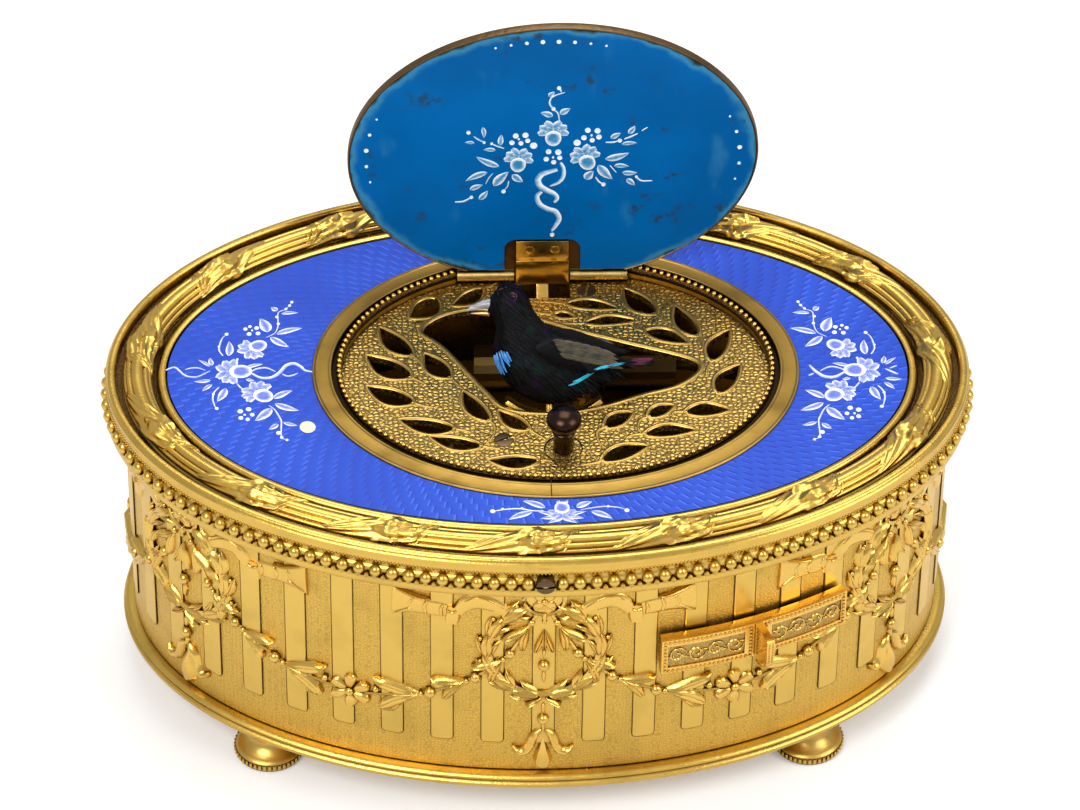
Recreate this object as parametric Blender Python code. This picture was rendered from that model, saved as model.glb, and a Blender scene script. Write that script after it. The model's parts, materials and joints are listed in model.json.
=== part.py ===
"""Oval gilt singing bird box, open, with its bird up.

Every piece that the box comes apart into is one object. Lengths are in metres, +Z is up,
the front is -Y, and the origin is on the floor under the middle of the box. Moving pieces
hang from an empty that stands on their axis.
"""
import bisect
import math

import bmesh
import bpy
from mathutils import Matrix, Vector

MM = 0.001

# Case
CASE_A = 55.0 * MM            # half length of the wall, outside
CASE_SLIM = 19.5 * MM         # half length less half width, alike for every oval of the case
WALL = 1.2 * MM
FOOT_HEIGHT = 6.0 * MM
FOOT_PAD_R = 4.9 * MM
FOOT_INSET_X = 20.1 * MM      # foot's axis in from the base's edge
FOOT_INSET_Y = 14.1 * MM
BASE_REACH = 1.6 * MM         # the base's edge past the wall
BASE_A = CASE_A + BASE_REACH
BASE_THICK = 2.0 * MM
SPIGOT_HEIGHT = 1.0 * MM
WALL_HEIGHT = 35.7 * MM
WINDING_HOLE_R = 3.5 * MM
SEAM = 0.2 * MM               # gap between pieces that are fitted together
SLIP = 0.1 * MM               # gap between thin pieces that lie on each other

# Top frame, as heights over the wall's top edge
LIP_REACH = 2.3 * MM          # lip and beads past the wall
BEAD_REACH = 3.15 * MM
REED_INSET = 1.75 * MM        # reeded torus, fillet, inner edge and ledge in from the wall
FILLET_INSET = 4.4 * MM
INNER_INSET = 5.55 * MM
LEDGE_INSET = 7.4 * MM
FRAME_LIP_A = CASE_A + LIP_REACH
FRAME_BEAD_A = CASE_A + BEAD_REACH
FRAME_REED_A = CASE_A - REED_INSET
FRAME_FILLET_A = CASE_A - FILLET_INSET
FRAME_INNER_A = CASE_A - INNER_INSET
FRAME_LEDGE_A = CASE_A - LEDGE_INSET
FRAME_REED_HALF = 1.9 * MM
FRAME_REED_RISE = 1.65 * MM
SKIRT_DROP = 1.6 * MM
SKIRT_CLEAR = 0.3 * MM
LEDGE_THICK = 1.0 * MM

# Deck inside the frame
DECK_X = 2.4 * MM             # the bird's ring sits off the middle, as it does on the original
DECK_Y = 0.2 * MM
DECK_SLIM = 7.2 * MM
TOP_PLATE_THICK = 1.0 * MM
PANEL_THICK = 1.3 * MM
GRILLE_THICK = 1.2 * MM
GRILLE_A = 30.9 * MM
RING_OUTER_A = 32.4 * MM
RING_INNER_A = 28.3 * MM
RING_RISE = 0.45 * MM

# Lid and hinge
LID_A = 27.5 * MM
LID_B = 20.5 * MM
LID_LEAN = math.radians(-3.0)     # the oval sits a little askew on its strap
LID_OPEN = math.radians(95.0)
LID_RIM = 1.0 * MM
LID_THICK = 1.5 * MM
LID_DOME = 0.75 * MM
HINGE_X = 1.1 * MM
HINGE_Y = 20.0 * MM
HINGE_RISE = 0.85 * MM            # hinge axis over the grille's top
BARREL_R = 0.8 * MM
HINGE_LENGTH = 23.1 * MM
BLOCK_WIDTH = 7.1 * MM
BLOCK_REACH = 6.0 * MM
HINGE_PIN_R = 0.35 * MM
TAIL_WIDTH = 1.6 * MM
TAIL_LENGTH = 7.0 * MM
TAIL_SLOPE = math.radians(35.0)
NOTCH_WIDTH = 10.3 * MM
NOTCH_DEPTH = 5.0 * MM
SLOT_FRONT_Y = 16.1 * MM
SLOT_BACK_Y = 22.6 * MM

# Bird and its cradle, in the bird's own frame: x along the box, y across it, z up from its pivot
FOLD_Y = -8.0 * MM
FOLD_DROP = 2.1 * MM              # fold axis under the grille's top
BIRD_LEAN = math.radians(32.0)
BIRD_OFFSET = 2.8 * MM            # the bird's middle plane stands behind its pivot
CRADLE_X = 2.0 * MM
CRADLE_R = 9.5 * MM
CRADLE_THICK = 0.6 * MM
CRADLE_BOTTOM = 1.6 * MM
CRADLE_SPREAD = math.radians(40.0)
CRADLE_FRONT = 0.9 * MM
CRADLE_BACK = 5.2 * MM
PEG_TOP = 3.2 * MM                # just under the bird's belly
PIVOT_PIN_R = 0.45 * MM

# Ball-headed post in front of the bird
POST_X = 3.0 * MM
POST_Y = -13.95 * MM
POST_HEAD_R = 2.35 * MM
POST_HEAD_HALF = 1.65 * MM
POST_STEM_R = 1.35 * MM
POST_FOOT_R = 2.45 * MM
POST_HEIGHT = 6.7 * MM
POST_TRAVEL = 6.8 * MM
POST_CLEAR = 0.1 * MM

# Start and stop slide on the front wall
SLIDE_ARC_X = 27.5 * MM
SLIDE_LENGTH = 25.8 * MM
SLIDE_HEIGHT = 6.1 * MM
SLIDE_THICK = 1.4 * MM
SLIDE_BOTTOM_Z = 26.1 * MM
SLIDE_GAP = 0.65 * MM
SLIDE_TRAVEL = math.radians(4.3)
FIN_REACH = 3.9 * MM
FIN_THICK = 1.2 * MM
TONGUE_WIDTH = 4.0 * MM
TONGUE_HEIGHT = 2.4 * MM
TONGUE_REACH = 5.0 * MM
STOP_ARM = 10.0 * MM
STOP_FINGER = 3.6 * MM
STOP_WIDTH = 1.8 * MM
STOP_RATIO = 6.0                  # turn of the stop lever for the slide's turn

# Movement
MOVE_PLATE_Z = 21.0 * MM
MOVE_PLATE_THICK = 1.4 * MM
MOVE_PLATE_INSET = 4.5 * MM       # its edge in from the wall's outside
MOVE_PLATE_A = CASE_A - MOVE_PLATE_INSET
PILLAR_INSET = 4.5 * MM           # pillars in from the plate's edge, at the end and at the sides
SIDE_PILLAR_INSET = 5.5 * MM
SIDE_PILLAR_X = 14.0 * MM
PILLAR_R = 2.2 * MM
GRILLE_PILLAR_R = 1.6 * MM
GRILLE_SCREW_R = 1.3 * MM
GRILLE_SCREWS = (("front", (-4.8 * MM, -12.2 * MM), 25.0), ("back", (7.1 * MM, 17.6 * MM), 80.0))
GEAR_MODULE = 0.75 * MM
GEAR_ADDENDUM = 0.6               # of the module; short and thin, to run free at any turn
GEAR_PLAY = 0.26 * MM
ARBOR_R = 1.0 * MM
ARBOR_PLAY = 0.08 * MM
BARREL_INSET = 20.5 * MM          # spring barrel's axis in from the plate's left end
BARREL_Y = 2.0 * MM
DRUM_R = 13.0 * MM
DRUM_TOP_Z = 32.5 * MM
GREAT_TEETH = 40
CAM_TEETH = 16
CAM_WHEEL_TEETH = 28
FAN_WHEEL_TEETH = 24
SMALL_TEETH = 8
WHEEL_THICK = 1.2 * MM
CAM_DIRECTION = math.radians(-40.0)
FAN_DIRECTION = math.radians(-15.0)
GOVERNOR_DIRECTION = math.radians(10.0)
WIND_ARBOR_R = 1.7 * MM
KEY_SQUARE = 2.3 * MM
KEY_SQUARE_LENGTH = 5.0 * MM
JOURNAL_R = 0.8 * MM
VANE_REACH = 5.4 * MM
CLICK_REACH = 9.0 * MM            # click's axis from the barrel's
LEFT_FOOT_X = -15.0 * MM          # feet of the bridge over the train
RIGHT_FOOT_X = 19.5 * MM
RIGHT_FOOT_Y = -7.5 * MM
FOOT_R = 1.9 * MM
VANE_TURN = math.radians(25.0)
BELLOWS_LENGTH = 30.0 * MM
BELLOWS_WIDTH = 26.0 * MM
BELLOWS_INSET = 8.5 * MM          # its hinge in from the plate's right end
BELLOWS_BOARD = 1.2 * MM
BELLOWS_OPEN = math.radians(10.0)
WHISTLE_R = 3.0 * MM
WHISTLE_LENGTH = 28.0 * MM
WHISTLE_X = -8.0 * MM
WHISTLE_BORE = 2.2 * MM
PISTON_REACH = 20.0 * MM

# relief on the wall; heights are over the wall's foot, ways go round the wall from the front
RELIEF_SINK = 0.5 * MM            # how deep its solids are rooted in the wall
FLUTE_COUNT = 43
FLUTE_WIDTH = 2.9 * MM
FLUTE_PROUD = 0.35 * MM
FLUTE_RISE = 5.1 * MM
RIBBON_PROUD = 0.5 * MM
SWAG_PROUD = 0.7 * MM
WREATH_PROUD = 0.85 * MM
BOSS_PROUD = 1.0 * MM
WREATH_SHARES = (0.0, 0.178, 0.339, 0.5, 0.661, 0.822)
WREATH_R = 7.9 * MM
WREATH_RISE = 20.8 * MM
WREATH_STEPS = 12
ROSETTE_R = 3.2 * MM
ROSETTE_RISE = 30.5 * MM
FLOWER_R = 3.2 * MM
FLOWER_RISE = 11.6 * MM
SWAG_HALF = 26.2 * MM             # from a wreath to the next flower, as the paths below have it

OVAL_STEPS = 52
ROUND_STEPS = 16

# Levels worked out from the sizes above
FOOT_X = BASE_A - FOOT_INSET_X
FOOT_Y = BASE_A - CASE_SLIM - FOOT_INSET_Y
SIDE_Y = MOVE_PLATE_A - CASE_SLIM - SIDE_PILLAR_INSET
BELLOWS_HINGE_X = MOVE_PLATE_A - BELLOWS_INSET
SPRING_BARREL = Vector((BARREL_INSET - MOVE_PLATE_A, BARREL_Y, 0.0))
BASE_Z = FOOT_HEIGHT
BASE_TOP_Z = BASE_Z + BASE_THICK
WALL_Z = BASE_TOP_Z + SEAM
WALL_TOP_Z = WALL_Z + WALL_HEIGHT
TOP_PLATE_Z = WALL_TOP_Z + SLIP
TOP_PLATE_TOP_Z = TOP_PLATE_Z + TOP_PLATE_THICK
GRILLE_Z = TOP_PLATE_TOP_Z + SLIP
GRILLE_TOP_Z = GRILLE_Z + GRILLE_THICK
LEDGE_Z = TOP_PLATE_TOP_Z + SEAM
PANEL_Z = GRILLE_TOP_Z
PANEL_TOP_Z = PANEL_Z + PANEL_THICK
HINGE_Z = GRILLE_TOP_Z + HINGE_RISE
FOLD_Z = GRILLE_TOP_Z - FOLD_DROP
MOVE_TOP_Z = MOVE_PLATE_Z + MOVE_PLATE_THICK
CAM_SPOT = SPRING_BARREL + (GREAT_TEETH + CAM_TEETH) * GEAR_MODULE / 2 * Vector(
    (math.cos(CAM_DIRECTION), math.sin(CAM_DIRECTION), 0.0))
FAN_SPOT = CAM_SPOT + (CAM_WHEEL_TEETH + SMALL_TEETH) * GEAR_MODULE / 2 * Vector(
    (math.cos(FAN_DIRECTION), math.sin(FAN_DIRECTION), 0.0))
GOVERNOR_SPOT = FAN_SPOT + (FAN_WHEEL_TEETH + SMALL_TEETH) * GEAR_MODULE / 2 * Vector(
    (math.cos(GOVERNOR_DIRECTION), math.sin(GOVERNOR_DIRECTION), 0.0))
GREAT_WHEEL_Z = MOVE_TOP_Z + 0.6 * MM
CAM_WHEEL_Z = DRUM_TOP_Z + 1.5 * MM
FAN_WHEEL_Z = DRUM_TOP_Z - 1.5 * MM
TRAIN_BRIDGE_Z = CAM_WHEEL_Z + 1.6 * MM
TRAIN_BRIDGE_THICK = 0.8 * MM


def finish(name, colour, roughness, metallic):
    """Return a Principled material."""
    material = bpy.data.materials.new(name)
    material.use_nodes = True
    shader = material.node_tree.nodes["Principled BSDF"]
    shader.inputs["Base Color"].default_value = (*colour, 1.0)
    shader.inputs["Roughness"].default_value = roughness
    shader.inputs["Metallic"].default_value = metallic
    material.diffuse_color = (*colour, 1.0)
    return material


def oval(a, b, z, spot=(0.0, 0.0), turn=0.0, steps=OVAL_STEPS):
    """Return the points of a level ellipse."""
    points = []
    for i in range(steps):
        angle = 2 * math.pi * i / steps
        x, y = a * math.cos(angle), b * math.sin(angle)
        points.append(Vector((spot[0] + x * math.cos(turn) - y * math.sin(turn),
                              spot[1] + x * math.sin(turn) + y * math.cos(turn), z)))
    return points


def case_oval(a, z):
    """Return an oval of the case family."""
    return oval(a, a - CASE_SLIM, z)


def deck_oval(a, z):
    """Return an oval of the bird's ring family."""
    return oval(a, a - DECK_SLIM, z, (DECK_X, DECK_Y))


def circle(radius, z, spot=(0.0, 0.0), steps=ROUND_STEPS):
    """Return the points of a level circle."""
    return oval(radius, radius, z, spot, steps=steps)


def skin(name, rings, material, closed=False, smooth=35.0):
    """Join rings of points into one closed body, in a loop or with a cap at each end."""
    mesh = bpy.data.meshes.new(name)
    shape = bmesh.new()
    loops = [[shape.verts.new(point) for point in ring] for ring in rings]
    pairs = list(zip(loops, loops[1:]))
    if closed:
        pairs.append((loops[-1], loops[0]))
    for low, high in pairs:
        if len(low) == 1 and len(high) == 1:
            continue
        count = max(len(low), len(high))
        for i in range(count):
            j = (i + 1) % count
            if len(low) == 1:
                shape.faces.new((low[0], high[j], high[i]))
            elif len(high) == 1:
                shape.faces.new((low[i], low[j], high[0]))
            else:
                shape.faces.new((low[i], low[j], high[j], high[i]))
    if not closed:
        for loop in (loops[0], loops[-1]):
            if len(loop) > 2:
                shape.faces.new(loop)
    bmesh.ops.recalc_face_normals(shape, faces=shape.faces)
    shape.to_mesh(mesh)
    shape.free()
    mesh.shade_smooth()
    mesh.set_sharp_from_angle(angle=math.radians(smooth))
    piece = bpy.data.objects.new(name, mesh)
    bpy.context.scene.collection.objects.link(piece)
    if material:
        mesh.materials.append(material)
    return piece


def turned(name, profile, material, spot=(0.0, 0.0), hollow=False, steps=ROUND_STEPS):
    """Turn a profile of (radius, height) about an upright axis."""
    rings = []
    for radius, z in profile:
        if radius == 0:
            rings.append([Vector((spot[0], spot[1], z))])
        else:
            rings.append(circle(radius, z, spot, steps))
    return skin(name, rings, material, closed=hollow)


def lay_along_x(piece, spot):
    """Turn a piece made about the upright axis so that it runs along +X from a spot."""
    piece.data.transform(Matrix.Translation(spot) @ Matrix.Rotation(math.radians(90), 4, "Y"))
    return piece


def prism(name, outline, low, high, material):
    """Raise a level outline between two heights."""
    return skin(name, [[Vector((x, y, z)) for x, y in outline] for z in (low, high)], material)


def prism_along_x(name, outline, left, right, material):
    """Stretch an outline of (y, z) points along X."""
    return skin(name, [[Vector((x, y, z)) for y, z in outline] for x in (left, right)], material)


def box(name, low, high, material=None):
    """Return a block between two corners."""
    outline = [(low[0], low[1]), (high[0], low[1]), (high[0], high[1]), (low[0], high[1])]
    return prism(name, outline, low[2], high[2], material)


def strap(path, width):
    """Return the outline of a flat bar of even width along a path, with cut corners."""
    left, right = [], []
    for i, (x, y) in enumerate(path):
        before = path[max(i - 1, 0)]
        after = path[min(i + 1, len(path) - 1)]
        along = Vector((after[0] - before[0], after[1] - before[1])).normalized()
        side = Vector((-along.y, along.x)) * width / 2
        ends = Vector((0.0, 0.0))
        if i == 0:
            ends = -along * width / 2
        if i == len(path) - 1:
            ends = along * width / 2
        left.append((x + side.x + ends.x, y + side.y + ends.y))
        right.append((x - side.x + ends.x, y - side.y + ends.y))
    return left + right[::-1]


def smooth_loop(points, steps):
    """Return a closed smooth curve through the points."""
    count = len(points)
    curve = []
    for i in range(count):
        p0, p1, p2, p3 = (Vector(points[(i + k) % count]) for k in (-1, 0, 1, 2))
        for step in range(steps):
            t = step / steps
            curve.append(0.5 * (2 * p1 + (p2 - p0) * t + (2 * p0 - 5 * p1 + 4 * p2 - p3) * t * t
                                + (3 * p1 - p0 - 3 * p2 + p3) * t ** 3))
    return [(point.x, point.y) for point in curve]


def alter(piece, other, operation):
    """Cut or join another object by a Boolean; the other becomes a hidden guide."""
    change = piece.modifiers.new(operation.title(), "BOOLEAN")
    change.operation = operation
    change.object = other
    other.hide_render = True
    other.display_type = "WIRE"


def cut(piece, *cutters):
    """Take each cutter out of a piece."""
    for cutter in cutters:
        alter(piece, cutter, "DIFFERENCE")


def join(piece, *others):
    """Fuse other bodies into a piece."""
    for other in others:
        alter(piece, other, "UNION")


def merge_shapes(name, shapes):
    """Put several loose bodies into one mesh, to cut them all at once."""
    mesh = bpy.data.meshes.new(name)
    whole = bmesh.new()
    for shape in shapes:
        whole.from_mesh(shape.data)
        bpy.data.objects.remove(shape)
    whole.to_mesh(mesh)
    whole.free()
    piece = bpy.data.objects.new(name, mesh)
    bpy.context.scene.collection.objects.link(piece)
    return piece


def axis(name, spot, parent=None, tilt=0.0):
    """Return an empty on a joint's axis, tilted about X."""
    empty = bpy.data.objects.new(name, None)
    empty.location = spot
    empty.rotation_euler = (tilt, 0.0, 0.0)
    empty.parent = parent
    bpy.context.scene.collection.objects.link(empty)
    return empty


def hang(empty, spot, *pieces):
    """Parent pieces to an empty that stands on a spot of the frame they were made in."""
    for piece in pieces:
        piece.data.transform(Matrix.Translation(-Vector(spot)))
        piece.parent = empty


def gear(name, teeth, low, high, spot, material, phase=0.0):
    """Return a toothed disc; teeth are narrowed by the play they run with."""
    pitch_r = teeth * GEAR_MODULE / 2
    tip, root = pitch_r + GEAR_ADDENDUM * GEAR_MODULE, pitch_r - 1.1 * GEAR_MODULE
    outline = []
    for i in range(teeth):
        middle = 2 * math.pi * i / teeth + phase
        for share, radius in ((-0.30, root), (-0.10, tip), (0.10, tip), (0.30, root)):
            angle = middle + share * 2 * math.pi / teeth
            angle -= math.copysign(GEAR_PLAY / (2 * radius), share)
            outline.append((spot[0] + radius * math.cos(angle),
                            spot[1] + radius * math.sin(angle)))
    return prism(name, outline, low, high, material)


def rod(name, radius, low, high, spot, material=None, steps=16):
    """Return an upright cylinder."""
    return turned(name, [(radius, low), (radius, high)], material, spot, steps=steps)


def wheel(name, teeth, z, spot, bore, material, phase=0.0):
    """Return a gear wheel with a bore, and the guide that bores it."""
    disc = gear(name, teeth, z, z + WHEEL_THICK, spot, material, phase)
    drill = rod(f"{name}_bore", bore, z - 1 * MM, z + WHEEL_THICK + 1 * MM, spot, steps=12)
    cut(disc, drill)
    return disc, drill


def mesh_phase(teeth, mate_teeth, direction, mate_phase=0.0):
    """Return the turn that puts a wheel's gap where its mate's tooth points at it."""
    mate_turn = (direction - mate_phase) / (2 * math.pi / mate_teeth)
    own_share = mate_turn - math.floor(mate_turn) + 0.5
    return direction + math.pi + own_share * 2 * math.pi / teeth


def wall_ways():
    """Return how far it is round the wall from the front to each of many even angles."""
    b = CASE_A - CASE_SLIM
    ways, before = [0.0], Vector((0.0, -b))
    for step in range(1, WAY_STEPS + 1):
        angle = 2 * math.pi * step / WAY_STEPS
        point = Vector((CASE_A * math.sin(angle), -b * math.cos(angle)))
        ways.append(ways[-1] + (point - before).length)
        before = point
    return ways


WAY_STEPS = 720
WALL_WAYS = wall_ways()


def wall_spot(way, rise, proud):
    """Return a point proud of the wall, from its way round to the right and its height."""
    way %= WALL_WAYS[-1]
    step = min(bisect.bisect_right(WALL_WAYS, way), WAY_STEPS) - 1
    share = (way - WALL_WAYS[step]) / (WALL_WAYS[step + 1] - WALL_WAYS[step])
    angle = 2 * math.pi * (step + share) / WAY_STEPS
    a = CASE_A + proud
    return Vector((a * math.sin(angle), -(a - CASE_SLIM) * math.cos(angle), WALL_Z + rise))


def relief_band(path, proud, at=0.0, side=1, stretch=1.0, closed=False):
    """Return a ridge along a path of (way, rise, half width) in millimetres."""
    spots = [Vector((at + side * stretch * way * MM, rise * MM)) for way, rise, half in path]
    rings = []
    for i, spot in enumerate(spots):
        before = spots[i - 1] if closed or i else spot
        after = spots[(i + 1) % len(spots)] if closed else spots[min(i + 1, len(spots) - 1)]
        along = (after - before).normalized()
        half = path[i][2] * MM
        section = ((-half, -RELIEF_SINK), (0.0, proud), (half, -RELIEF_SINK))
        rings.append([wall_spot(spot.x - along.y * off, spot.y + along.x * off, lift)
                      for off, lift in section])
    return skin("relief_band", rings, None, closed=closed)


def relief_boss(way, rise, radius, petals, dip):
    """Return a raised boss whose petals dip in between by a share of its radius."""
    foot = []
    for i in range(2 * petals):
        angle = math.pi * (i + 0.2) / petals
        reach = radius * (1 - dip * (i % 2))
        foot.append(wall_spot(way + reach * math.cos(angle), rise + reach * math.sin(angle), -RELIEF_SINK))
    return skin("relief_boss", [foot, [wall_spot(way, rise, BOSS_PROUD)]], None)


DROP = (  # way, rise and half width of the pieces that hang in and under a wreath
    (.1, 28.4, .5), (-.1, 26.3, 1.4), (.1, 23.5, .7), (-.1, 19.7, 1.2), (.1, 16.5, .6),
    (-.1, 9.7, 1.2), (.1, 8.2, .6), (-.1, 3.0, 2.1), (.1, .6, .4))
PETAL = ((.8, 7.7, .4), (2.2, 5.6, 1.1), (4.4, 4.9, .3))
SWAG = (
    (1.2, 28.4, .5), (3.2, 25.6, 1.5), (5.4, 22.8, .7), (7.4, 20.2, 1.5), (9.2, 17.8, .7),
    (11.6, 16.0, 1.6), (13.8, 14.3, .8), (19.6, 12.0, 2.2), (24.5, 11.6, .8))
RIBBON = (
    (3.4, 30.2, .8), (7.2, 32.3, 1.5), (12.2, 28.4, 1.5), (16.6, 29.6, 1.8), (23.4, 27.2, .4))


def make_relief():
    """Return the wall's relief as meshes whose own bodies lie clear of each other."""
    whole = WALL_WAYS[-1]
    high = WALL_HEIGHT - SKIRT_DROP - SEAM
    flutes, bands, drops, wreaths, bosses = [], [], [], [], []
    for i in range(FLUTE_COUNT):
        way = whole * i / FLUTE_COUNT
        rings = [[wall_spot(way + off, rise, lift) for off, lift in
                  ((-FLUTE_WIDTH / 2, -RELIEF_SINK), (-FLUTE_WIDTH / 2, FLUTE_PROUD),
                   (FLUTE_WIDTH / 2, FLUTE_PROUD), (FLUTE_WIDTH / 2, -RELIEF_SINK))]
                 for rise in (FLUTE_RISE, high)]
        flutes.append(skin("flute", rings, None))
    places = [share * whole for share in WREATH_SHARES] + [whole]
    for at, after in zip(places, places[1:]):
        ring = []
        for i in range(WREATH_STEPS):
            angle = 2 * math.pi * (i + 0.3) / WREATH_STEPS
            ring.append((WREATH_R / MM * math.cos(angle), (WREATH_RISE + WREATH_R * math.sin(angle)) / MM,
                         2.0 - 0.7 * (i % 2)))
        wreaths.append(relief_band(ring, WREATH_PROUD, at, closed=True))
        drops.append(relief_band(DROP, RIBBON_PROUD, at))
        bosses.append(relief_boss(at, ROSETTE_RISE, ROSETTE_R, 4, 0.1))
        bosses.append(relief_boss((at + after) / 2, FLOWER_RISE, FLOWER_R, 6, 0.35))
        stretch = (after - at) / 2 / SWAG_HALF
        for side, origin in ((1, at), (-1, after)):
            bands.append(relief_band(SWAG, SWAG_PROUD, origin, side, stretch))
            bands.append(relief_band(RIBBON, RIBBON_PROUD, origin, side, stretch))
            bands.append(relief_band(PETAL, SWAG_PROUD, at, side))
    return [merge_shapes(name, pieces) for name, pieces in
            (("relief_flutes", flutes), ("relief_bands", bands), ("relief_drops", drops),
             ("relief_wreaths", wreaths), ("relief_bosses", bosses))]


def make_case(gilt, steel):
    """Build the wall, the base, the feet and the moulded frame."""
    inner = CASE_A - WALL
    wall = skin("case_wall", [case_oval(inner, WALL_Z), case_oval(CASE_A, WALL_Z),
                              case_oval(CASE_A, WALL_TOP_Z), case_oval(inner, WALL_TOP_Z)],
                gilt, closed=True)
    slot = slide_block("tongue_slot", SLIDE_ARC_R - 3 * MM, SLIDE_ARC_R + 1 * MM,
                       SLIDE_MIDDLE_Z - TONGUE_HEIGHT / 2 - SEAM,
                       SLIDE_MIDDLE_Z + TONGUE_HEIGHT / 2 + SEAM,
                       -TONGUE_WIDTH / 2 / SLIDE_ARC_R - SLIDE_TRAVEL - math.radians(0.4),
                       TONGUE_WIDTH / 2 / SLIDE_ARC_R + math.radians(0.4), None)
    join(wall, *make_relief())
    cut(wall, slot)

    edge = [(BASE_A - 0.7 * MM, 0.0), (BASE_A, 0.35 * MM), (BASE_A, 0.9 * MM),
            (BASE_A - 0.45 * MM, 1.1 * MM), (BASE_A - 0.25 * MM, 1.4 * MM),
            (BASE_A - 0.25 * MM, 1.7 * MM), (BASE_A - 0.9 * MM, BASE_THICK),
            (inner - SEAM, BASE_THICK), (inner - SEAM, BASE_THICK + SPIGOT_HEIGHT)]
    base = skin("base_plate", [case_oval(a, BASE_Z + rise) for a, rise in edge], gilt)
    cut(base, rod("winding_hole", WINDING_HOLE_R, BASE_Z - 1 * MM, BASE_TOP_Z + 2 * MM,
                  SPRING_BARREL))

    pad = [(4.3, 0.0), (4.9, 0.45), (4.9, 1.2), (4.3, 1.6), (2.9, 2.5), (2.35, 3.6),
           (2.8, 4.7), (3.7, 5.2), (3.9, 5.9)]
    for side, x in (("left", -FOOT_X), ("right", FOOT_X)):
        for end, y in (("front", -FOOT_Y), ("back", FOOT_Y)):
            profile = [(r / 4.9 * FOOT_PAD_R, z / 6.0 * FOOT_HEIGHT) for r, z in pad]
            turned(f"foot_{end}_{side}", profile, gilt, (x, y))

    make_top_frame(gilt, steel)


def make_top_frame(gilt, steel):
    """Build the moulding: ledge, fillet, reeded torus, lip, bead row and skirt."""
    z = LEDGE_Z + LEDGE_THICK
    lip_z = PANEL_TOP_Z + 1.0 * MM
    reed_z = PANEL_TOP_Z - 0.25 * MM
    under_z = LEDGE_Z
    skirt_z = WALL_TOP_Z - SKIRT_DROP
    profile = [(FRAME_LEDGE_A, under_z), (FRAME_LEDGE_A, z), (FRAME_INNER_A, z),
               (FRAME_INNER_A, PANEL_TOP_Z + 0.15 * MM), (FRAME_FILLET_A, PANEL_TOP_Z + 0.15 * MM),
               (FRAME_FILLET_A + 0.35 * MM, reed_z)]
    for step in range(7):
        angle = math.pi * (1 - step / 6)
        profile.append((FRAME_REED_A + FRAME_REED_HALF * math.cos(angle),
                        reed_z + FRAME_REED_RISE * math.sin(angle)))
    band_a = FRAME_LIP_A + 0.2 * MM
    bead_z = WALL_TOP_Z + 0.9 * MM
    profile += [(FRAME_REED_A + 2.35 * MM, reed_z - 0.1 * MM), (FRAME_LIP_A - 1.15 * MM, reed_z),
                (FRAME_LIP_A - 1.1 * MM, lip_z - 0.15 * MM), (FRAME_LIP_A - 0.75 * MM, lip_z),
                (FRAME_LIP_A, lip_z - 0.1 * MM), (band_a, lip_z - 0.5 * MM),
                (band_a, bead_z + 2.1 * MM), (FRAME_LIP_A - 0.2 * MM, bead_z + 1.7 * MM),
                (FRAME_LIP_A - 0.2 * MM, bead_z + 0.95 * MM),
                (FRAME_BEAD_A - 0.2 * MM, bead_z + 0.55 * MM), (FRAME_BEAD_A, bead_z),
                (FRAME_BEAD_A - 0.2 * MM, bead_z - 0.55 * MM),
                (FRAME_LIP_A - 0.2 * MM, bead_z - 0.95 * MM),
                (FRAME_LIP_A + 0.35 * MM, bead_z - 1.3 * MM), (FRAME_LIP_A + 0.35 * MM, skirt_z + 0.2 * MM),
                (FRAME_LIP_A, skirt_z), (CASE_A + SKIRT_CLEAR, skirt_z),
                (CASE_A + SKIRT_CLEAR, under_z)]
    frame = skin("top_frame", [case_oval(a, height) for a, height in profile], gilt, closed=True)
    for side, sign in (("front", -1), ("back", 1)):
        face = sign * (FRAME_BEAD_A - CASE_SLIM)
        pocket = frame_bolt(f"pocket_{side}", 1.35 * MM, face, sign, bead_z, None,
                            -3.5 * MM, 2 * MM)
        cut(frame, pocket)
        screw = frame_bolt(f"frame_screw_{side}", 1.25 * MM, face, sign, bead_z, steel,
                           -2.2 * MM, 0.0)
        cut(screw, box(f"screw_slot_{side}",
                       (-2 * MM, face - 0.45 * MM, bead_z - 0.17 * MM),
                       (2 * MM, face + 0.45 * MM, bead_z + 0.17 * MM)))


def frame_bolt(name, radius, face, sign, z, material, inner, outer):
    """Return a level cylinder that runs through the frame at the front or the back."""
    bolt = turned(name, [(radius, inner), (radius, outer)], material, steps=16)
    spin = Matrix.Rotation(math.radians(-90 * sign), 4, "X")
    bolt.data.transform(Matrix.Translation((0.0, face, z)) @ spin)
    return bolt


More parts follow.
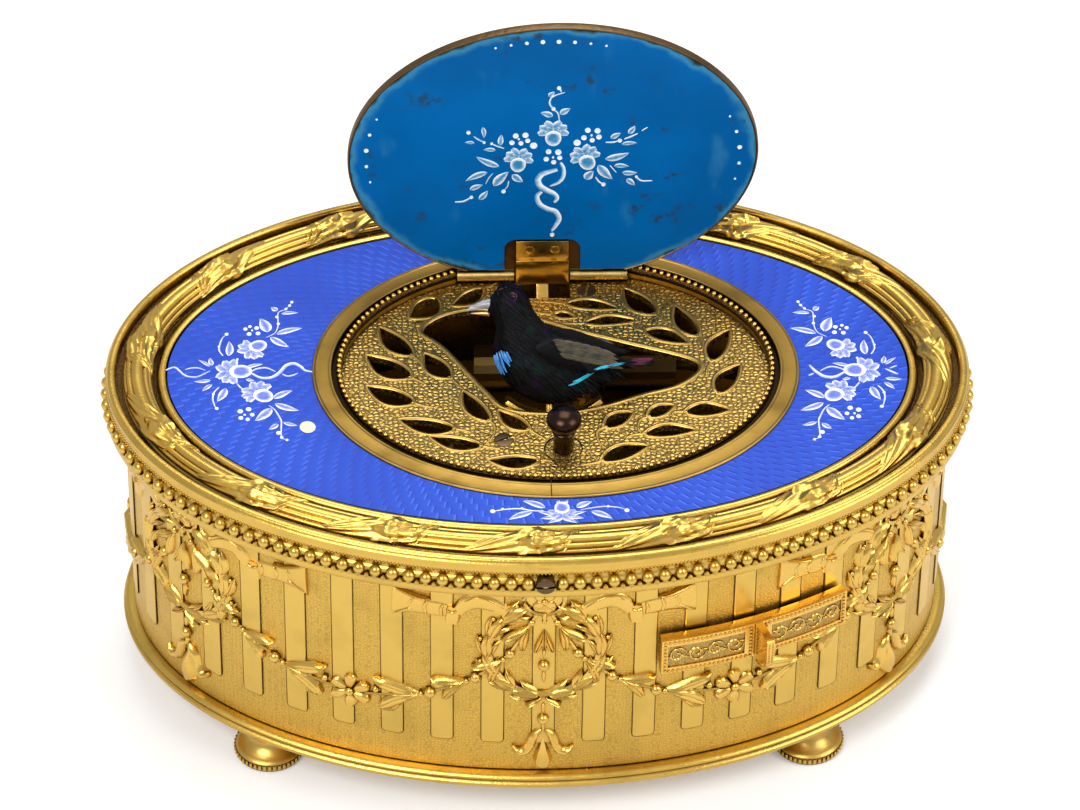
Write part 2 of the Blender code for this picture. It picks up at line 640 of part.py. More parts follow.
LEAVES = (  # root x, root y, tip x, tip y, width, in millimetres
    (-13.1, 16.3, -16.9, 12.4, 3.6), (-6.9, 18.2, -11.2, 14.9, 2.5), (-16.6, 4.8, -21.0, 10.6, 2.9),
    (-16.8, 0.4, -22.8, 4.9, 3.4), (-16.5, -4.7, -22.8, -1.3, 3.0), (-11.2, -9.9, -18.6, -7.9, 2.7),
    (-7.7, -13.3, -14.6, -11.3, 2.3), (-0.3, -16.2, -7.0, -16.0, 2.3), (-11.6, 0.2, -15.0, 5.2, 2.9),
    (-6.6, -8.4, -10.0, -2.4, 2.4), (-1.4, -10.2, -5.4, -6.3, 2.2), (16.3, 12.7, 12.2, 18.1, 3.1),
    (21.7, 8.1, 19.0, 14.4, 2.6), (23.3, 3.0, 26.1, 9.3, 2.7), (23.9, -3.5, 27.1, 2.2, 2.7),
    (19.3, -7.0, 25.3, -6.8, 2.5), (13.7, -11.3, 20.7, -10.7, 2.3), (7.9, -16.4, 14.2, -13.6, 2.6),
    (14.4, -7.9, 18.0, -5.7, 2.0), (8.6, -9.9, 12.4, -7.0, 2.4), (14.6, 9.3, 20.4, 6.6, 2.4),
    (6.6, 11.0, 14.0, 11.3, 1.8), (4.2, 15.0, 11.4, 13.8, 1.9), (2.4, 12.8, 5.4, 12.2, 1.2))
APERTURE = (  # outline of the hole the bird folds into, in millimetres
    (-15.6, 9.6), (-12.8, 12.9), (-7.0, 14.3), (-1.0, 12.6), (5.0, 9.9), (12.5, 7.0),
    (20.4, 3.9), (21.9, 1.4), (18.7, -1.9), (13.4, -3.8), (8.7, -5.8), (2.2, -7.1),
    (-4.2, -6.2), (-7.4, -2.2), (-12.6, 6.2))


def leaf_outline(leaf):
    """Return a pointed leaf between its root and its tip, fuller towards the root."""
    root, tip = Vector(leaf[0:2]) * MM, Vector(leaf[2:4]) * MM
    along = tip - root
    side = Vector((-along.y, along.x)).normalized() * leaf[4] / 2 * MM
    swell = ((0.10, 0.55), (0.36, 1.0), (0.68, 0.68))
    near = [root + along * t + side * w for t, w in swell]
    far = [root + along * t - side * w for t, w in reversed(swell)]
    return [(p.x, p.y) for p in [root, *near, tip, *far]]


def make_deck(gilt, enamel, steel):
    """Build the deck plate, the enamel panel, the ring and the pierced grille."""
    open_a = GRILLE_A - 3.3 * MM
    plate = skin("top_plate", [deck_oval(open_a, TOP_PLATE_Z), case_oval(CASE_A - SLIP, TOP_PLATE_Z),
                               case_oval(CASE_A - SLIP, TOP_PLATE_TOP_Z),
                               deck_oval(open_a, TOP_PLATE_TOP_Z)], gilt, closed=True)
    cut(plate, box("tail_clearance", (HINGE_X - TAIL_WIDTH, 0.0, TOP_PLATE_Z - 1 * MM),
                   (HINGE_X + TAIL_WIDTH, HINGE_Y + TAIL_LENGTH * 0.8, TOP_PLATE_TOP_Z + 1 * MM)))

    panel_a = FRAME_INNER_A - SEAM
    hole_a = GRILLE_A + 2 * SEAM
    skin("enamel_panel", [deck_oval(hole_a, PANEL_Z), case_oval(panel_a, PANEL_Z),
                          case_oval(panel_a, PANEL_TOP_Z), deck_oval(hole_a, PANEL_TOP_Z)],
         enamel, closed=True)

    crest_z = PANEL_TOP_Z + RING_RISE
    section = [(RING_INNER_A, GRILLE_TOP_Z + SLIP), (GRILLE_A + SEAM, GRILLE_TOP_Z + SLIP),
               (GRILLE_A + SEAM, PANEL_TOP_Z + SLIP), (RING_OUTER_A, PANEL_TOP_Z + SLIP),
               (RING_OUTER_A - 0.1 * MM, PANEL_TOP_Z + 0.22 * MM),
               (RING_INNER_A + 1.0 * MM, crest_z), (RING_INNER_A + 0.5 * MM, crest_z - 0.05 * MM),
               (RING_INNER_A, crest_z - 0.5 * MM)]
    ring = skin("grille_ring", [deck_oval(a, z) for a, z in section], gilt, closed=True)
    half = HINGE_LENGTH / 2 + SEAM
    cut(ring, box("hinge_pocket", (HINGE_X - half, 0.0, GRILLE_TOP_Z - 1 * MM),
                  (HINGE_X + half, HINGE_Y + BARREL_R + 0.35 * MM, crest_z + 1 * MM)))

    make_grille(gilt, steel)


def make_grille(gilt, steel):
    """Build the pierced plate with its aperture, slot and screws."""
    low, high = GRILLE_Z - 1 * MM, GRILLE_TOP_Z + 1 * MM
    plate = skin("grille_plate", [deck_oval(GRILLE_A, GRILLE_Z), deck_oval(GRILLE_A, GRILLE_TOP_Z)],
                 gilt)
    holes = [prism("leaf", leaf_outline(leaf), low, high, None) for leaf in LEAVES]
    points = [(x * MM, y * MM) for x, y in APERTURE]
    holes.append(prism("aperture", smooth_loop(points, 3), low, high, None))
    half = BLOCK_WIDTH / 2 + SEAM
    holes.append(box("slot", (HINGE_X - half, SLOT_FRONT_Y, low),
                     (HINGE_X + half, SLOT_BACK_Y, high)))
    holes.append(rod("post_hole", POST_FOOT_R + POST_CLEAR, low, high, (POST_X, POST_Y)))
    seat_z = GRILLE_Z + 0.6 * MM
    for name, spot, turn in GRILLE_SCREWS:
        bore = GRILLE_SCREW_R - 0.3 * MM
        holes.append(turned("screw_hole", [(bore, low), (bore, seat_z), (GRILLE_SCREW_R + SLIP, seat_z),
                                           (GRILLE_SCREW_R + SLIP, high)], None, spot, steps=12))
        head_z = GRILLE_TOP_Z + 0.12 * MM
        screw = turned(f"grille_screw_{name}",
                       [(bore - SLIP, GRILLE_Z - 0.3 * MM), (bore - SLIP, seat_z + SLIP / 2),
                        (GRILLE_SCREW_R, seat_z + SLIP / 2), (GRILLE_SCREW_R, head_z - SLIP),
                        (GRILLE_SCREW_R - SLIP, head_z)], steel, spot)
        slot = box(f"grille_slot_{name}", (-2 * MM, -0.18 * MM, 0.0), (2 * MM, 0.18 * MM, 1 * MM))
        slot.data.transform(Matrix.Translation((*spot, head_z - 0.3 * MM))
                            @ Matrix.Rotation(math.radians(turn), 4, "Z"))
        cut(screw, slot)
        foot = TRAIN_BRIDGE_Z + TRAIN_BRIDGE_THICK if name == "front" else MOVE_TOP_Z
        top = GRILLE_Z - 0.4 * MM
        turned(f"grille_pillar_{name}", [(GRILLE_PILLAR_R, foot + SLIP), (GRILLE_PILLAR_R, top - 1.5 * MM),
                                         (GRILLE_PILLAR_R * 0.8, top)], gilt, spot, steps=12)
    cut(plate, merge_shapes("grille_cutter", holes))


def make_lid(gilt, enamel, under_enamel, steel):
    """Build the lid shut, on an empty that then swings it open."""
    hinge = (0.0, HINGE_Y, HINGE_Z)
    lid_axis = axis("lid_axis", hinge, tilt=-LID_OPEN)
    spot = (DECK_X, DECK_Y)
    low = GRILLE_TOP_Z + 0.3 * MM
    floor_low, floor_high = low + 0.4 * MM, low + 1.0 * MM

    def lid_oval(inset, z, shrink=1.0):
        return oval((LID_A - inset) * shrink, (LID_B - inset) * shrink, z, spot, LID_LEAN)

    rings = [lid_oval(LID_RIM * 0.8, floor_low), lid_oval(LID_RIM * 0.8, low + 0.05 * MM),
             lid_oval(0.3 * MM, low), lid_oval(0.0, low + 0.2 * MM),
             lid_oval(0.0, low + LID_THICK - 0.25 * MM), lid_oval(0.35 * MM, low + LID_THICK),
             lid_oval(LID_RIM, low + LID_THICK - 0.05 * MM), lid_oval(LID_RIM, floor_high)]
    frame = skin("lid_frame", rings, gilt)
    under = skin("lid_under_enamel", [lid_oval(LID_RIM * 0.8 + SLIP, low + 0.05 * MM),
                                      lid_oval(LID_RIM * 0.8 + SLIP, floor_low - SLIP / 2)],
                 under_enamel)
    edge = LID_RIM + SLIP
    dome = [lid_oval(edge, floor_high + SLIP / 2), lid_oval(edge, low + LID_THICK - 0.15 * MM)]
    for step in (1, 2, 3):
        share = step / 4
        dome.append(lid_oval(edge, low + LID_THICK - 0.15 * MM + LID_DOME * (1 - (1 - share) ** 2),
                             1 - share))
    dome.append([Vector((*spot, low + LID_THICK - 0.15 * MM + LID_DOME))])
    top = skin("lid_top_enamel", dome, enamel)
    for piece, back in ((frame, 1.15), (under, 1.3), (top, 1.5)):
        chord = box(f"chord_{piece.name}", (-40 * MM, HINGE_Y - back * MM, low - 2 * MM),
                    (40 * MM, 40 * MM, low + 5 * MM))
        cut(piece, chord)
        hang(lid_axis, hinge, chord)
    corner = 1.6 * MM
    half = NOTCH_WIDTH / 2
    notch_y = HINGE_Y - 1.3 * MM - NOTCH_DEPTH
    outline = [(-half, notch_y + corner), (-half + 0.3 * corner, notch_y + 0.3 * corner),
               (-half + corner, notch_y), (half - corner, notch_y),
               (half - 0.3 * corner, notch_y + 0.3 * corner), (half, notch_y + corner),
               (half, 30 * MM), (-half, 30 * MM)]
    notch = prism("strap_notch", [(HINGE_X + x, y) for x, y in outline], low - 2 * MM,
                  low + 2 * MM, None)
    cut(under, notch)
    hang(lid_axis, hinge, frame, under, top, notch)

    strap_profile = [(0.7, -0.2), (0.7, 0.55), (0.3, 0.9), (-0.4, 0.9), (-0.9, 0.45),
                     (-0.95, -0.6), (-0.6, -1.3), (0.0, -1.6), (3.4, -1.6), (3.4, -0.65)]
    strap_profile = [(u * MM, w * MM) for u, w in strap_profile]
    strap_profile += [(BLOCK_REACH, -0.65 * MM), (BLOCK_REACH, -0.2 * MM)]
    block = prism_along_x("hinge_block", [(HINGE_Y - u, HINGE_Z + w) for u, w in strap_profile],
                          HINGE_X - BLOCK_WIDTH / 2, HINGE_X + BLOCK_WIDTH / 2, gilt)
    lean = TAIL_SLOPE + LID_OPEN - math.pi / 2
    down = Vector((math.sin(lean), -math.cos(lean)))
    side = Vector((-down.y, down.x)) * 0.3 * MM
    base, end = down * 1.0 * MM, down * TAIL_LENGTH
    tail_outline = [base + side, end + side * 0.7, end - side * 0.7, base - side]
    tail = prism_along_x("tail_lever", [(HINGE_Y + p.x, HINGE_Z + p.y) for p in tail_outline],
                         HINGE_X - TAIL_WIDTH / 2, HINGE_X + TAIL_WIDTH / 2, None)
    bore = rod("strap_bore", HINGE_PIN_R + SLIP, -6 * MM, 6 * MM, (0.0, 0.0), steps=12)
    lay_along_x(bore, (HINGE_X, HINGE_Y, HINGE_Z))
    join(block, tail)
    cut(block, bore)
    hang(lid_axis, hinge, block, tail, bore)

    gap = BLOCK_WIDTH / 2 + SEAM
    length = HINGE_LENGTH / 2 - gap
    for side_name, start in (("left", HINGE_X - gap - length), ("right", HINGE_X + gap)):
        tube = turned(f"hinge_barrel_{side_name}",
                      [(HINGE_PIN_R + SLIP / 2, 0.0), (BARREL_R, 0.0), (BARREL_R, length),
                       (HINGE_PIN_R + SLIP / 2, length)], gilt, hollow=True, steps=16)
        lay_along_x(tube, (start, HINGE_Y, HINGE_Z))
    pin = rod("hinge_pin", HINGE_PIN_R, 0.0, HINGE_LENGTH - 0.4 * MM, (0.0, 0.0), steel, steps=12)
    lay_along_x(pin, (HINGE_X - HINGE_LENGTH / 2 + 0.2 * MM, HINGE_Y, HINGE_Z))


def bird_ring(top, bottom, half_wide, steps=14):
    """Return a ring across the bird through two (x, z) points of its middle plane."""
    top, bottom = Vector(top) * MM, Vector(bottom) * MM
    middle, half = (top + bottom) / 2, (top - bottom) / 2
    points = []
    for i in range(steps):
        angle = 2 * math.pi * i / steps
        spot = middle + half * math.cos(angle)
        points.append(Vector((spot.x, BIRD_OFFSET + half_wide * MM * math.sin(angle), spot.y)))
    return points


BIRD_STATIONS = (  # back x and z, breast x and z, half width, in millimetres, from beak to tail
    (-6.5, 17.1, -6.6, 15.3, 0.9), (-5.6, 18.2, -5.9, 14.4, 1.8), (-4.2, 19.0, -5.6, 13.3, 2.4),
    (-2.0, 17.9, -5.8, 12.0, 2.6), (-0.5, 15.6, -6.1, 10.4, 2.9), (1.2, 13.7, -5.5, 8.0, 3.2),
    (3.4, 12.0, -3.9, 5.4, 3.4), (5.4, 10.7, -0.6, 3.4, 3.3), (7.2, 9.9, 3.2, 3.5, 2.8),
    (8.6, 9.5, 6.4, 5.5, 2.1), (9.7, 9.1, 9.1, 7.1, 1.3))


def make_bird(feather, beak_gold, horn, gilt, steel):
    """Build the bird and its cradle upright on an empty that then leans them back."""
    fold = axis("bird_axis", (0.0, FOLD_Y, FOLD_Z), tilt=-BIRD_LEAN)
    rings = [bird_ring((x, z), (low_x, low_z), wide)
             for x, z, low_x, low_z, wide in BIRD_STATIONS]
    body = skin("bird_body", rings, feather, smooth=80.0)
    body.parent = fold

    def leaf_shell(name, outline, middle, thick, material):
        """Return a thin lens-shaped feathered piece from an outline of (x, z) points."""
        rim = smooth_loop(outline, 2)
        centre = Vector((sum(p[0] for p in rim) / len(rim), sum(p[1] for p in rim) / len(rim)))
        rings = [[Vector((centre.x, middle - thick, centre.y))]]
        for share, depth in ((0.6, -0.75), (1.0, -0.15), (1.0, 0.15), (0.6, 0.75)):
            rings.append([Vector((centre.x + (x - centre.x) * share, middle + depth * thick,
                                  centre.y + (z - centre.y) * share)) for x, z in rim])
        rings.append([Vector((centre.x, middle + thick, centre.y))])
        return skin(name, rings, material, smooth=60.0)

    wing_outline = [(-0.6 * MM, 12.2 * MM), (2.6 * MM, 12.6 * MM), (7.2 * MM, 11.2 * MM),
                    (12.1 * MM, 9.0 * MM), (7.6 * MM, 7.9 * MM), (3.0 * MM, 7.8 * MM),
                    (0.2 * MM, 9.4 * MM)]
    for name, sign in (("wing_left", -1), ("wing_right", 1)):
        middle = BIRD_OFFSET + sign * (3.4 * MM + 0.5 * MM)
        pivot = Vector((2.0 * MM, middle, 12.2 * MM))
        wing_axis = axis(f"{name}_axis", pivot, parent=fold)
        wing = leaf_shell(name, wing_outline, middle, 0.35 * MM, feather)
        hang(wing_axis, pivot, wing)

    tail_pivot = Vector((9.9 * MM, BIRD_OFFSET, 8.1 * MM))
    tail_axis = axis("tail_axis", tail_pivot, parent=fold)
    tail_rings = []
    for x, z, wide, thick in ((9.75, 8.1, 1.0, 0.45), (12.5, 8.2, 1.5, 0.4), (15.7, 8.3, 1.9, 0.2)):
        tail_rings.append([Vector((x * MM, BIRD_OFFSET + a * wide * MM, (z + b * thick) * MM))
                           for a, b in ((-1, 0), (-0.6, 0.8), (0.6, 0.8), (1, 0), (0.6, -0.8),
                                        (-0.6, -0.8))])
    tail = skin("tail", tail_rings, feather)
    hang(tail_axis, tail_pivot, tail)

    upper = skin("upper_beak", [bird_ring((-6.75, 17.2), (-6.75, 15.9), 0.75, 10),
                                bird_ring((-8.0, 16.7), (-8.0, 15.75), 0.45, 10),
                                [Vector((-9.5 * MM, BIRD_OFFSET, 15.65 * MM))]], horn)
    upper.parent = fold
    beak_pivot = Vector((-6.7 * MM, BIRD_OFFSET, 15.5 * MM))
    beak_axis = axis("beak_axis", beak_pivot, parent=fold)
    lower = skin("lower_beak", [bird_ring((-6.85, 15.7), (-6.85, 15.0), 0.6, 8),
                                bird_ring((-8.0, 15.55), (-8.0, 15.05), 0.35, 8),
                                [Vector((-9.0 * MM, BIRD_OFFSET, 15.2 * MM))]], beak_gold)
    hang(beak_axis, beak_pivot, lower)

    make_cradle(fold, gilt, steel)


def make_cradle(fold, gilt, steel):
    """Build the curved cradle, its lugs, and the bracket and pin it swings on."""
    arc_z = CRADLE_BOTTOM + CRADLE_R
    rings = []
    for step in range(9):
        angle = CRADLE_SPREAD * (step / 4 - 1)
        section = []
        for radius, y in ((CRADLE_R, CRADLE_FRONT), (CRADLE_R, CRADLE_BACK),
                          (CRADLE_R + CRADLE_THICK, CRADLE_BACK),
                          (CRADLE_R + CRADLE_THICK, CRADLE_FRONT)):
            section.append(Vector((CRADLE_X + radius * math.sin(angle), y,
                                   arc_z - radius * math.cos(angle))))
        rings.append(section)
    cradle = skin("bird_stand", rings, gilt)
    lug_outline = [(-0.7, 0.0), (-0.45, 0.55), (0.3, 0.85), (1.3, 1.1), (1.5, 1.7), (3.2, 1.7),
                   (3.2, 1.2), (0.55, -0.45), (0.0, -0.7), (-0.5, -0.5)]
    parts = []
    for x in (CRADLE_X - 2.6 * MM, CRADLE_X + 1.6 * MM):
        parts.append(prism_along_x("lug", [(y * MM, z * MM) for y, z in lug_outline], x,
                                   x + 1.0 * MM, None))
    parts.append(rod("belly_peg", 0.5 * MM, CRADLE_BOTTOM - 0.3 * MM, PEG_TOP,
                     (CRADLE_X - 0.6 * MM, BIRD_OFFSET), steps=10))
    for part in parts:
        part.parent = fold
    join(cradle, *parts)
    bore = rod("cradle_bore", PIVOT_PIN_R + SLIP / 2, -8 * MM, 8 * MM, (0.0, 0.0), steps=12)
    lay_along_x(bore, (CRADLE_X, 0.0, 0.0))
    bore.parent = fold
    cut(cradle, bore)
    cradle.parent = fold

    ear_top = FOLD_Z + 0.7 * MM
    ear = [(FOLD_Y - 1.9 * MM, FOLD_Z - 0.9 * MM), (FOLD_Y + 0.6 * MM, FOLD_Z - 0.9 * MM),
           (FOLD_Y + 0.9 * MM, FOLD_Z - 0.4 * MM), (FOLD_Y + 0.9 * MM, ear_top),
           (FOLD_Y - 1.9 * MM, ear_top)]
    reach = 4.4 * MM
    bracket = prism_along_x("bird_bracket", ear, CRADLE_X - reach, CRADLE_X + reach, gilt)
    cut(bracket, box("bracket_gap", (CRADLE_X - reach + 1.0 * MM, FOLD_Y - 1.2 * MM, FOLD_Z - 3 * MM),
                     (CRADLE_X + reach - 1.0 * MM, FOLD_Y + 3 * MM, FOLD_Z + 3 * MM)))
    hole = rod("bracket_bore", PIVOT_PIN_R + SLIP / 2, -8 * MM, 8 * MM, (0.0, 0.0), steps=12)
    lay_along_x(hole, (CRADLE_X, FOLD_Y, FOLD_Z))
    cut(bracket, hole)
    pin = rod("bird_pivot_pin", PIVOT_PIN_R, 0.0, 2 * reach + 0.6 * MM, (0.0, 0.0), steel, steps=12)
    lay_along_x(pin, (CRADLE_X - reach - 0.3 * MM, FOLD_Y, FOLD_Z))


def make_post(dark, gilt):
    """Build the ball-headed post that the lid's closing lowers, and its guide."""
    spot = (POST_X, POST_Y, 0.0)
    head_z = GRILLE_TOP_Z + POST_HEIGHT - POST_HEAD_HALF
    neck_z = head_z - POST_HEAD_HALF * 0.8
    foot_z = GRILLE_TOP_Z - SLIP
    profile = [(POST_FOOT_R, foot_z - 1.8 * MM), (POST_FOOT_R, foot_z), (POST_STEM_R, foot_z),
               (POST_STEM_R, neck_z - 0.9 * MM), (POST_STEM_R + 0.2 * MM, neck_z - 0.75 * MM),
               (POST_STEM_R + 0.2 * MM, neck_z - 0.5 * MM), (POST_STEM_R, neck_z - 0.35 * MM)]
    for step in range(7):
        angle = math.radians(-52 + 142 * step / 7)
        profile.append((POST_HEAD_R * math.cos(angle), head_z + POST_HEAD_HALF * math.sin(angle)))
    profile.append((0.0, head_z + POST_HEAD_HALF))
    post = turned("lid_plunger", profile, dark, spot)
    hang(axis("post_axis", spot), spot, post)
    bore = POST_FOOT_R + POST_CLEAR
    top = GRILLE_Z - SEAM
    turned("plunger_guide", [(bore, foot_z - POST_TRAVEL - 2.2 * MM), (bore + 0.5 * MM,
                             foot_z - POST_TRAVEL - 2.2 * MM), (bore + 0.5 * MM, top),
                             (bore, top)], gilt, spot, hollow=True)


def slide_geometry():
    """Return the middle of the slide on the wall, its arc's centre and radius, and its bearing."""
    b = CASE_A - CASE_SLIM
    y = -b * math.sqrt(1 - (SLIDE_ARC_X / CASE_A) ** 2)
    normal = Vector((SLIDE_ARC_X / CASE_A ** 2, y / b ** 2)).normalized()
    share = SLIDE_ARC_X / CASE_A
    radius = (CASE_A ** 2 * (1 - share ** 2) + b ** 2 * share ** 2) ** 1.5 / (CASE_A * b)
    centre = Vector((SLIDE_ARC_X, y)) - normal * radius
    return centre, radius, math.atan2(normal.y, normal.x)


SLIDE_CENTRE, SLIDE_ARC_R, SLIDE_BEARING = slide_geometry()
SLIDE_MIDDLE_Z = SLIDE_BOTTOM_Z + SLIDE_HEIGHT / 2


def slide_spot(radius, angle, z):
    """Return a point on the slide's arc; a positive angle lies to the right."""
    bearing = SLIDE_BEARING + angle
    return Vector((SLIDE_CENTRE.x + radius * math.cos(bearing),
                   SLIDE_CENTRE.y + radius * math.sin(bearing), z))


def slide_block(name, inner, outer, low, high, start, end, material, bevel=0.0, steps=6):
    """Return a block bent round the slide's axis, with its outer edges bevelled."""
    rings = []
    for step in range(steps + 1):
        angle = start + (end - start) * step / steps
        section = [(inner, low), (outer, low), (outer, high), (inner, high)]
        if bevel:
            section = [(inner, low), (outer - bevel, low), (outer, low + bevel),
                       (outer, high - bevel), (outer - bevel, high), (inner, high)]
        rings.append([slide_spot(radius, angle, z) for radius, z in section])
    return skin(name, rings, material)


def make_slide(gilt, steel):
    """Build the engraved slide, its fin, the tongue behind it and the stop lever."""
    inner = SLIDE_ARC_R + SLIDE_GAP
    outer = inner + SLIDE_THICK
    half = SLIDE_LENGTH / 2 / SLIDE_ARC_R
    spot = (SLIDE_CENTRE.x, SLIDE_CENTRE.y, 0.0)
    slide_axis = axis("slide_axis", spot)
    plate = slide_block("slide_plate", inner, outer, SLIDE_BOTTOM_Z, SLIDE_BOTTOM_Z + SLIDE_HEIGHT,
                        -half, half, gilt, bevel=0.25 * MM, steps=12)
    tip = outer + SLIP + FIN_REACH
    top = SLIDE_BOTTOM_Z + SLIDE_HEIGHT
    profile = [(outer + SLIP, SLIDE_BOTTOM_Z + 0.3 * MM), (outer + 1.6 * MM, SLIDE_BOTTOM_Z + 0.4 * MM),
               (tip - 0.2 * MM, SLIDE_BOTTOM_Z + 1.3 * MM), (tip, SLIDE_BOTTOM_Z + 2.6 * MM),
               (tip, top - 0.3 * MM), (tip - 0.3 * MM, top), (outer + SLIP, top)]
    half_fin = FIN_THICK / 2 / outer
    fin = skin("slide_knob", [[slide_spot(radius, angle, z) for radius, z in profile]
                              for angle in (-half_fin, half_fin)], gilt)
    half_tongue = TONGUE_WIDTH / 2 / SLIDE_ARC_R
    tongue = slide_block("slide_tongue", SLIDE_ARC_R - WALL - TONGUE_REACH, inner - SLIP,
                         SLIDE_MIDDLE_Z - TONGUE_HEIGHT / 2, SLIDE_MIDDLE_Z + TONGUE_HEIGHT / 2,
                         -half_tongue, half_tongue, steel, steps=2)
    hang(slide_axis, spot, plate, fin, tongue)

    tongue_end = SLIDE_ARC_R - WALL - TONGUE_REACH
    pivot = slide_spot(tongue_end - STOP_ARM, 0.0, 0.0)
    touch = slide_spot(tongue_end - 0.3 * MM - STOP_WIDTH / 2, 0.0, 0.0)
    aim = (GOVERNOR_SPOT - pivot).normalized()
    aim.rotate(Matrix.Rotation(SLIDE_TRAVEL * STOP_RATIO, 3, "Z"))
    finger = pivot + aim * STOP_FINGER
    path = [(touch.x, touch.y), (pivot.x, pivot.y), (finger.x, finger.y)]
    low = SLIDE_MIDDLE_Z - 0.6 * MM
    lever = prism("stop_lever", strap(path, STOP_WIDTH), low, low + 1.2 * MM, steel)
    boss = rod("stop_boss", 2.0 * MM, MOVE_TOP_Z + SEAM, low + 1.6 * MM, pivot)
    journal = rod("stop_journal", JOURNAL_R, MOVE_PLATE_Z + SLIP, low, pivot, steps=12)
    join(lever, boss, journal)
    lever_axis = axis("stop_lever_axis", pivot)
    hang(lever_axis, pivot, lever, boss, journal)
    return pivot


def make_movement(stop_pivot, brass, steel):
    """Build the movement plate, spring barrel, wheels, cams, governor and bridges."""
    plate = skin("movement_plate", [case_oval(MOVE_PLATE_A, MOVE_PLATE_Z),
                                    case_oval(MOVE_PLATE_A, MOVE_TOP_Z)], brass)
    holes = []
    for spot, radius in ((SPRING_BARREL, WIND_ARBOR_R), (CAM_SPOT, ARBOR_R), (FAN_SPOT, ARBOR_R),
                         (GOVERNOR_SPOT, ARBOR_R), (stop_pivot, JOURNAL_R)):
        holes.append(rod("hole", radius + ARBOR_PLAY, MOVE_PLATE_Z - 1 * MM, MOVE_TOP_Z + 1 * MM,
                         spot))
    cut(plate, merge_shapes("plate_holes", holes))
    top = MOVE_PLATE_Z - SLIP
    low = BASE_TOP_Z + SPIGOT_HEIGHT + SLIP
    for name, spot in (("left", (PILLAR_INSET - MOVE_PLATE_A, 0.0)), ("front", (SIDE_PILLAR_X, -SIDE_Y)),
                       ("back", (SIDE_PILLAR_X, SIDE_Y))):
        turned(f"movement_pillar_{name}", [(PILLAR_R, low), (PILLAR_R, low + 1 * MM),
                                           (PILLAR_R * 0.75, low + 2 * MM),
                                           (PILLAR_R * 0.75, top - 2 * MM),
                                           (PILLAR_R, top - 1 * MM), (PILLAR_R, top)],
               brass, spot, steps=12)
    make_spring(brass, steel)
    make_train(brass, steel)


def make_spring(brass, steel):
    """Build the spring barrel with its great wheel, the winding arbor, ratchet and click."""
    spot = SPRING_BARREL
    bore = WIND_ARBOR_R + ARBOR_PLAY
    barrel = gear("spring_barrel", GREAT_TEETH, GREAT_WHEEL_Z, GREAT_WHEEL_Z + WHEEL_THICK, spot,
                  brass)
    drum = rod("drum", DRUM_R, GREAT_WHEEL_Z + 0.3 * MM, DRUM_TOP_Z, spot, steps=32)
    drill = rod("barrel_bore", bore, GREAT_WHEEL_Z - 1 * MM, DRUM_TOP_Z + 1 * MM, spot)
    join(barrel, drum)
    cut(barrel, drill)
    hang(axis("barrel_axis", spot), spot, barrel, drum, drill)

    bridge_z = DRUM_TOP_Z + 0.7 * MM
    bridge_top = bridge_z + 1.2 * MM
    ratchet_z = bridge_top + 0.3 * MM
    key_z = BASE_TOP_Z + SPIGOT_HEIGHT + 1 * MM
    arbor = rod("winding_arbor", WIND_ARBOR_R, key_z + KEY_SQUARE_LENGTH, ratchet_z + 1.9 * MM,
                spot, steel)
    half = KEY_SQUARE / 2
    key_end = box("key_square", (spot.x - half, spot.y - half, key_z),
                  (spot.x + half, spot.y + half, key_z + KEY_SQUARE_LENGTH + 1 * MM))
    join(arbor, key_end)
    outline = []
    for i in range(24):
        angle = 2 * math.pi * (i + (0.35 if i % 2 else 0.0)) / 24
        radius = 5.0 * MM if i % 2 else 4.0 * MM
        outline.append((spot.x + radius * math.cos(angle), spot.y + radius * math.sin(angle)))
    ratchet = prism("ratchet_wheel", outline, ratchet_z, ratchet_z + 1 * MM, steel)
    ratchet_bore = rod("ratchet_bore", WIND_ARBOR_R + SLIP / 2, ratchet_z - 1 * MM,
                       ratchet_z + 2 * MM, spot)
    cut(ratchet, ratchet_bore)
    hang(axis("winding_axis", spot), spot, arbor, key_end, ratchet, ratchet_bore)

    reach = GREAT_TEETH * GEAR_MODULE / 2 + 1.2 * MM
    leg = 2.4 * MM
    outline = [(spot.y - reach - leg, MOVE_TOP_Z + SLIP), (spot.y - reach, MOVE_TOP_Z + SLIP),
               (spot.y - reach, bridge_z), (spot.y + reach, bridge_z),
               (spot.y + reach, MOVE_TOP_Z + SLIP), (spot.y + reach + leg, MOVE_TOP_Z + SLIP),
               (spot.y + reach + leg, bridge_top), (spot.y - reach - leg, bridge_top)]
    bridge = prism_along_x("barrel_bridge", outline, spot.x - 3.5 * MM, spot.x + 3.5 * MM, brass)
    cut(bridge, rod("bridge_hole", bore, bridge_z - 1 * MM, bridge_top + 1 * MM, spot))

    pivot = spot + Vector((0.0, CLICK_REACH, 0.0))
    path = [(pivot.x - 0.3 * MM, pivot.y + 1.0 * MM), (pivot.x + 0.7 * MM, pivot.y - 1.6 * MM),
            (pivot.x + 1.9 * MM, pivot.y - 3.2 * MM)]
    click = prism("click", strap(path, 1.4 * MM), ratchet_z, ratchet_z + 0.9 * MM, steel)
    journal = rod("click_journal", JOURNAL_R, bridge_z + SLIP, ratchet_z + 1.3 * MM, pivot, steps=12)
    join(click, journal)
    cut(bridge, rod("click_hole", JOURNAL_R + ARBOR_PLAY, bridge_z - 1 * MM, bridge_top + 1 * MM,
                    pivot, steps=12))
    hang(axis("click_axis", pivot), pivot, click, journal)


def cam(name, size, lift, lobes, low, high):
    """Return a lobed cam on the cam arbor."""
    outline = []
    for i in range(30):
        angle = 2 * math.pi * i / 30
        radius = size + lift * math.sin(lobes * angle)
        outline.append((CAM_SPOT.x + radius * math.cos(angle),
                        CAM_SPOT.y + radius * math.sin(angle)))
    return prism(name, outline, low, high, None)


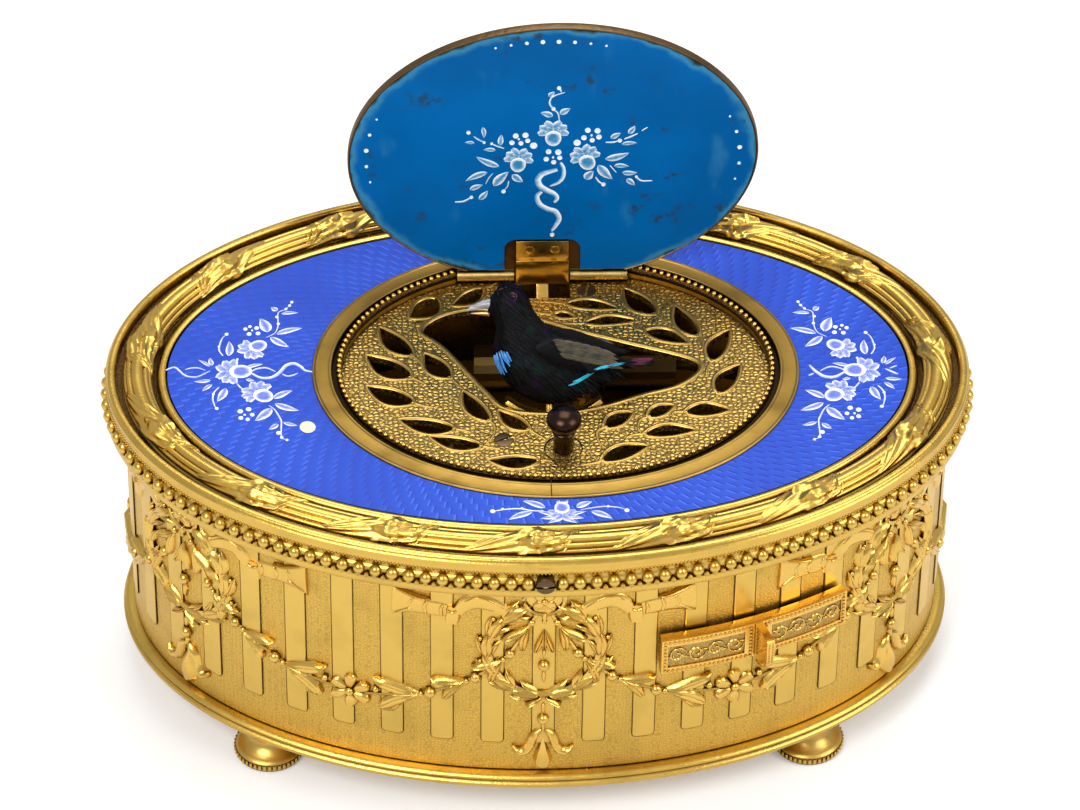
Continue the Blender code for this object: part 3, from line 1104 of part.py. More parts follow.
def make_train(brass, steel):
    """Build the cam stack, the two wheels, the governor and the bridge over them."""
    foot_z = MOVE_PLATE_Z + 0.3 * MM
    bridge_top = TRAIN_BRIDGE_Z + TRAIN_BRIDGE_THICK
    tip_z = bridge_top - SLIP
    great_top = GREAT_WHEEL_Z + WHEEL_THICK
    hub = 2.2 * MM
    shaft = [(ARBOR_R, foot_z), (ARBOR_R, GREAT_WHEEL_Z - 0.4 * MM),
             (hub, GREAT_WHEEL_Z - 0.4 * MM), (hub, CAM_WHEEL_Z - SLIP),
             (ARBOR_R, CAM_WHEEL_Z - SLIP), (ARBOR_R, tip_z)]
    stack = turned("cam_stack", shaft, brass, CAM_SPOT, steps=12)
    phase = mesh_phase(CAM_TEETH, GREAT_TEETH, CAM_DIRECTION)
    parts = [gear("cam_pinion", CAM_TEETH, GREAT_WHEEL_Z, great_top, CAM_SPOT, None, phase)]
    cams = ((5.4, 0.7, 3, 0.8), (5.2, 0.8, 5, 2.5), (5.5, 0.5, 2, 4.2))
    for size, lift, lobes, rise in cams:
        parts.append(cam("cam", size * MM, lift * MM, lobes, great_top + rise * MM,
                         great_top + (rise + 0.9) * MM))
    join(stack, *parts)
    big, drill = wheel("cam_wheel", CAM_WHEEL_TEETH, CAM_WHEEL_Z, CAM_SPOT, ARBOR_R + SLIP, brass)
    hang(axis("cam_axis", CAM_SPOT), CAM_SPOT, stack, *parts, big, drill)

    pinion_z = CAM_WHEEL_Z - 0.3 * MM
    arbor = rod("fan_pinion", ARBOR_R, foot_z, tip_z, FAN_SPOT, steel, steps=12)
    leaves = gear("fan_leaves", SMALL_TEETH, pinion_z, pinion_z + WHEEL_THICK + 0.6 * MM, FAN_SPOT,
                  None, mesh_phase(SMALL_TEETH, CAM_WHEEL_TEETH, FAN_DIRECTION))
    join(arbor, leaves)
    disc, drill = wheel("fan_wheel", FAN_WHEEL_TEETH, FAN_WHEEL_Z, FAN_SPOT, ARBOR_R + SLIP, brass)
    hang(axis("fan_axis", FAN_SPOT), FAN_SPOT, arbor, leaves, disc, drill)

    pinion_z = FAN_WHEEL_Z - 0.3 * MM
    governor = rod("governor_fan", ARBOR_R, foot_z, tip_z, GOVERNOR_SPOT, steel, steps=12)
    leaves = gear("governor_leaves", SMALL_TEETH, pinion_z, pinion_z + WHEEL_THICK + 0.6 * MM,
                  GOVERNOR_SPOT, None, mesh_phase(SMALL_TEETH, FAN_WHEEL_TEETH, GOVERNOR_DIRECTION))
    vane = box("vane", (-VANE_REACH, -0.4 * MM, MOVE_TOP_Z + 1.5 * MM),
               (VANE_REACH, 0.4 * MM, pinion_z - 1.2 * MM))
    vane.data.transform(Matrix.Translation(GOVERNOR_SPOT) @ Matrix.Rotation(VANE_TURN, 4, "Z"))
    join(governor, leaves, vane)
    hang(axis("governor_axis", GOVERNOR_SPOT), GOVERNOR_SPOT, governor, leaves, vane)

    left, right = Vector((LEFT_FOOT_X, -SIDE_Y)), Vector((RIGHT_FOOT_X, RIGHT_FOOT_Y))
    path = [(left.x, left.y), (CAM_SPOT.x, CAM_SPOT.y), (FAN_SPOT.x, FAN_SPOT.y),
            (GOVERNOR_SPOT.x, GOVERNOR_SPOT.y), (right.x, right.y)]
    bridge = prism("train_bridge", strap(path, 4.6 * MM), TRAIN_BRIDGE_Z, bridge_top, brass)
    pad = rod("pillar_pad", GRILLE_PILLAR_R + 0.6 * MM, TRAIN_BRIDGE_Z, bridge_top,
              GRILLE_SCREWS[0][1])
    join(bridge, pad, *(rod("leg", FOOT_R, MOVE_TOP_Z + SLIP, TRAIN_BRIDGE_Z + 0.4 * MM, spot,
                            steps=12) for spot in (left, right)))
    cut(bridge, merge_shapes("bridge_holes", [
        rod("hole", ARBOR_R + ARBOR_PLAY, TRAIN_BRIDGE_Z - 1 * MM, bridge_top + 1 * MM, spot)
        for spot in (CAM_SPOT, FAN_SPOT, GOVERNOR_SPOT)]))


def make_sound(brass, leather, wood, steel):
    """Build the bellows under the plate and the whistle with its piston over it."""
    top = MOVE_PLATE_Z - SEAM
    low = top - BELLOWS_BOARD
    x0, x1 = BELLOWS_HINGE_X - BELLOWS_LENGTH, BELLOWS_HINGE_X
    half = BELLOWS_WIDTH / 2
    corner = 3.0 * MM

    def board_outline(inset):
        return [(x0 + corner, -half + inset), (x1 - inset, -half + inset), (x1 - inset, half - inset),
                (x0 + corner, half - inset), (x0 + inset, half - corner), (x0 + inset, corner - half)]

    prism("bellows_board", board_outline(0.0), low, top, wood)
    hinge = Vector((BELLOWS_HINGE_X, 0.0, low - SLIP))
    pump_axis = axis("bellows_axis", hinge)
    pump_axis.rotation_euler = (0.0, -BELLOWS_OPEN, 0.0)
    pump = prism("bellows_pump_board", board_outline(0.0), hinge.z - BELLOWS_BOARD - 0.3 * MM,
                 hinge.z - 0.3 * MM, wood)
    hang(pump_axis, hinge, pump)
    rings = []
    folds = 6
    for step in range(folds + 1):
        turn = -BELLOWS_OPEN * (0.04 + 0.9 * step / folds)
        inset = 1.4 * MM if step % 2 else 2.6 * MM
        ring = []
        for x, y in board_outline(inset):
            away = x - hinge.x - 2.5 * MM
            ring.append(Vector((hinge.x + away * math.cos(turn), y,
                                hinge.z - SLIP - away * math.sin(turn))))
        rings.append(ring)
    skin("bellows_leather", rings, leather)

    spot = Vector((WHISTLE_X, SIDE_Y, MOVE_TOP_Z + SEAM + WHISTLE_R))
    bore = WHISTLE_BORE
    tube = turned("whistle_tube", [(bore, 0.0), (WHISTLE_R, 0.0), (WHISTLE_R, WHISTLE_LENGTH),
                                   (bore, WHISTLE_LENGTH)], brass, hollow=True, steps=16)
    lay_along_x(tube, spot)
    cut(tube, box("whistle_mouth", (spot.x + 3 * MM, spot.y - 1.5 * MM, spot.z + bore - 0.4 * MM),
                  (spot.x + 5.5 * MM, spot.y + 1.5 * MM, spot.z + WHISTLE_R + 1 * MM)))
    head = spot.x + WHISTLE_LENGTH * 0.65
    fit = bore - ARBOR_PLAY
    stem = fit / 3
    crown = PISTON_REACH / 5
    piston = turned("whistle_piston", [(fit, 0.0), (fit, crown), (stem, crown),
                                       (stem, PISTON_REACH * 0.95), (stem * 2, PISTON_REACH * 0.95),
                                       (stem * 2, PISTON_REACH)], steel)
    head_spot = (head, spot.y, spot.z)
    lay_along_x(piston, head_spot)
    hang(axis("piston_axis", head_spot), head_spot, piston)


def main():
    """Clear the scene and build the whole box."""
    for item in list(bpy.data.objects):
        bpy.data.objects.remove(item)
    gilt = finish("gilt", (0.80, 0.56, 0.20), 0.32, 1.0)
    brass = finish("brass", (0.72, 0.55, 0.25), 0.38, 1.0)
    steel = finish("steel", (0.33, 0.31, 0.29), 0.35, 1.0)
    bronze = finish("dark_bronze", (0.09, 0.05, 0.035), 0.3, 1.0)
    blue = finish("blue_enamel", (0.05, 0.10, 0.60), 0.12, 0.0)
    sky = finish("sky_enamel", (0.05, 0.28, 0.52), 0.2, 0.0)
    feather = finish("black_feather", (0.015, 0.016, 0.02), 0.5, 0.0)
    horn = finish("pale_horn", (0.55, 0.55, 0.60), 0.35, 0.0)
    beak_gold = finish("beak_gold", (0.60, 0.42, 0.16), 0.35, 1.0)
    leather = finish("white_leather", (0.62, 0.55, 0.45), 0.75, 0.0)
    wood = finish("boxwood", (0.48, 0.30, 0.14), 0.55, 0.0)
    make_case(gilt, steel)
    make_deck(gilt, blue, steel)
    make_lid(gilt, blue, sky, steel)
    make_bird(feather, beak_gold, horn, gilt, steel)
    make_post(bronze, gilt)
    stop_pivot = make_slide(gilt, steel)
    make_movement(stop_pivot, brass, steel)
    make_sound(brass, leather, wood, steel)


main()
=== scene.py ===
"""Looks of the oval gilt singing bird box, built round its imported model.

Lengths are in millimetres inside the classes and become metres when a piece is built.
"""

import json
import logging
import math
import random
from dataclasses import dataclass, replace
from enum import Enum
from typing import Callable, Optional, Sequence

import bmesh
import bpy
from mathutils import Matrix, Vector

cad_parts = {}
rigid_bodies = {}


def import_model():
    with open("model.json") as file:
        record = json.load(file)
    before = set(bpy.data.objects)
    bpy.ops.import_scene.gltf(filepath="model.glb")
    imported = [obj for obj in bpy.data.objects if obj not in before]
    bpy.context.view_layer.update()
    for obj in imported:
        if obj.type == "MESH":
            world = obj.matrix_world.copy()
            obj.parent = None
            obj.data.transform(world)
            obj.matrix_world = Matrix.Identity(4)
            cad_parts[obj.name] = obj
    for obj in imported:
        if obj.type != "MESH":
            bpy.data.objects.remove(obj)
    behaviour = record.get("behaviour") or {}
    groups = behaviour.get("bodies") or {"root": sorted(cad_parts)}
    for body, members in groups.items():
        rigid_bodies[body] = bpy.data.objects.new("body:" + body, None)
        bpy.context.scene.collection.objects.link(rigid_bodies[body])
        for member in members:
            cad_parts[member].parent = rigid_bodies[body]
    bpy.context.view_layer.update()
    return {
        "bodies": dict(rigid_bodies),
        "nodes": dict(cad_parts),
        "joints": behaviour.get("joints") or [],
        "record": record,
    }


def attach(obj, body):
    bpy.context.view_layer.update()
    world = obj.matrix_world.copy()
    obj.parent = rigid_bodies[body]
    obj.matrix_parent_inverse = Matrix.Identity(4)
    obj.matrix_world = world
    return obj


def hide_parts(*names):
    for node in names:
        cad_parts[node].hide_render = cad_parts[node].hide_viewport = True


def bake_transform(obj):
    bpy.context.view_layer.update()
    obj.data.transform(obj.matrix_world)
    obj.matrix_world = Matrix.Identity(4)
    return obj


LOG = logging.getLogger("bird_box")
MM = 0.001
# Degrees over which an edge stays sharp: on modelled, carved, softened and finely worked pieces.
MODELLED_DEG, CARVED_DEG, SOFTENED_DEG, FINE_DEG = 40.0, 35.0, 38.0, 60.0
OVAL_STEPS, WALL_STEPS, DECK_STEPS = 720, 288, 240
Colour = tuple[float, float, float]
Place = Callable[[float, float, float], Vector]
Socket = bpy.types.NodeSocket


class Grain(Enum):
    """How a metal surface is worked."""

    PLAIN = "plain"
    STIPPLED = "stippled"
    MATTED = "matted"
    CHASED = "chased"
    BRUSHED = "brushed"


class Draft:
    """A node tree being drawn, with short names for the nodes used most."""

    def __init__(self, tree: bpy.types.NodeTree) -> None:
        """Keep the tree."""
        self.tree = tree

    def node(self, kind: str, **settings: object) -> bpy.types.Node:
        """Add a node.

        Args:
            kind: Blender's name of the node type.
            settings: properties of the node.

        Returns:
            The new node.
        """
        made = self.tree.nodes.new(kind)
        for key, value in settings.items():
            setattr(made, key, value)
        return made

    def feed(self, socket: Socket, value: object) -> None:
        """Link a socket to another, or set its value.

        Args:
            socket: the input socket.
            value: an output socket, a number, a colour or a data block.
        """
        if isinstance(value, bpy.types.NodeSocket):
            self.tree.links.new(value, socket)
        elif isinstance(value, tuple) and len(value) == 3 and socket.type == "RGBA":
            socket.default_value = (*value, 1.0)
        else:
            socket.default_value = value

    def math(self, operation: str, *values: object) -> Socket:
        """Add a Math node.

        Args:
            operation: Blender's name of the operation.
            values: its inputs in order, numbers or sockets.

        Returns:
            The node's result.
        """
        made = self.node("ShaderNodeMath", operation=operation)
        for socket, value in zip(made.inputs, values):
            self.feed(socket, value)
        return made.outputs[0]

    def hypot(self, u: Socket, v: Socket) -> Socket:
        """Return the length of a vector with two parts."""
        squares = self.math("ADD", self.math("MULTIPLY", u, u), self.math("MULTIPLY", v, v))
        return self.math("SQRT", squares)

    def mix(self, share: object, first: object, second: object) -> Socket:
        """Mix two colours.

        Args:
            share: 0 for all of the first, 1 for all of the second.
            first: a colour or a socket.
            second: a colour or a socket.

        Returns:
            The mixed colour.
        """
        made = self.node("ShaderNodeMix", data_type="RGBA")
        self.feed(made.inputs["Factor"], share)
        self.feed(made.inputs[6], first)
        self.feed(made.inputs[7], second)
        return made.outputs[2]

    def ramp(self, value: object, low: float, high: float) -> Socket:
        """Spread a value over a smooth slope.

        Args:
            value: the value to spread.
            low: where the slope starts.
            high: where it ends.

        Returns:
            0 below low, 1 above high and a smooth rise between.
        """
        made = self.node("ShaderNodeMapRange", interpolation_type="SMOOTHSTEP")
        for name, given in (("Value", value), ("From Min", low), ("From Max", high)):
            self.feed(made.inputs[name], given)
        return made.outputs["Result"]

    def place(self) -> Socket:
        """Read where a spot lies on its object.

        Returns:
            The object coordinates in millimetres.
        """
        coordinates = self.node("ShaderNodeTexCoord").outputs["Object"]
        scaled = self.node("ShaderNodeVectorMath", operation="SCALE")
        self.feed(scaled.inputs[0], coordinates)
        self.feed(scaled.inputs["Scale"], 1 / MM)
        return scaled.outputs[0]

    def stretched(self, vector: Socket, factors: Sequence[float]) -> Socket:
        """Stretch a vector axis by axis.

        Args:
            vector: the vector.
            factors: one factor for each axis.

        Returns:
            The stretched vector.
        """
        made = self.node("ShaderNodeVectorMath", operation="MULTIPLY")
        self.feed(made.inputs[0], vector)
        made.inputs[1].default_value = factors
        return made.outputs[0]

    def noise(self, vector: Socket, scale: float, detail: float = 3.0) -> Socket:
        """Add a cloudy noise.

        Args:
            vector: where it is read.
            scale: its cycles per millimetre.
            detail: how many finer layers it has.

        Returns:
            The noise, from 0 to 1.
        """
        made = self.node("ShaderNodeTexNoise")
        self.feed(made.inputs["Vector"], vector)
        made.inputs["Scale"].default_value = scale
        made.inputs["Detail"].default_value = detail
        return made.outputs["Fac"]

    def cells(self, vector: Socket, scale: float) -> Socket:
        """Add pebble-like cells.

        Args:
            vector: where they are read.
            scale: cells per millimetre.

        Returns:
            The distance to the nearest border between cells.
        """
        made = self.node("ShaderNodeTexVoronoi", feature="DISTANCE_TO_EDGE")
        self.feed(made.inputs["Vector"], vector)
        made.inputs["Scale"].default_value = scale
        made.inputs["Randomness"].default_value = 0.7
        return made.outputs["Distance"]

    def shelter(self, distance_mm: float) -> Socket:
        """Measure how sheltered a spot is.

        Args:
            distance_mm: how far it looks round, in millimetres.

        Returns:
            0 in a deep recess, 1 in the open.
        """
        made = self.node("ShaderNodeAmbientOcclusion", samples=6)
        made.inputs["Distance"].default_value = distance_mm * MM
        return made.outputs["AO"]

    def bump(self, height: Socket, depth_mm: float, strength: float = 1.0) -> Socket:
        """Turn a height into a bump.

        Args:
            height: a height between 0 and 1.
            depth_mm: how deep the full height is, in millimetres.
            strength: how much of it is felt, from 0 to 1.

        Returns:
            The bumped normal.
        """
        made = self.node("ShaderNodeBump")
        made.inputs["Strength"].default_value = strength
        made.inputs["Distance"].default_value = depth_mm * MM
        self.feed(made.inputs["Height"], height)
        return made.outputs["Normal"]

    def tint(self, name: str) -> Socket:
        """Return a piece's own number, stored on its points."""
        return self.node("ShaderNodeAttribute", attribute_name=name).outputs["Fac"]


@dataclass(frozen=True)
class Finish:
    """A finish that turns into one material."""

    name: str
    colour: Colour
    roughness: float = 0.4
    metallic: float = 0.0
    coat: float = 0.0

    def material(self) -> bpy.types.Material:
        """Give the finish's material, made the first time it is asked for.

        Returns:
            The material, the same one for every piece in this finish.
        """
        made = bpy.data.materials.get(self.name)
        if made:
            return made
        made = bpy.data.materials.new(self.name)
        made.use_nodes = True
        made.diffuse_color = (*self.colour, 1.0)
        shader = made.node_tree.nodes["Principled BSDF"]
        shader.inputs["Base Color"].default_value = (*self.colour, 1.0)
        shader.inputs["Roughness"].default_value = self.roughness
        shader.inputs["Metallic"].default_value = self.metallic
        shader.inputs["Coat Weight"].default_value = self.coat
        shader.inputs["Coat Roughness"].default_value = 0.06
        self.draw(Draft(made.node_tree), shader)
        return made

    def draw(self, draft: Draft, shader: bpy.types.Node) -> None:
        """Add the pattern, wear and bump of this finish."""


@dataclass(frozen=True)
class Metal(Finish):
    """Gilt, brass, bronze or steel, with painted shade and dirt where it lies sheltered."""

    recess: Colour = (0.10, 0.055, 0.015)
    grain: Grain = Grain.PLAIN
    grain_mm: float = 0.3
    depth_mm: float = 0.03
    shelter_mm: float = 0.9
    tarnish: float = 0.35
    faded: float = 0.62
    metallic: float = 1.0

    def draw(self, draft: Draft, shader: bpy.types.Node) -> None:
        """Add painted shade and dirt in the recesses, a cloudy tarnish and the worked grain.

        Args:
            draft: the material's node tree.
            shader: its Principled BSDF node.
        """
        place = draft.place()
        cloud = draft.noise(place, 0.16, 5.0)
        # Painted shade and dirt: the recess colour fills whatever the ambient occlusion finds sheltered.
        open_share = draft.ramp(draft.shelter(self.shelter_mm), 0.22, 0.8)
        worn = draft.mix(draft.math("MULTIPLY", draft.ramp(cloud, 0.48, 0.75), self.tarnish),
                         self.colour, tuple(c * self.faded for c in self.colour))
        body = draft.mix(open_share, self.recess, worn)
        if self.grain in (Grain.STIPPLED, Grain.MATTED):
            pebble = draft.cells(place, 1 / self.grain_mm)
            height = draft.ramp(pebble, 0.0, 0.42)
            open_top = draft.ramp(pebble, 0.0, 0.15)
            share = 0.85 if self.grain is Grain.MATTED else 0.4
            # Painted shade in the hollows between the grain's pebbles.
            body = draft.mix(draft.math("MULTIPLY_ADD", open_top, share, 1 - share), self.recess, body)
        elif self.grain is Grain.BRUSHED:
            height = draft.noise(draft.stretched(place, (0.4, 0.4, 7.0)), 1.2, 2.0)
        elif self.grain is Grain.CHASED:
            height = draft.noise(place, 1.1, 4.0)
        else:
            height = draft.noise(place, 2.6, 2.0)
        draft.feed(shader.inputs["Base Color"], body)
        rough = draft.math("MULTIPLY_ADD", draft.noise(place, 0.5, 4.0), 0.22, self.roughness - 0.11)
        draft.feed(shader.inputs["Roughness"], rough)
        draft.feed(shader.inputs["Normal"], draft.bump(height, self.depth_mm))


@dataclass(frozen=True)
class Guilloche(Finish):
    """Blue enamel over engine turning: rounds of staggered cells of fine lines that follow an oval."""

    deep: Colour = (0.010, 0.030, 0.34)
    half: tuple[float, float] = (49.25, 29.75)
    middle: tuple[float, float] = (0.0, 0.0)
    upright: bool = False
    cells: int = 108
    row_mm: float = 1.12
    lines: int = 6

    def draw(self, draft: Draft, shader: bpy.types.Node) -> None:
        """Find how far round and how deep a spot lies, then shade its cell.

        Args:
            draft: the material's node tree.
            shader: its Principled BSDF node.
        """
        (a, b), (x0, y0) = self.half, self.middle
        parts = draft.node("ShaderNodeSeparateXYZ")
        draft.feed(parts.inputs[0], draft.place())
        u = draft.math("DIVIDE", draft.math("SUBTRACT", parts.outputs["X"], x0), a)
        v = draft.math("DIVIDE", draft.math("SUBTRACT", parts.outputs["Z" if self.upright else "Y"], y0), b)
        reach = draft.hypot(u, v)
        steep = draft.hypot(draft.math("DIVIDE", u, a), draft.math("DIVIDE", v, b))
        deep = draft.math("DIVIDE", draft.math("MULTIPLY", reach, draft.math("SUBTRACT", 1.0, reach)), steep)
        turn = draft.math("ARCTAN2", v, u)
        bend = draft.math("MULTIPLY", draft.math("SINE", draft.math("MULTIPLY", turn, 2.0)),
                          (b - a) / (4 * math.pi * (a + b)))
        level = draft.math("DIVIDE", deep, self.row_mm)
        row = draft.math("FLOOR", level)
        up = draft.math("FRACT", level)
        round_share = draft.math("ADD", draft.math("DIVIDE", turn, 2 * math.pi), bend)
        stagger = draft.math("MULTIPLY", draft.math("MODULO", row, 2.0), 0.5)
        across = draft.math("MULTIPLY_ADD", round_share, float(self.cells), stagger)
        within = draft.math("FRACT", draft.math("MULTIPLY_ADD", up, 0.14, across))
        strokes = draft.math("SINE", draft.math("MULTIPLY", draft.math("MULTIPLY_ADD", within, 0.12, up),
                                                2 * math.pi * self.lines))
        start, finish = draft.ramp(within, 0.0, 0.14), draft.ramp(within, 0.80, 0.99)
        shade = draft.math("MULTIPLY_ADD", start, 0.40, draft.math("MULTIPLY", within, 0.20))
        shade = draft.math("MULTIPLY_ADD", strokes, 0.16, shade)
        cloud = draft.noise(draft.place(), 0.045, 3.0)
        shade = draft.math("ADD", shade, draft.math("MULTIPLY_ADD", cloud, 0.55, -0.20))
        body = draft.mix(draft.ramp(shade, 0.0, 0.95), self.deep, self.colour)
        pale = tuple(min(1.0, c * 1.35 + 0.045) for c in self.colour)
        glint = draft.math("MULTIPLY", finish, draft.ramp(cloud, 0.38, 0.62))
        body = draft.mix(draft.math("MULTIPLY", glint, 0.8), body, pale)
        # Painted shade and grime: the enamel darkens where the ring and the frame shelter it.
        near = draft.ramp(draft.shelter(2.4), 0.3, 0.85)
        body = draft.mix(near, tuple(c * 0.2 for c in self.deep), body)
        draft.feed(shader.inputs["Base Color"], body)
        shader.inputs["Specular IOR Level"].default_value = 0.3
        height = draft.math("MULTIPLY_ADD", strokes, 0.12, draft.math("SUBTRACT", within, start))
        draft.feed(shader.inputs["Normal"], draft.bump(height, 0.03, 0.5))


@dataclass(frozen=True)
class SkyEnamel(Finish):
    """The lid's plain enamel, paler and stained towards the number edge at its rim."""

    pale: Colour = (0.10, 0.42, 0.55)
    stain: Colour = (0.02, 0.035, 0.03)

    def draw(self, draft: Draft, shader: bpy.types.Node) -> None:
        """Blend cloudy blues, a paler rim and dark stains.

        Args:
            draft: the material's node tree.
            shader: its Principled BSDF node.
        """
        place = draft.place()
        edge = draft.tint("edge")
        cloud = draft.noise(place, 0.07, 4.0)
        body = draft.mix(draft.ramp(cloud, 0.3, 0.75), tuple(c * 0.78 for c in self.colour), self.colour)
        uneven = draft.math("MULTIPLY_ADD", draft.noise(place, 0.22, 5.0), 0.16, -0.08)
        rim = draft.math("ADD", edge, uneven)
        body = draft.mix(draft.math("MULTIPLY", draft.ramp(rim, 0.945, 1.01), 0.5), body, self.pale)
        patch = draft.ramp(draft.noise(draft.stretched(place, (0.7, 1.0, 1.2)), 0.14, 3.0), 0.50, 0.66)
        spots = draft.ramp(draft.noise(place, 0.62, 6.0), 0.54, 0.66)
        body = draft.mix(draft.math("MULTIPLY", draft.math("MULTIPLY", patch, spots), 0.75), body, self.stain)
        milky = draft.ramp(draft.noise(draft.stretched(place, (1.6, 1.0, 0.7)), 0.11, 4.0), 0.60, 0.78)
        body = draft.mix(draft.math("MULTIPLY", milky, 0.22), body, self.pale)
        body = draft.mix(draft.ramp(rim, 0.985, 1.02), body, self.stain)
        draft.feed(shader.inputs["Base Color"], body)
        shader.inputs["Specular IOR Level"].default_value = 0.05
        height = draft.noise(place, 0.2, 2.0)
        draft.feed(shader.inputs["Normal"], draft.bump(height, 0.12, 0.5))


@dataclass(frozen=True)
class EnamelPaint(Finish):
    """White painted flowers, thin over the blue where the number paint is low."""

    under: Colour = (0.10, 0.16, 0.72)

    def draw(self, draft: Draft, shader: bpy.types.Node) -> None:
        """Let the enamel show through thin strokes.

        Args:
            draft: the material's node tree.
            shader: its Principled BSDF node.
        """
        streak = draft.noise(draft.stretched(draft.place(), (1.0, 1.6, 1.0)), 1.9, 3.0)
        paint = draft.math("ADD", draft.tint("paint"), draft.math("MULTIPLY_ADD", streak, 0.5, -0.25))
        body = draft.mix(draft.ramp(paint, 0.05, 0.85), self.under, self.colour)
        draft.feed(shader.inputs["Base Color"], body)


@dataclass(frozen=True)
class Plumage(Finish):
    """Black feathers with a faint green and violet gloss."""

    gloss: Colour = (0.002, 0.012, 0.008)
    violet: Colour = (0.012, 0.003, 0.020)
    sheen: Colour = (0.014, 0.014, 0.016)

    def draw(self, draft: Draft, shader: bpy.types.Node) -> None:
        """Streak the black with patches of colour.

        Args:
            draft: the material's node tree.
            shader: its Principled BSDF node.
        """
        place = draft.place()
        green = draft.ramp(draft.noise(place, 0.42, 4.0), 0.55, 0.72)
        purple = draft.ramp(draft.noise(draft.stretched(place, (1.3, 0.7, 1.0)), 0.37, 4.0), 0.57, 0.74)
        body = draft.mix(green, self.colour, self.gloss)
        body = draft.mix(purple, body, self.violet)
        barbs = draft.noise(draft.stretched(place, (1.0, 1.0, 2.4)), 3.2, 3.0)
        body = draft.mix(draft.math("MULTIPLY", draft.ramp(barbs, 0.6, 0.8), 0.5), body, self.sheen)
        draft.feed(shader.inputs["Base Color"], body)
        shader.inputs["Specular IOR Level"].default_value = 0.10
        draft.feed(shader.inputs["Normal"], draft.bump(barbs, 0.10, 0.6))


@dataclass(frozen=True)
class Grained(Finish):
    """A natural stuff, such as wood, leather or horn, streaked along one axis."""

    streak: Colour = (0.2, 0.1, 0.05)
    along: tuple[float, float, float] = (0.2, 1.6, 1.6)
    depth_mm: float = 0.05

    def draw(self, draft: Draft, shader: bpy.types.Node) -> None:
        """Streak the colour and raise the grain.

        Args:
            draft: the material's node tree.
            shader: its Principled BSDF node.
        """
        grain = draft.noise(draft.stretched(draft.place(), self.along), 1.0, 5.0)
        body = draft.mix(draft.ramp(grain, 0.35, 0.75), self.colour, self.streak)
        draft.feed(shader.inputs["Base Color"], body)
        draft.feed(shader.inputs["Normal"], draft.bump(grain, self.depth_mm))


GOLD, DEEP_GOLD = (0.70, 0.455, 0.095), (0.085, 0.042, 0.010)
COBALT_BLUE = (0.017, 0.088, 0.625)


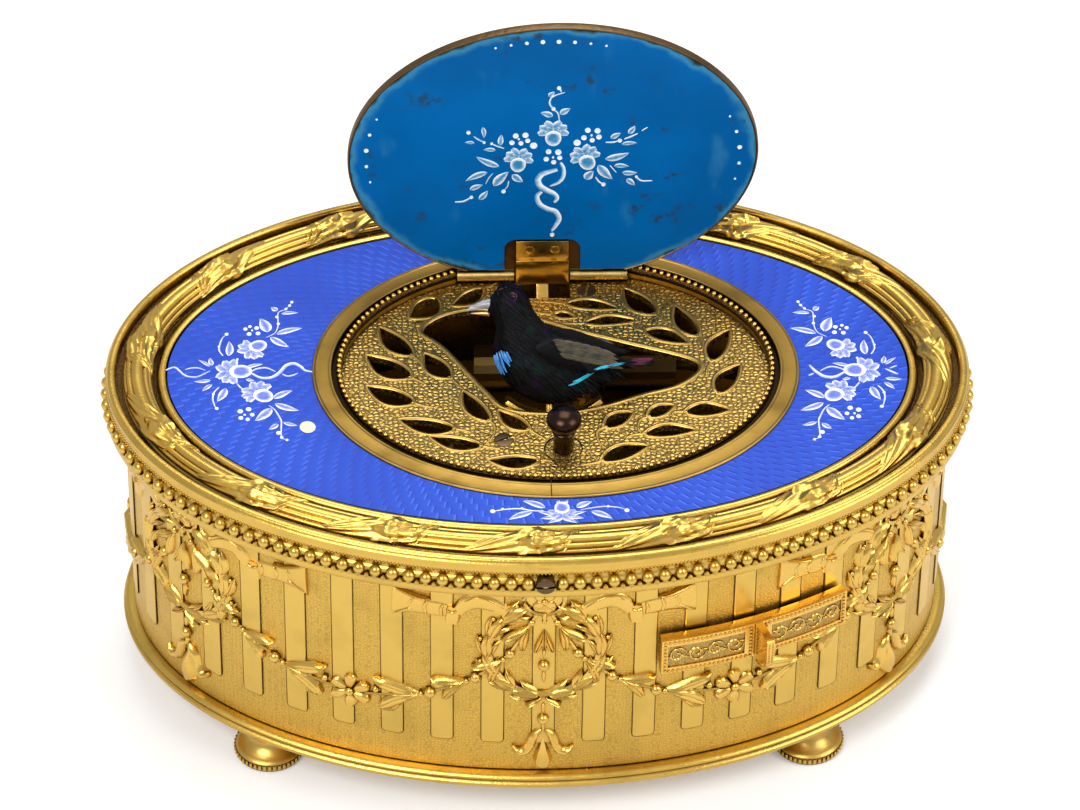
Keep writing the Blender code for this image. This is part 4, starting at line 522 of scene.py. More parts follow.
class Finishes(Enum):
    """Every finish of the box."""

    GILT = Metal("gilt_plain", GOLD, 0.30, recess=DEEP_GOLD, shelter_mm=1.1)
    GILT_GROUND = Metal("gilt_ground", (0.71, 0.455, 0.092), 0.42, recess=(0.26, 0.15, 0.03),
                        grain=Grain.STIPPLED, grain_mm=0.46, depth_mm=0.035)
    GILT_FRAME = Metal("gilt_frame", (0.69, 0.445, 0.092), 0.29, recess=(0.075, 0.040, 0.011), depth_mm=0.02,
                       shelter_mm=1.3)
    GILT_CAST = Metal("gilt_cast", GOLD, 0.29, recess=(0.30, 0.185, 0.042), depth_mm=0.02,
                      shelter_mm=0.7)
    GILT_FLUTE = Metal("gilt_flute", (0.72, 0.475, 0.105), 0.33, recess=DEEP_GOLD, depth_mm=0.012)
    GILT_CHASED = Metal("gilt_chased", (0.76, 0.485, 0.11), 0.26, recess=(0.07, 0.034, 0.008),
                        grain=Grain.CHASED, depth_mm=0.045, shelter_mm=0.8)
    GILT_WRAP = Metal("gilt_wrap", (0.70, 0.455, 0.10), 0.30, recess=(0.05, 0.024, 0.006),
                      grain=Grain.CHASED, depth_mm=0.05, shelter_mm=1.0, tarnish=0.5)
    # Painted shadow and grime: a near-black gilt lining the ring's gaps.
    BLACKED = Metal("gilt_blacked", (0.035, 0.02, 0.008), 0.55, recess=(0.01, 0.006, 0.003), depth_mm=0.01)
    # Painted shade: dark strands at the flutes' edges, where the shadow of their outline falls.
    GILT_LINE = Metal("gilt_line", (0.16, 0.085, 0.02), 0.45, recess=(0.03, 0.015, 0.004), depth_mm=0.01)
    # Painted shade and dirt: a dark gilt laid in coves and grooves and under the ring's teeth.
    GILT_DIRTY = Metal("gilt_dirty", (0.17, 0.095, 0.028), 0.48, recess=(0.03, 0.015, 0.005),
                       grain=Grain.MATTED, grain_mm=0.34, depth_mm=0.05, tarnish=0.7)
    GILT_MATTED = Metal("gilt_matted", (0.60, 0.385, 0.098), 0.36, recess=(0.09, 0.052, 0.014),
                        grain=Grain.MATTED, grain_mm=0.66, depth_mm=0.075, tarnish=0.25, shelter_mm=1.2)
    GILT_RING = Metal("gilt_ring", (0.345, 0.212, 0.045), 0.38, recess=(0.035, 0.018, 0.006),
                      grain=Grain.BRUSHED, depth_mm=0.022, tarnish=1.0)
    GILT_EDGE = Metal("gilt_edge", (0.50, 0.315, 0.075), 0.34, recess=(0.05, 0.028, 0.008), depth_mm=0.015)
    GILT_ENGRAVED = Metal("gilt_engraved", (0.62, 0.42, 0.13), 0.36, recess=(0.14, 0.085, 0.025),
                          grain=Grain.MATTED, grain_mm=0.22, depth_mm=0.03, shelter_mm=0.4)
    BRASS = Metal("brass_movement", (0.30, 0.19, 0.055), 0.40, recess=(0.05, 0.03, 0.01),
                  grain=Grain.BRUSHED, depth_mm=0.02)
    STEEL = Metal("steel_browned", (0.13, 0.082, 0.045), 0.38, recess=(0.02, 0.015, 0.01),
                  grain=Grain.BRUSHED, depth_mm=0.02, shelter_mm=0.5)
    BRONZE = Metal("bronze_dark", (0.042, 0.023, 0.016), 0.24, recess=(0.008, 0.004, 0.003),
                   grain=Grain.CHASED, depth_mm=0.03, tarnish=0.7)
    BLUE = Guilloche("enamel_guilloche", COBALT_BLUE, 0.22, coat=0.25)
    LID_BLUE = Guilloche("enamel_guilloche_lid", COBALT_BLUE, 0.22, coat=0.25, half=(27.2, 20.2),
                         middle=(2.4, 66.9), upright=True, cells=66)
    SKY = SkyEnamel("enamel_sky", (0.0, 0.128, 0.41), 0.3)
    PAINT = EnamelPaint("paint_white", (0.92, 0.95, 1.0), 0.35, coat=0.4)
    SKY_PAINT = EnamelPaint("paint_white_on_sky", (0.85, 0.95, 1.0), 0.4, coat=0.1, under=(0.02, 0.24, 0.50))
    FEATHER = Plumage("feather_black", (0.0022, 0.0022, 0.003), 0.45)
    TURQUOISE = Grained("feather_turquoise", (0.02, 0.55, 0.72), 0.4, streak=(0.01, 0.20, 0.35),
                        along=(0.7, 2.4, 2.4))
    COBALT = Grained("feather_cobalt", (0.03, 0.30, 0.80), 0.4, streak=(0.02, 0.10, 0.30),
                     along=(2.4, 2.4, 0.7))
    BARRED = Grained("feather_brown", (0.075, 0.055, 0.024), 0.6, streak=(0.005, 0.012, 0.009),
                     along=(0.8, 0.9, 0.9), depth_mm=0.12)
    CRIMSON = Grained("feather_crimson", (0.30, 0.01, 0.08), 0.4, streak=(0.06, 0.004, 0.04))
    HORN = Grained("horn_pale", (0.50, 0.50, 0.56), 0.3, streak=(0.22, 0.2, 0.2), coat=0.4)
    BEAK_GOLD = Metal("beak_gold", (0.62, 0.42, 0.15), 0.35, recess=(0.10, 0.06, 0.02), shelter_mm=0.4)
    LEATHER = Grained("leather_white", (0.62, 0.55, 0.45), 0.75, streak=(0.45, 0.38, 0.28),
                      along=(1.5, 1.5, 1.5), depth_mm=0.15)
    WOOD = Grained("boxwood", (0.06, 0.034, 0.015), 0.6, streak=(0.035, 0.019, 0.008))
    EYE = Finish("eye_black", (0.004, 0.003, 0.003), 0.08, coat=0.6)
    GILT_BRIGHT = Metal("gilt_bright", (0.84, 0.52, 0.12), 0.22, recess=(0.10, 0.045, 0.008), depth_mm=0.01,
                        tarnish=0.2, shelter_mm=0.5)
    GILT_PALE = Metal("gilt_pale", (0.66, 0.46, 0.15), 0.30, recess=(0.07, 0.04, 0.012), depth_mm=0.012)
    GILT_WORN = Metal("gilt_worn_rim", (0.17, 0.10, 0.042), 0.42, recess=(0.012, 0.008, 0.005),
                      grain=Grain.CHASED, depth_mm=0.12, tarnish=1.0)
    GILT_FOOT = Metal("gilt_foot", (0.62, 0.40, 0.10), 0.34, recess=(0.05, 0.025, 0.006), tarnish=0.8,
                      grain=Grain.BRUSHED, depth_mm=0.02, shelter_mm=1.6)
    BROW = Grained("brow_red", (0.10, 0.025, 0.015), 0.5, streak=(0.03, 0.006, 0.006))
    CHIP = Grained("chip_cream", (0.90, 0.80, 0.58), 0.5, streak=(0.80, 0.68, 0.45), depth_mm=0.01)

    @property
    def material(self) -> bpy.types.Material:
        """The Blender material of this finish."""
        return self.value.material()


def angles(count: int, more: int = 0) -> list[float]:
    """Return the angles of a whole turn in even steps, and some more of them where asked."""
    return [2 * math.pi * k / count for k in range(count + more)]


def rectangle(left: float, front: float, right: float, back: float) -> list[tuple[float, float]]:
    """Return a rectangle's corners from its front left."""
    return [(left, front), (right, front), (right, back), (left, back)]


def level_surface(x: float, y: float, z: float, mirror: int = 1) -> Place:
    """Return a level surface about a middle, mirrored from side to side where asked."""
    return lambda u, v, h: Vector((x + mirror * u, y + v, z + h))


@dataclass(frozen=True)
class Oval:
    """A level ellipse walked by arc length from its front, positive to the right."""

    a: float
    b: float
    x: float = 0.0
    y: float = 0.0
    table: tuple[float, ...] = ()

    @classmethod
    def of(cls, a: float, b: float, x: float = 0.0, y: float = 0.0) -> "Oval":
        """Measure an ellipse.

        Args:
            a: half length along X.
            b: half length along Y.
            x: middle's X.
            y: middle's Y.

        Returns:
            The ellipse with its table of arc lengths.
        """
        lengths, before = [0.0], (0.0, -b)
        for t in angles(OVAL_STEPS, 1)[1:]:
            spot = (a * math.sin(t), -b * math.cos(t))
            lengths.append(lengths[-1] + math.dist(before, spot))
            before = spot
        return cls(a, b, x, y, tuple(lengths))

    @property
    def length(self) -> float:
        """The whole way round."""
        return self.table[-1]

    def turn(self, s: float) -> float:
        """Find where an arc length leads.

        Args:
            s: the arc length from the front, positive to the right.

        Returns:
            The ellipse's own angle there.
        """
        s %= self.length
        low, high = 0, len(self.table) - 1
        while high - low > 1:
            middle = (low + high) // 2
            if self.table[middle] <= s:
                low = middle
            else:
                high = middle
        share = (s - self.table[low]) / (self.table[high] - self.table[low])
        return 2 * math.pi * (low + share) / (len(self.table) - 1)

    def at(self, t: float, grow: float, z: float) -> Vector:
        """Return the point at an angle on the ellipse grown by a distance."""
        return Vector((self.x + (self.a + grow) * math.sin(t), self.y - (self.b + grow) * math.cos(t), z))

    def on(self, s: float, z: float, h: float) -> Vector:
        """Return the point at an arc length and height, h proud of the ellipse."""
        return self.at(self.turn(s), h, z)

    def ring(self, grow: float, z: float, steps: int = 360) -> list[Vector]:
        """Return points all round the ellipse grown by a distance."""
        return [self.at(t, grow, z) for t in angles(steps)]


CASE_A, CASE_B = 55.0, 35.5
CASE = Oval.of(CASE_A, CASE_B)
DECK_X, DECK_Y, DECK_SLIM = 2.4, 0.2, 7.2
BASE_Z, WALL_Z, WALL_TOP_Z = 6.0, 8.2, 43.9
GRILLE_Z, GRILLE_TOP_Z, PANEL_TOP_Z = 45.1, 46.3, 47.6
STRAP_X = 1.1
POST_SPOT = (3.0, -13.95)


def wall(s: float, z: float, h: float) -> Vector:
    """Return a point on the case wall, with z over the base."""
    return CASE.on(s, z + BASE_Z, h)


class Shape:
    """Points and faces gathered for one piece, with a number of its own on each point."""

    def __init__(self, name: str) -> None:
        """Start with nothing.

        Args:
            name: the piece's name.
        """
        self.name = name
        self.points: list[Vector] = []
        self.faces: list[tuple[int, ...]] = []
        self.tints: list[float] = []

    def add(self, points: Sequence[Vector], faces: Sequence[Sequence[int]], tint: object = 0.0) -> None:
        """Add points and faces.

        Args:
            points: the new points.
            faces: the faces, each as places in the new points.
            tint: one number, or one for each point.
        """
        start = len(self.points)
        self.points += points
        self.faces += [tuple(start + i for i in face) for face in faces]
        self.tints += list(tint) if isinstance(tint, (list, tuple)) else [tint] * len(points)

    def lattice(self, rows: Sequence[Sequence[Vector]], round_rows: bool = False, loop: bool = False,
                tint: object = 0.0) -> None:
        """Skin rows of points.

        Args:
            rows: the rows, each with the same number of points.
            round_rows: whether each row closes on itself.
            loop: whether the last row joins the first; otherwise round rows are capped.
            tint: one number, or one for each point, row by row.
        """
        wide, count = len(rows[0]), len(rows)
        faces: list[tuple[int, ...]] = []
        for i in range(count if loop else count - 1):
            for j in range(wide if round_rows else wide - 1):
                k, n = (j + 1) % wide, (i + 1) % count
                faces.append((i * wide + j, i * wide + k, n * wide + k, n * wide + j))
        if round_rows and not loop:
            faces.append(tuple(range(wide))[::-1])
            faces.append(tuple((count - 1) * wide + j for j in range(wide)))
        self.add([p for row in rows for p in row], faces, tint)

    def prism(self, outline: Sequence[tuple[float, float]], low: float, high: float) -> "Shape":
        """Stand an upright block on an outline, between two heights, and return the shape."""
        self.lattice([[Vector((x, y, z)) for x, y in outline] for z in (low, high)], round_rows=True)
        return self

    def dome(self, place: Place, path: Sequence[tuple[float, float]], widths: Sequence[float],
             height: float, base: float = -0.15, vein: float = 0.0, curl: float = 0.0,
             tint: Optional[Callable[[float, float], float]] = None, across: int = 6,
             flat: float = 1.0) -> None:
        """Raise a closed cushion along a path on a surface.

        Args:
            place: the surface, from (u, v, h) to a point.
            path: the middle line's (u, v) points.
            widths: half width at each point of the path.
            height: how proud the middle stands.
            base: height of the hidden underside.
            vein: how much a groove along the middle takes away.
            curl: how much the outer end lifts off.
            tint: the number for a share along and a share across, from -1 to 1.
            across: faces from side to side.
            flat: below 1 for a flatter top with steeper sides.
        """
        rows, tints = [], []
        last = len(path) - 1
        for i, (u, v) in enumerate(path):
            before, after = path[max(i - 1, 0)], path[min(i + 1, last)]
            du, dv = after[0] - before[0], after[1] - before[1]
            size = math.hypot(du, dv) or 1.0
            share = i / last
            swell = min(1.0, widths[i] / (max(widths) * 0.6))
            lift = curl * height * share * share
            section = []
            for j in range(across + 1):
                t = -1 + 2 * j / across
                arch = math.sqrt(max(0.0, 1 - t * t)) ** flat
                h = height * swell * arch + lift - vein * height * math.exp(-(t * 4) ** 2) * swell
                section.append((t, max(h, base * 0.5) if arch else 0.0))
                tints.append(tint(share, t) if tint else 0.0)
            section += [(0.7, base), (-0.7, base)]
            tints += [0.0, 0.0]
            rows.append([place(u - dv / size * (t * widths[i]), v + du / size * (t * widths[i]), h)
                         for t, h in section])
        self.lattice(rows, round_rows=True, tint=tints)

    def leaf(self, place: Place, root: tuple[float, float], angle: float, length: float, width: float,
             height: float, bend: float = 0.0, steps: int = 8, **more: object) -> None:
        """Raise a pointed leaf.

        Args:
            place: the surface, from (u, v, h) to a point.
            root: where it starts.
            angle: where it points, in degrees.
            length: its length.
            width: half its greatest width.
            height: how proud its middle stands.
            bend: by how many degrees it turns on its way.
            steps: how many parts it is made of.
            more: further settings of dome().
        """
        path, widths = [root], [0.12 * width]
        u, v = root
        for i in range(1, steps + 1):
            heading = math.radians(angle + bend * (i / steps))
            u, v = u + length / steps * math.cos(heading), v + length / steps * math.sin(heading)
            path.append((u, v))
            widths.append(width * max(0.03, math.sin(math.pi * (i / steps) ** 0.75)) ** 0.85)
        self.dome(place, path, widths, height, **more)

    def tube(self, points: Sequence[Vector], radii: Sequence[float], sides: int) -> None:
        """Sweep a round section along points, with closed ends.

        Args:
            points: the middle line.
            radii: the section's radius at each point.
            sides: how many faces it has round it.
        """
        rows = []
        last = len(points) - 1
        for i, point in enumerate(points):
            along = (points[min(i + 1, last)] - points[max(i - 1, 0)]).normalized()
            side = along.cross(Vector((0, 0, 1)))
            side = side.normalized() if side.length > 1e-3 else Vector((1, 0, 0))
            up = side.cross(along)
            rows.append([point + radii[i] * (side * math.cos(a) + up * math.sin(a)) for a in angles(sides)])
        self.lattice(rows, round_rows=True)

    def cord(self, place: Place, path: Sequence[tuple[float, float]], radius: float, h: float) -> None:
        """Lay a round strand along a path on a surface."""
        self.tube([place(u, v, h) for u, v in path], [radius] * len(path), 6)

    def ball(self, centre: Vector, radius: float, steps: int) -> None:
        """Add a ball.

        Args:
            centre: its middle.
            radius: its radius.
            steps: how many faces it has round it.
        """
        rows = []
        for i in range(steps // 2 + 1):
            angle = math.pi * i / (steps // 2) - math.pi / 2
            ring = max(math.cos(angle), 0.02) * radius
            rows.append([centre + Vector((ring * math.cos(a), ring * math.sin(a), radius * math.sin(angle)))
                         for a in angles(steps)])
        self.lattice(rows, round_rows=True)

    def lathe(self, profile: Sequence[tuple[float, float]], spot: tuple[float, float], steps: int = 48,
              loop: bool = False) -> None:
        """Turn a profile of (radius, height) about an upright axis.

        Args:
            profile: points of (radius, height).
            spot: the axis.
            steps: how many faces it has round it.
            loop: whether the profile closes on itself; otherwise its ends are capped.
        """
        rows = [[Vector((spot[0] + r * math.cos(a), spot[1] + r * math.sin(a), z)) for a in angles(steps)]
                for r, z in profile]
        self.lattice(rows, round_rows=True, loop=loop)

    def sweep(self, oval: Oval, profile: Sequence[tuple[float, float]], steps: int = WALL_STEPS) -> None:
        """Carry a closed profile of (growth, height) round an oval."""
        self.lattice([oval.ring(grow, z, steps) for grow, z in profile], round_rows=True, loop=True)

    def turned(self, matrix: Matrix) -> "Shape":
        """Move every point by a matrix given in millimetres."""
        self.points = [matrix @ p for p in self.points]
        return self

    def mesh(self, smooth: float = MODELLED_DEG, tint_name: str = "") -> bpy.types.Mesh:
        """Make the mesh in metres, with outward faces.

        Args:
            smooth: the angle over which edges stay sharp, in degrees.
            tint_name: what the points' own numbers are called, if they are kept.

        Returns:
            The mesh.
        """
        data = bpy.data.meshes.new(self.name)
        data.from_pydata([p * MM for p in self.points], [], self.faces)
        if tint_name:
            layer = data.attributes.new(tint_name, "FLOAT", "POINT")
            layer.data.foreach_set("value", self.tints)
        worked = bmesh.new()
        worked.from_mesh(data)
        bmesh.ops.recalc_face_normals(worked, faces=worked.faces)
        worked.to_mesh(data)
        worked.free()
        data.shade_smooth()
        data.set_sharp_from_angle(angle=math.radians(smooth))
        return data

    def build(self, finish: Finishes, smooth: float = MODELLED_DEG, tint_name: str = "") -> bpy.types.Object:
        """Make an object of the mesh in its finish.

        Args:
            finish: the finish.
            smooth: the angle over which edges stay sharp, in degrees.
            tint_name: what the points' own numbers are called, if they are kept.

        Returns:
            The object, in the scene.
        """
        data = self.mesh(smooth, tint_name)
        data.materials.append(finish.material)
        piece = bpy.data.objects.new(self.name, data)
        bpy.context.scene.collection.objects.link(piece)
        return piece


def settle(piece: bpy.types.Object, body: str, slot: str, *nodes: str) -> bpy.types.Object:
    """Ride a piece on a body and let it stand for CAD nodes.

    Args:
        piece: the piece.
        body: the body it rides on.
        slot: its material slot; not used.
        nodes: the CAD nodes it stands for.

    Returns:
        The same piece.
    """
    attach(piece, body)
    if nodes:
        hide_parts(*nodes)
    LOG.info("%s rides on %s, %d faces", piece.name, body, len(piece.data.polygons))
    return piece


def bake(piece: bpy.types.Object, name: str = "") -> bpy.types.Object:
    """Turn a piece and its modifiers into a plain mesh.

    Args:
        piece: the object with modifiers.
        name: the result's name, if it isn't the piece's own.

    Returns:
        A plain object that stands in the piece's stead.
    """
    graph = bpy.context.evaluated_depsgraph_get()
    data = bpy.data.meshes.new_from_object(piece.evaluated_get(graph))
    wanted = name or piece.name
    bpy.data.objects.remove(piece)
    data.name = wanted
    plain = bpy.data.objects.new(wanted, data)
    bpy.context.scene.collection.objects.link(plain)
    return plain


def carve(piece: bpy.types.Object, *cutters: Shape) -> bpy.types.Object:
    """Cut shapes out of a piece.

    Args:
        piece: the piece, which is used up.
        cutters: the shapes to cut out.

    Returns:
        The plain result.
    """
    tools = []
    for cutter in cutters:
        tool = bpy.data.objects.new(cutter.name, cutter.mesh())
        bpy.context.scene.collection.objects.link(tool)
        change = piece.modifiers.new(cutter.name, "BOOLEAN")
        change.operation = "DIFFERENCE"
        change.object = tool
        tools.append(tool)
    plain = bake(piece)
    for tool in tools:
        bpy.data.objects.remove(tool)
    plain.data.shade_smooth()
    plain.data.set_sharp_from_angle(angle=math.radians(CARVED_DEG))
    return plain


class CopyTree:
    """A Geometry Nodes tree that sets copies of one shape on a piece, fed by named values."""

    def __init__(self, name: str, **kinds: str) -> None:
        """Start the tree.

        Args:
            name: the tree's name.
            kinds: the socket type of each value besides the shape, the finish and the seed.
        """
        self.tree = bpy.data.node_groups.new(name, "GeometryNodeTree")
        face = self.tree.interface
        face.new_socket("Geometry", in_out="INPUT", socket_type="NodeSocketGeometry")
        shared = {"Shape": "NodeSocketObject", "Finish": "NodeSocketMaterial", "Seed": "NodeSocketInt"}
        self.ids = {}
        for key, kind in {**shared, **kinds}.items():
            self.ids[key] = face.new_socket(key, in_out="INPUT", socket_type=kind).identifier
        face.new_socket("Geometry", in_out="OUTPUT", socket_type="NodeSocketGeometry")
        self.draft = Draft(self.tree)
        self.given = self.draft.node("NodeGroupInput")

    def value(self, key: str) -> Socket:
        """Return one of the values the tree is fed with."""
        return self.given.outputs[key]

    def chance(self, low: object, high: object) -> Socket:
        """Add a random size for each copy.

        Args:
            low: the least size.
            high: the greatest size.

        Returns:
            The size.
        """
        made = self.draft.node("FunctionNodeRandomValue", data_type="FLOAT")
        self.draft.feed(made.inputs[2], low)
        self.draft.feed(made.inputs[3], high)
        self.draft.feed(made.inputs["Seed"], self.value("Seed"))
        return made.outputs[1]

    def lead_out(self, points: Socket, rotation: Socket, size: Socket) -> None:
        """Set the copies and lead them out of the tree as one mesh.

        Args:
            points: where they stand.
            rotation: how they are turned.
            size: how large each one is.
        """
        shape = self.draft.node("GeometryNodeObjectInfo")
        self.draft.feed(shape.inputs["Object"], self.value("Shape"))
        copies = self.draft.node("GeometryNodeInstanceOnPoints")
        for key, value in (("Points", points), ("Instance", shape.outputs["Geometry"]),
                           ("Rotation", rotation), ("Scale", size)):
            self.draft.feed(copies.inputs[key], value)
        solid = self.draft.node("GeometryNodeRealizeInstances")
        self.draft.feed(solid.inputs["Geometry"], copies.outputs["Instances"])
        dressed = self.draft.node("GeometryNodeSetMaterial")
        self.draft.feed(dressed.inputs["Geometry"], solid.outputs["Geometry"])
        self.draft.feed(dressed.inputs["Material"], self.value("Finish"))
        self.draft.feed(self.draft.node("NodeGroupOutput").inputs[0], dressed.outputs["Geometry"])

    def run(self, host: bpy.types.Object, shape: Shape, smooth: float, finish: Finishes,
            **values: object) -> bpy.types.Object:
        """Run the tree on an object.

        Args:
            host: the object, which is used up.
            shape: the shape to copy.
            smooth: the angle over which its edges stay sharp, in degrees.
            finish: the copies' finish.
            values: the tree's other values by name.

        Returns:
            One plain mesh object.
        """
        pattern = bpy.data.objects.new(shape.name, shape.mesh(smooth))
        bpy.context.scene.collection.objects.link(pattern)
        change = host.modifiers.new("copies", "NODES")
        change.node_group = self.tree
        for key, value in {"Shape": pattern, "Finish": finish.material, **values}.items():
            change[self.ids[key]] = value
        plain = bake(host)
        bpy.data.objects.remove(pattern)
        return plain


class RowTree(CopyTree):
    """Copies of one shape set evenly along a curve."""

    def __init__(self) -> None:
        """Draw the tree."""
        super().__init__("row_along_path", Count="NodeSocketInt", Unevenness="NodeSocketFloat")
        draft = self.draft
        spaced = draft.node("GeometryNodeResampleCurve")
        draft.feed(spaced.inputs["Curve"], self.value("Geometry"))
        draft.feed(spaced.inputs["Count"], self.value("Count"))
        facing = draft.node("FunctionNodeAlignRotationToVector", axis="X", pivot_axis="Z")
        draft.feed(facing.inputs["Vector"], draft.node("GeometryNodeInputTangent").outputs[0])
        size = self.chance(draft.math("SUBTRACT", 1.0, self.value("Unevenness")),
                           draft.math("ADD", 1.0, self.value("Unevenness")))
        self.lead_out(spaced.outputs["Curve"], facing.outputs["Rotation"], size)

    def row(self, name: str, path: Sequence[Vector], shape: Shape, count: int, finish: Finishes,
            closed: bool = True, unevenness: float = 0.0, seed: int = 1,
            smooth: float = MODELLED_DEG) -> bpy.types.Object:
        """Set copies of a shape along a path.

        Args:
            name: the piece's name.
            path: points in millimetres; the copies' X runs along it.
            shape: the shape, standing at the origin.
            count: how many copies.
            finish: their finish.
            closed: whether the path closes on itself.
            unevenness: how much the copies' sizes vary.
            seed: the fixed seed of that variation.
            smooth: the angle over which edges stay sharp, in degrees.

        Returns:
            One plain mesh object.
        """
        curve = bpy.data.curves.new(name, "CURVE")
        curve.dimensions = "3D"
        spline = curve.splines.new("POLY")
        spline.points.add(len(path) - 1)
        for knot, point in zip(spline.points, path):
            knot.co = (*(point * MM), 1.0)
        spline.use_cyclic_u = closed
        host = bpy.data.objects.new(name, curve)
        bpy.context.scene.collection.objects.link(host)
        return self.run(host, shape, smooth, finish, Count=count, Unevenness=unevenness, Seed=seed)


@dataclass
class CaseWall:
    """The oval wall with its flutes, wreaths, swags and ribbons."""

    rows: RowTree
    thick: float = 1.2
    flute_width: float = 2.9
    flute_count: int = 43
    flute_low: float = 7.3
    flute_high: float = 36.4
    proud: float = 0.2
    way_s: tuple[float, float] = (20.2, 30.9)
    way_z: tuple[float, float] = (27.75, 30.55)
    wreaths: tuple[float, ...] = (0.0, 51.3, 97.6, 143.8, 190.0, 236.3)

    def build(self) -> None:
        """Build and dress the wall."""
        shell = Shape("wall_shell")
        shell.sweep(CASE, rectangle(-self.thick, WALL_Z, 0.0, WALL_TOP_Z))
        section = rectangle(-4.0, self.way_z[0], 2.0, self.way_z[1])
        block = Shape("tongue_way")
        block.lattice([[CASE.on(s, z, h) for h, z in section] for s in self.way_s], round_rows=True)
        wall_piece = carve(shell.build(Finishes.GILT_GROUND), block)
        settle(wall_piece, "case", "gilt", "case_wall")
        for piece in self.flutes():
            settle(piece, "case", "gilt")
        ornament = Shape("wall_ornament")
        gaps = list(self.wreaths) + [CASE.length]
        for start, end in zip(gaps, gaps[1:]):
            self.wreath(ornament, start)
            self.swag(ornament, start, end)
        settle(ornament.build(Finishes.GILT_CHASED, 50.0), "case", "gilt")

    def flutes(self) -> list[bpy.types.Object]:
        """Make the raised flutes, a little round at their lower corners, and dark lines of painted shade
        round them.

        Returns:
            The flutes and the lines.
        """
        bar, line = Shape("flute"), Shape("flute_line")
        half, proud = self.flute_width / 2, self.proud
        low, high = self.flute_low + BASE_Z, self.flute_high + BASE_Z
        outline = [(-half, high), (-half, low + 0.5), (-half + 0.15, low + 0.15), (-half + 0.5, low),
                   (half - 0.5, low), (half - 0.15, low + 0.15), (half, low + 0.5), (half, high)]
        inner = [(x * 0.93, z + (0.12 if z < low + 1 else 0.0)) for x, z in outline]
        edges = ((outline, 0.6), (outline, 0.07 - proud), (inner, -proud))
        bar.lattice([[Vector((x, y, z)) for x, z in edge] for edge, y in edges], round_rows=True)
        # Painted shade: a dark strand round each flute's edge.
        line.tube([Vector((x * 1.02, -0.06, z - (0.03 if z < low + 1 else 0.0))) for x, z in outline],
                  [0.085] * 8, 5)
        path = CASE.ring(0.0, 0.0)
        return [self.rows.row("wall_flutes", path, bar, self.flute_count, Finishes.GILT_FLUTE, smooth=25.0),
                self.rows.row("flute_lines", path, line, self.flute_count, Finishes.GILT_LINE)]

    def lobe(self, shape: Shape, spot: tuple[float, float], angle: float, length: float, half: float,
             bend: float = 0.0, height: float = 0.9) -> None:
        """Add a lobe with a full round tip.

        Args:
            shape: the shape it joins.
            spot: arc length and height of its root.
            angle: where it points, in degrees.
            length: its length.
            half: half its greatest width.
            bend: by how many degrees it turns on its way.
            height: how proud it stands.
        """
        points = [spot]
        for i in range(8):
            turn = math.radians(angle + bend * (i / 7) ** 1.5)
            s, z = points[-1]
            points.append((s + length / 8 * math.cos(turn), z + length / 8 * math.sin(turn)))
        widths = [half * w for w in (0.22, 0.45, 0.66, 0.84, 0.97, 1.0, 0.9, 0.62, 0.12)]
        shape.dome(wall, points, widths, height, vein=0.3, curl=0.3)

    def husk(self, shape: Shape, s: float, z: float, angle: float, size: float, mirror: int = 1) -> None:
        """Add a husk of two full lobes and a bud.

        Args:
            shape: the shape it joins.
            s: arc length of its root.
            z: height of its root.
            angle: where it opens, in degrees.
            size: its length.
            mirror: -1 for the mirror image.
        """
        self.lobe(shape, (s, z), angle, size * 0.62, size * 0.10, height=0.7)
        for turn, length, bend in ((15, 0.98, 26), (-14, 1.0, -22)):
            self.lobe(shape, (s, z), angle + turn * mirror, size * length, size * 0.165, bend * mirror)

    def wreath(self, shape: Shape, at: float) -> None:
        """Add a rosette, a laurel ring, its inner drops and the pendant below.

        Args:
            shape: the shape it joins.
            at: arc length of its middle.
        """
        middle_z, half_s, half_z = 24.5, 7.3, 7.8
        for side in (-1, 1):
            core = []
            for k in range(25):
                turn = math.radians(-90 + side * 6.3 * k)
                core.append((at + half_s * math.cos(turn), middle_z + half_z * math.sin(turn)))
            shape.cord(wall, core, 0.62, 0.15)
            for k in range(6):
                turn = math.radians(-90 + side * (3 + 26 * k))
                s, z = at + half_s * math.cos(turn), middle_z + half_z * math.sin(turn)
                heading = math.degrees(turn) + side * 90
                for tilt, length, wide, high in ((-24, 4.2, 0.72, 0.74), (26, 3.6, 0.66, 0.74),
                                                 (0, 4.6, 1.0, 1.0)):
                    shape.leaf(wall, (s, z), heading + side * (tilt - 8), length, wide, high, bend=side * 34,
                               vein=0.3, steps=9)
                spot = turn + side * math.radians(22)
                berry = (at + (half_s + 1.2) * math.cos(spot), middle_z + (half_z + 1.2) * math.sin(spot))
                shape.ball(wall(*berry, 0.3), 0.34, steps=8)
        top = 33.7
        shape.dome(wall, [(at - 2.6, top), (at - 1.3, top), (at, top), (at + 1.3, top), (at + 2.6, top)],
                   [0.6, 2.1, 2.5, 2.1, 0.6], 0.25, flat=0.3)
        rim = [(at + 2.65 * math.cos(a), top + 2.65 * math.sin(a)) for a in angles(24, 1)]
        shape.cord(wall, rim, 0.3, 0.2)
        for i in range(4):
            shape.leaf(wall, (at, top), 90 * i + 45, 2.3, 0.8, 0.75, vein=0.25)
        shape.ball(wall(at, top, 0.6), 0.5, steps=8)
        shape.leaf(wall, (at, 31.4), -90, 1.6, 0.45, 0.6)
        shape.ball(wall(at, 29.9, 0.3), 0.36, steps=8)
        for turn, length in ((-10, 4.3), (10, 4.3), (0, 3.4)):
            self.lobe(shape, (at, 28.4), -90 + turn, length, 0.55, turn * 2.0)
        for z, r in ((21.9, 0.8), (12.0, 0.8)):
            shape.ball(wall(at, z, 0.35), r, steps=10)
        for low, high, wide in ((23.0, 25.0, 0.3), (18.4, 21.0, 0.35), (12.8, 15.0, 0.35),
                                (9.3, 11.2, 0.35)):
            shape.leaf(wall, (at, high), -90, high - low, wide, 0.55)
        for side in (-1, 1):
            self.lobe(shape, (at, 16.4), -90 + side * 42, 3.0, 0.5, side * 30)
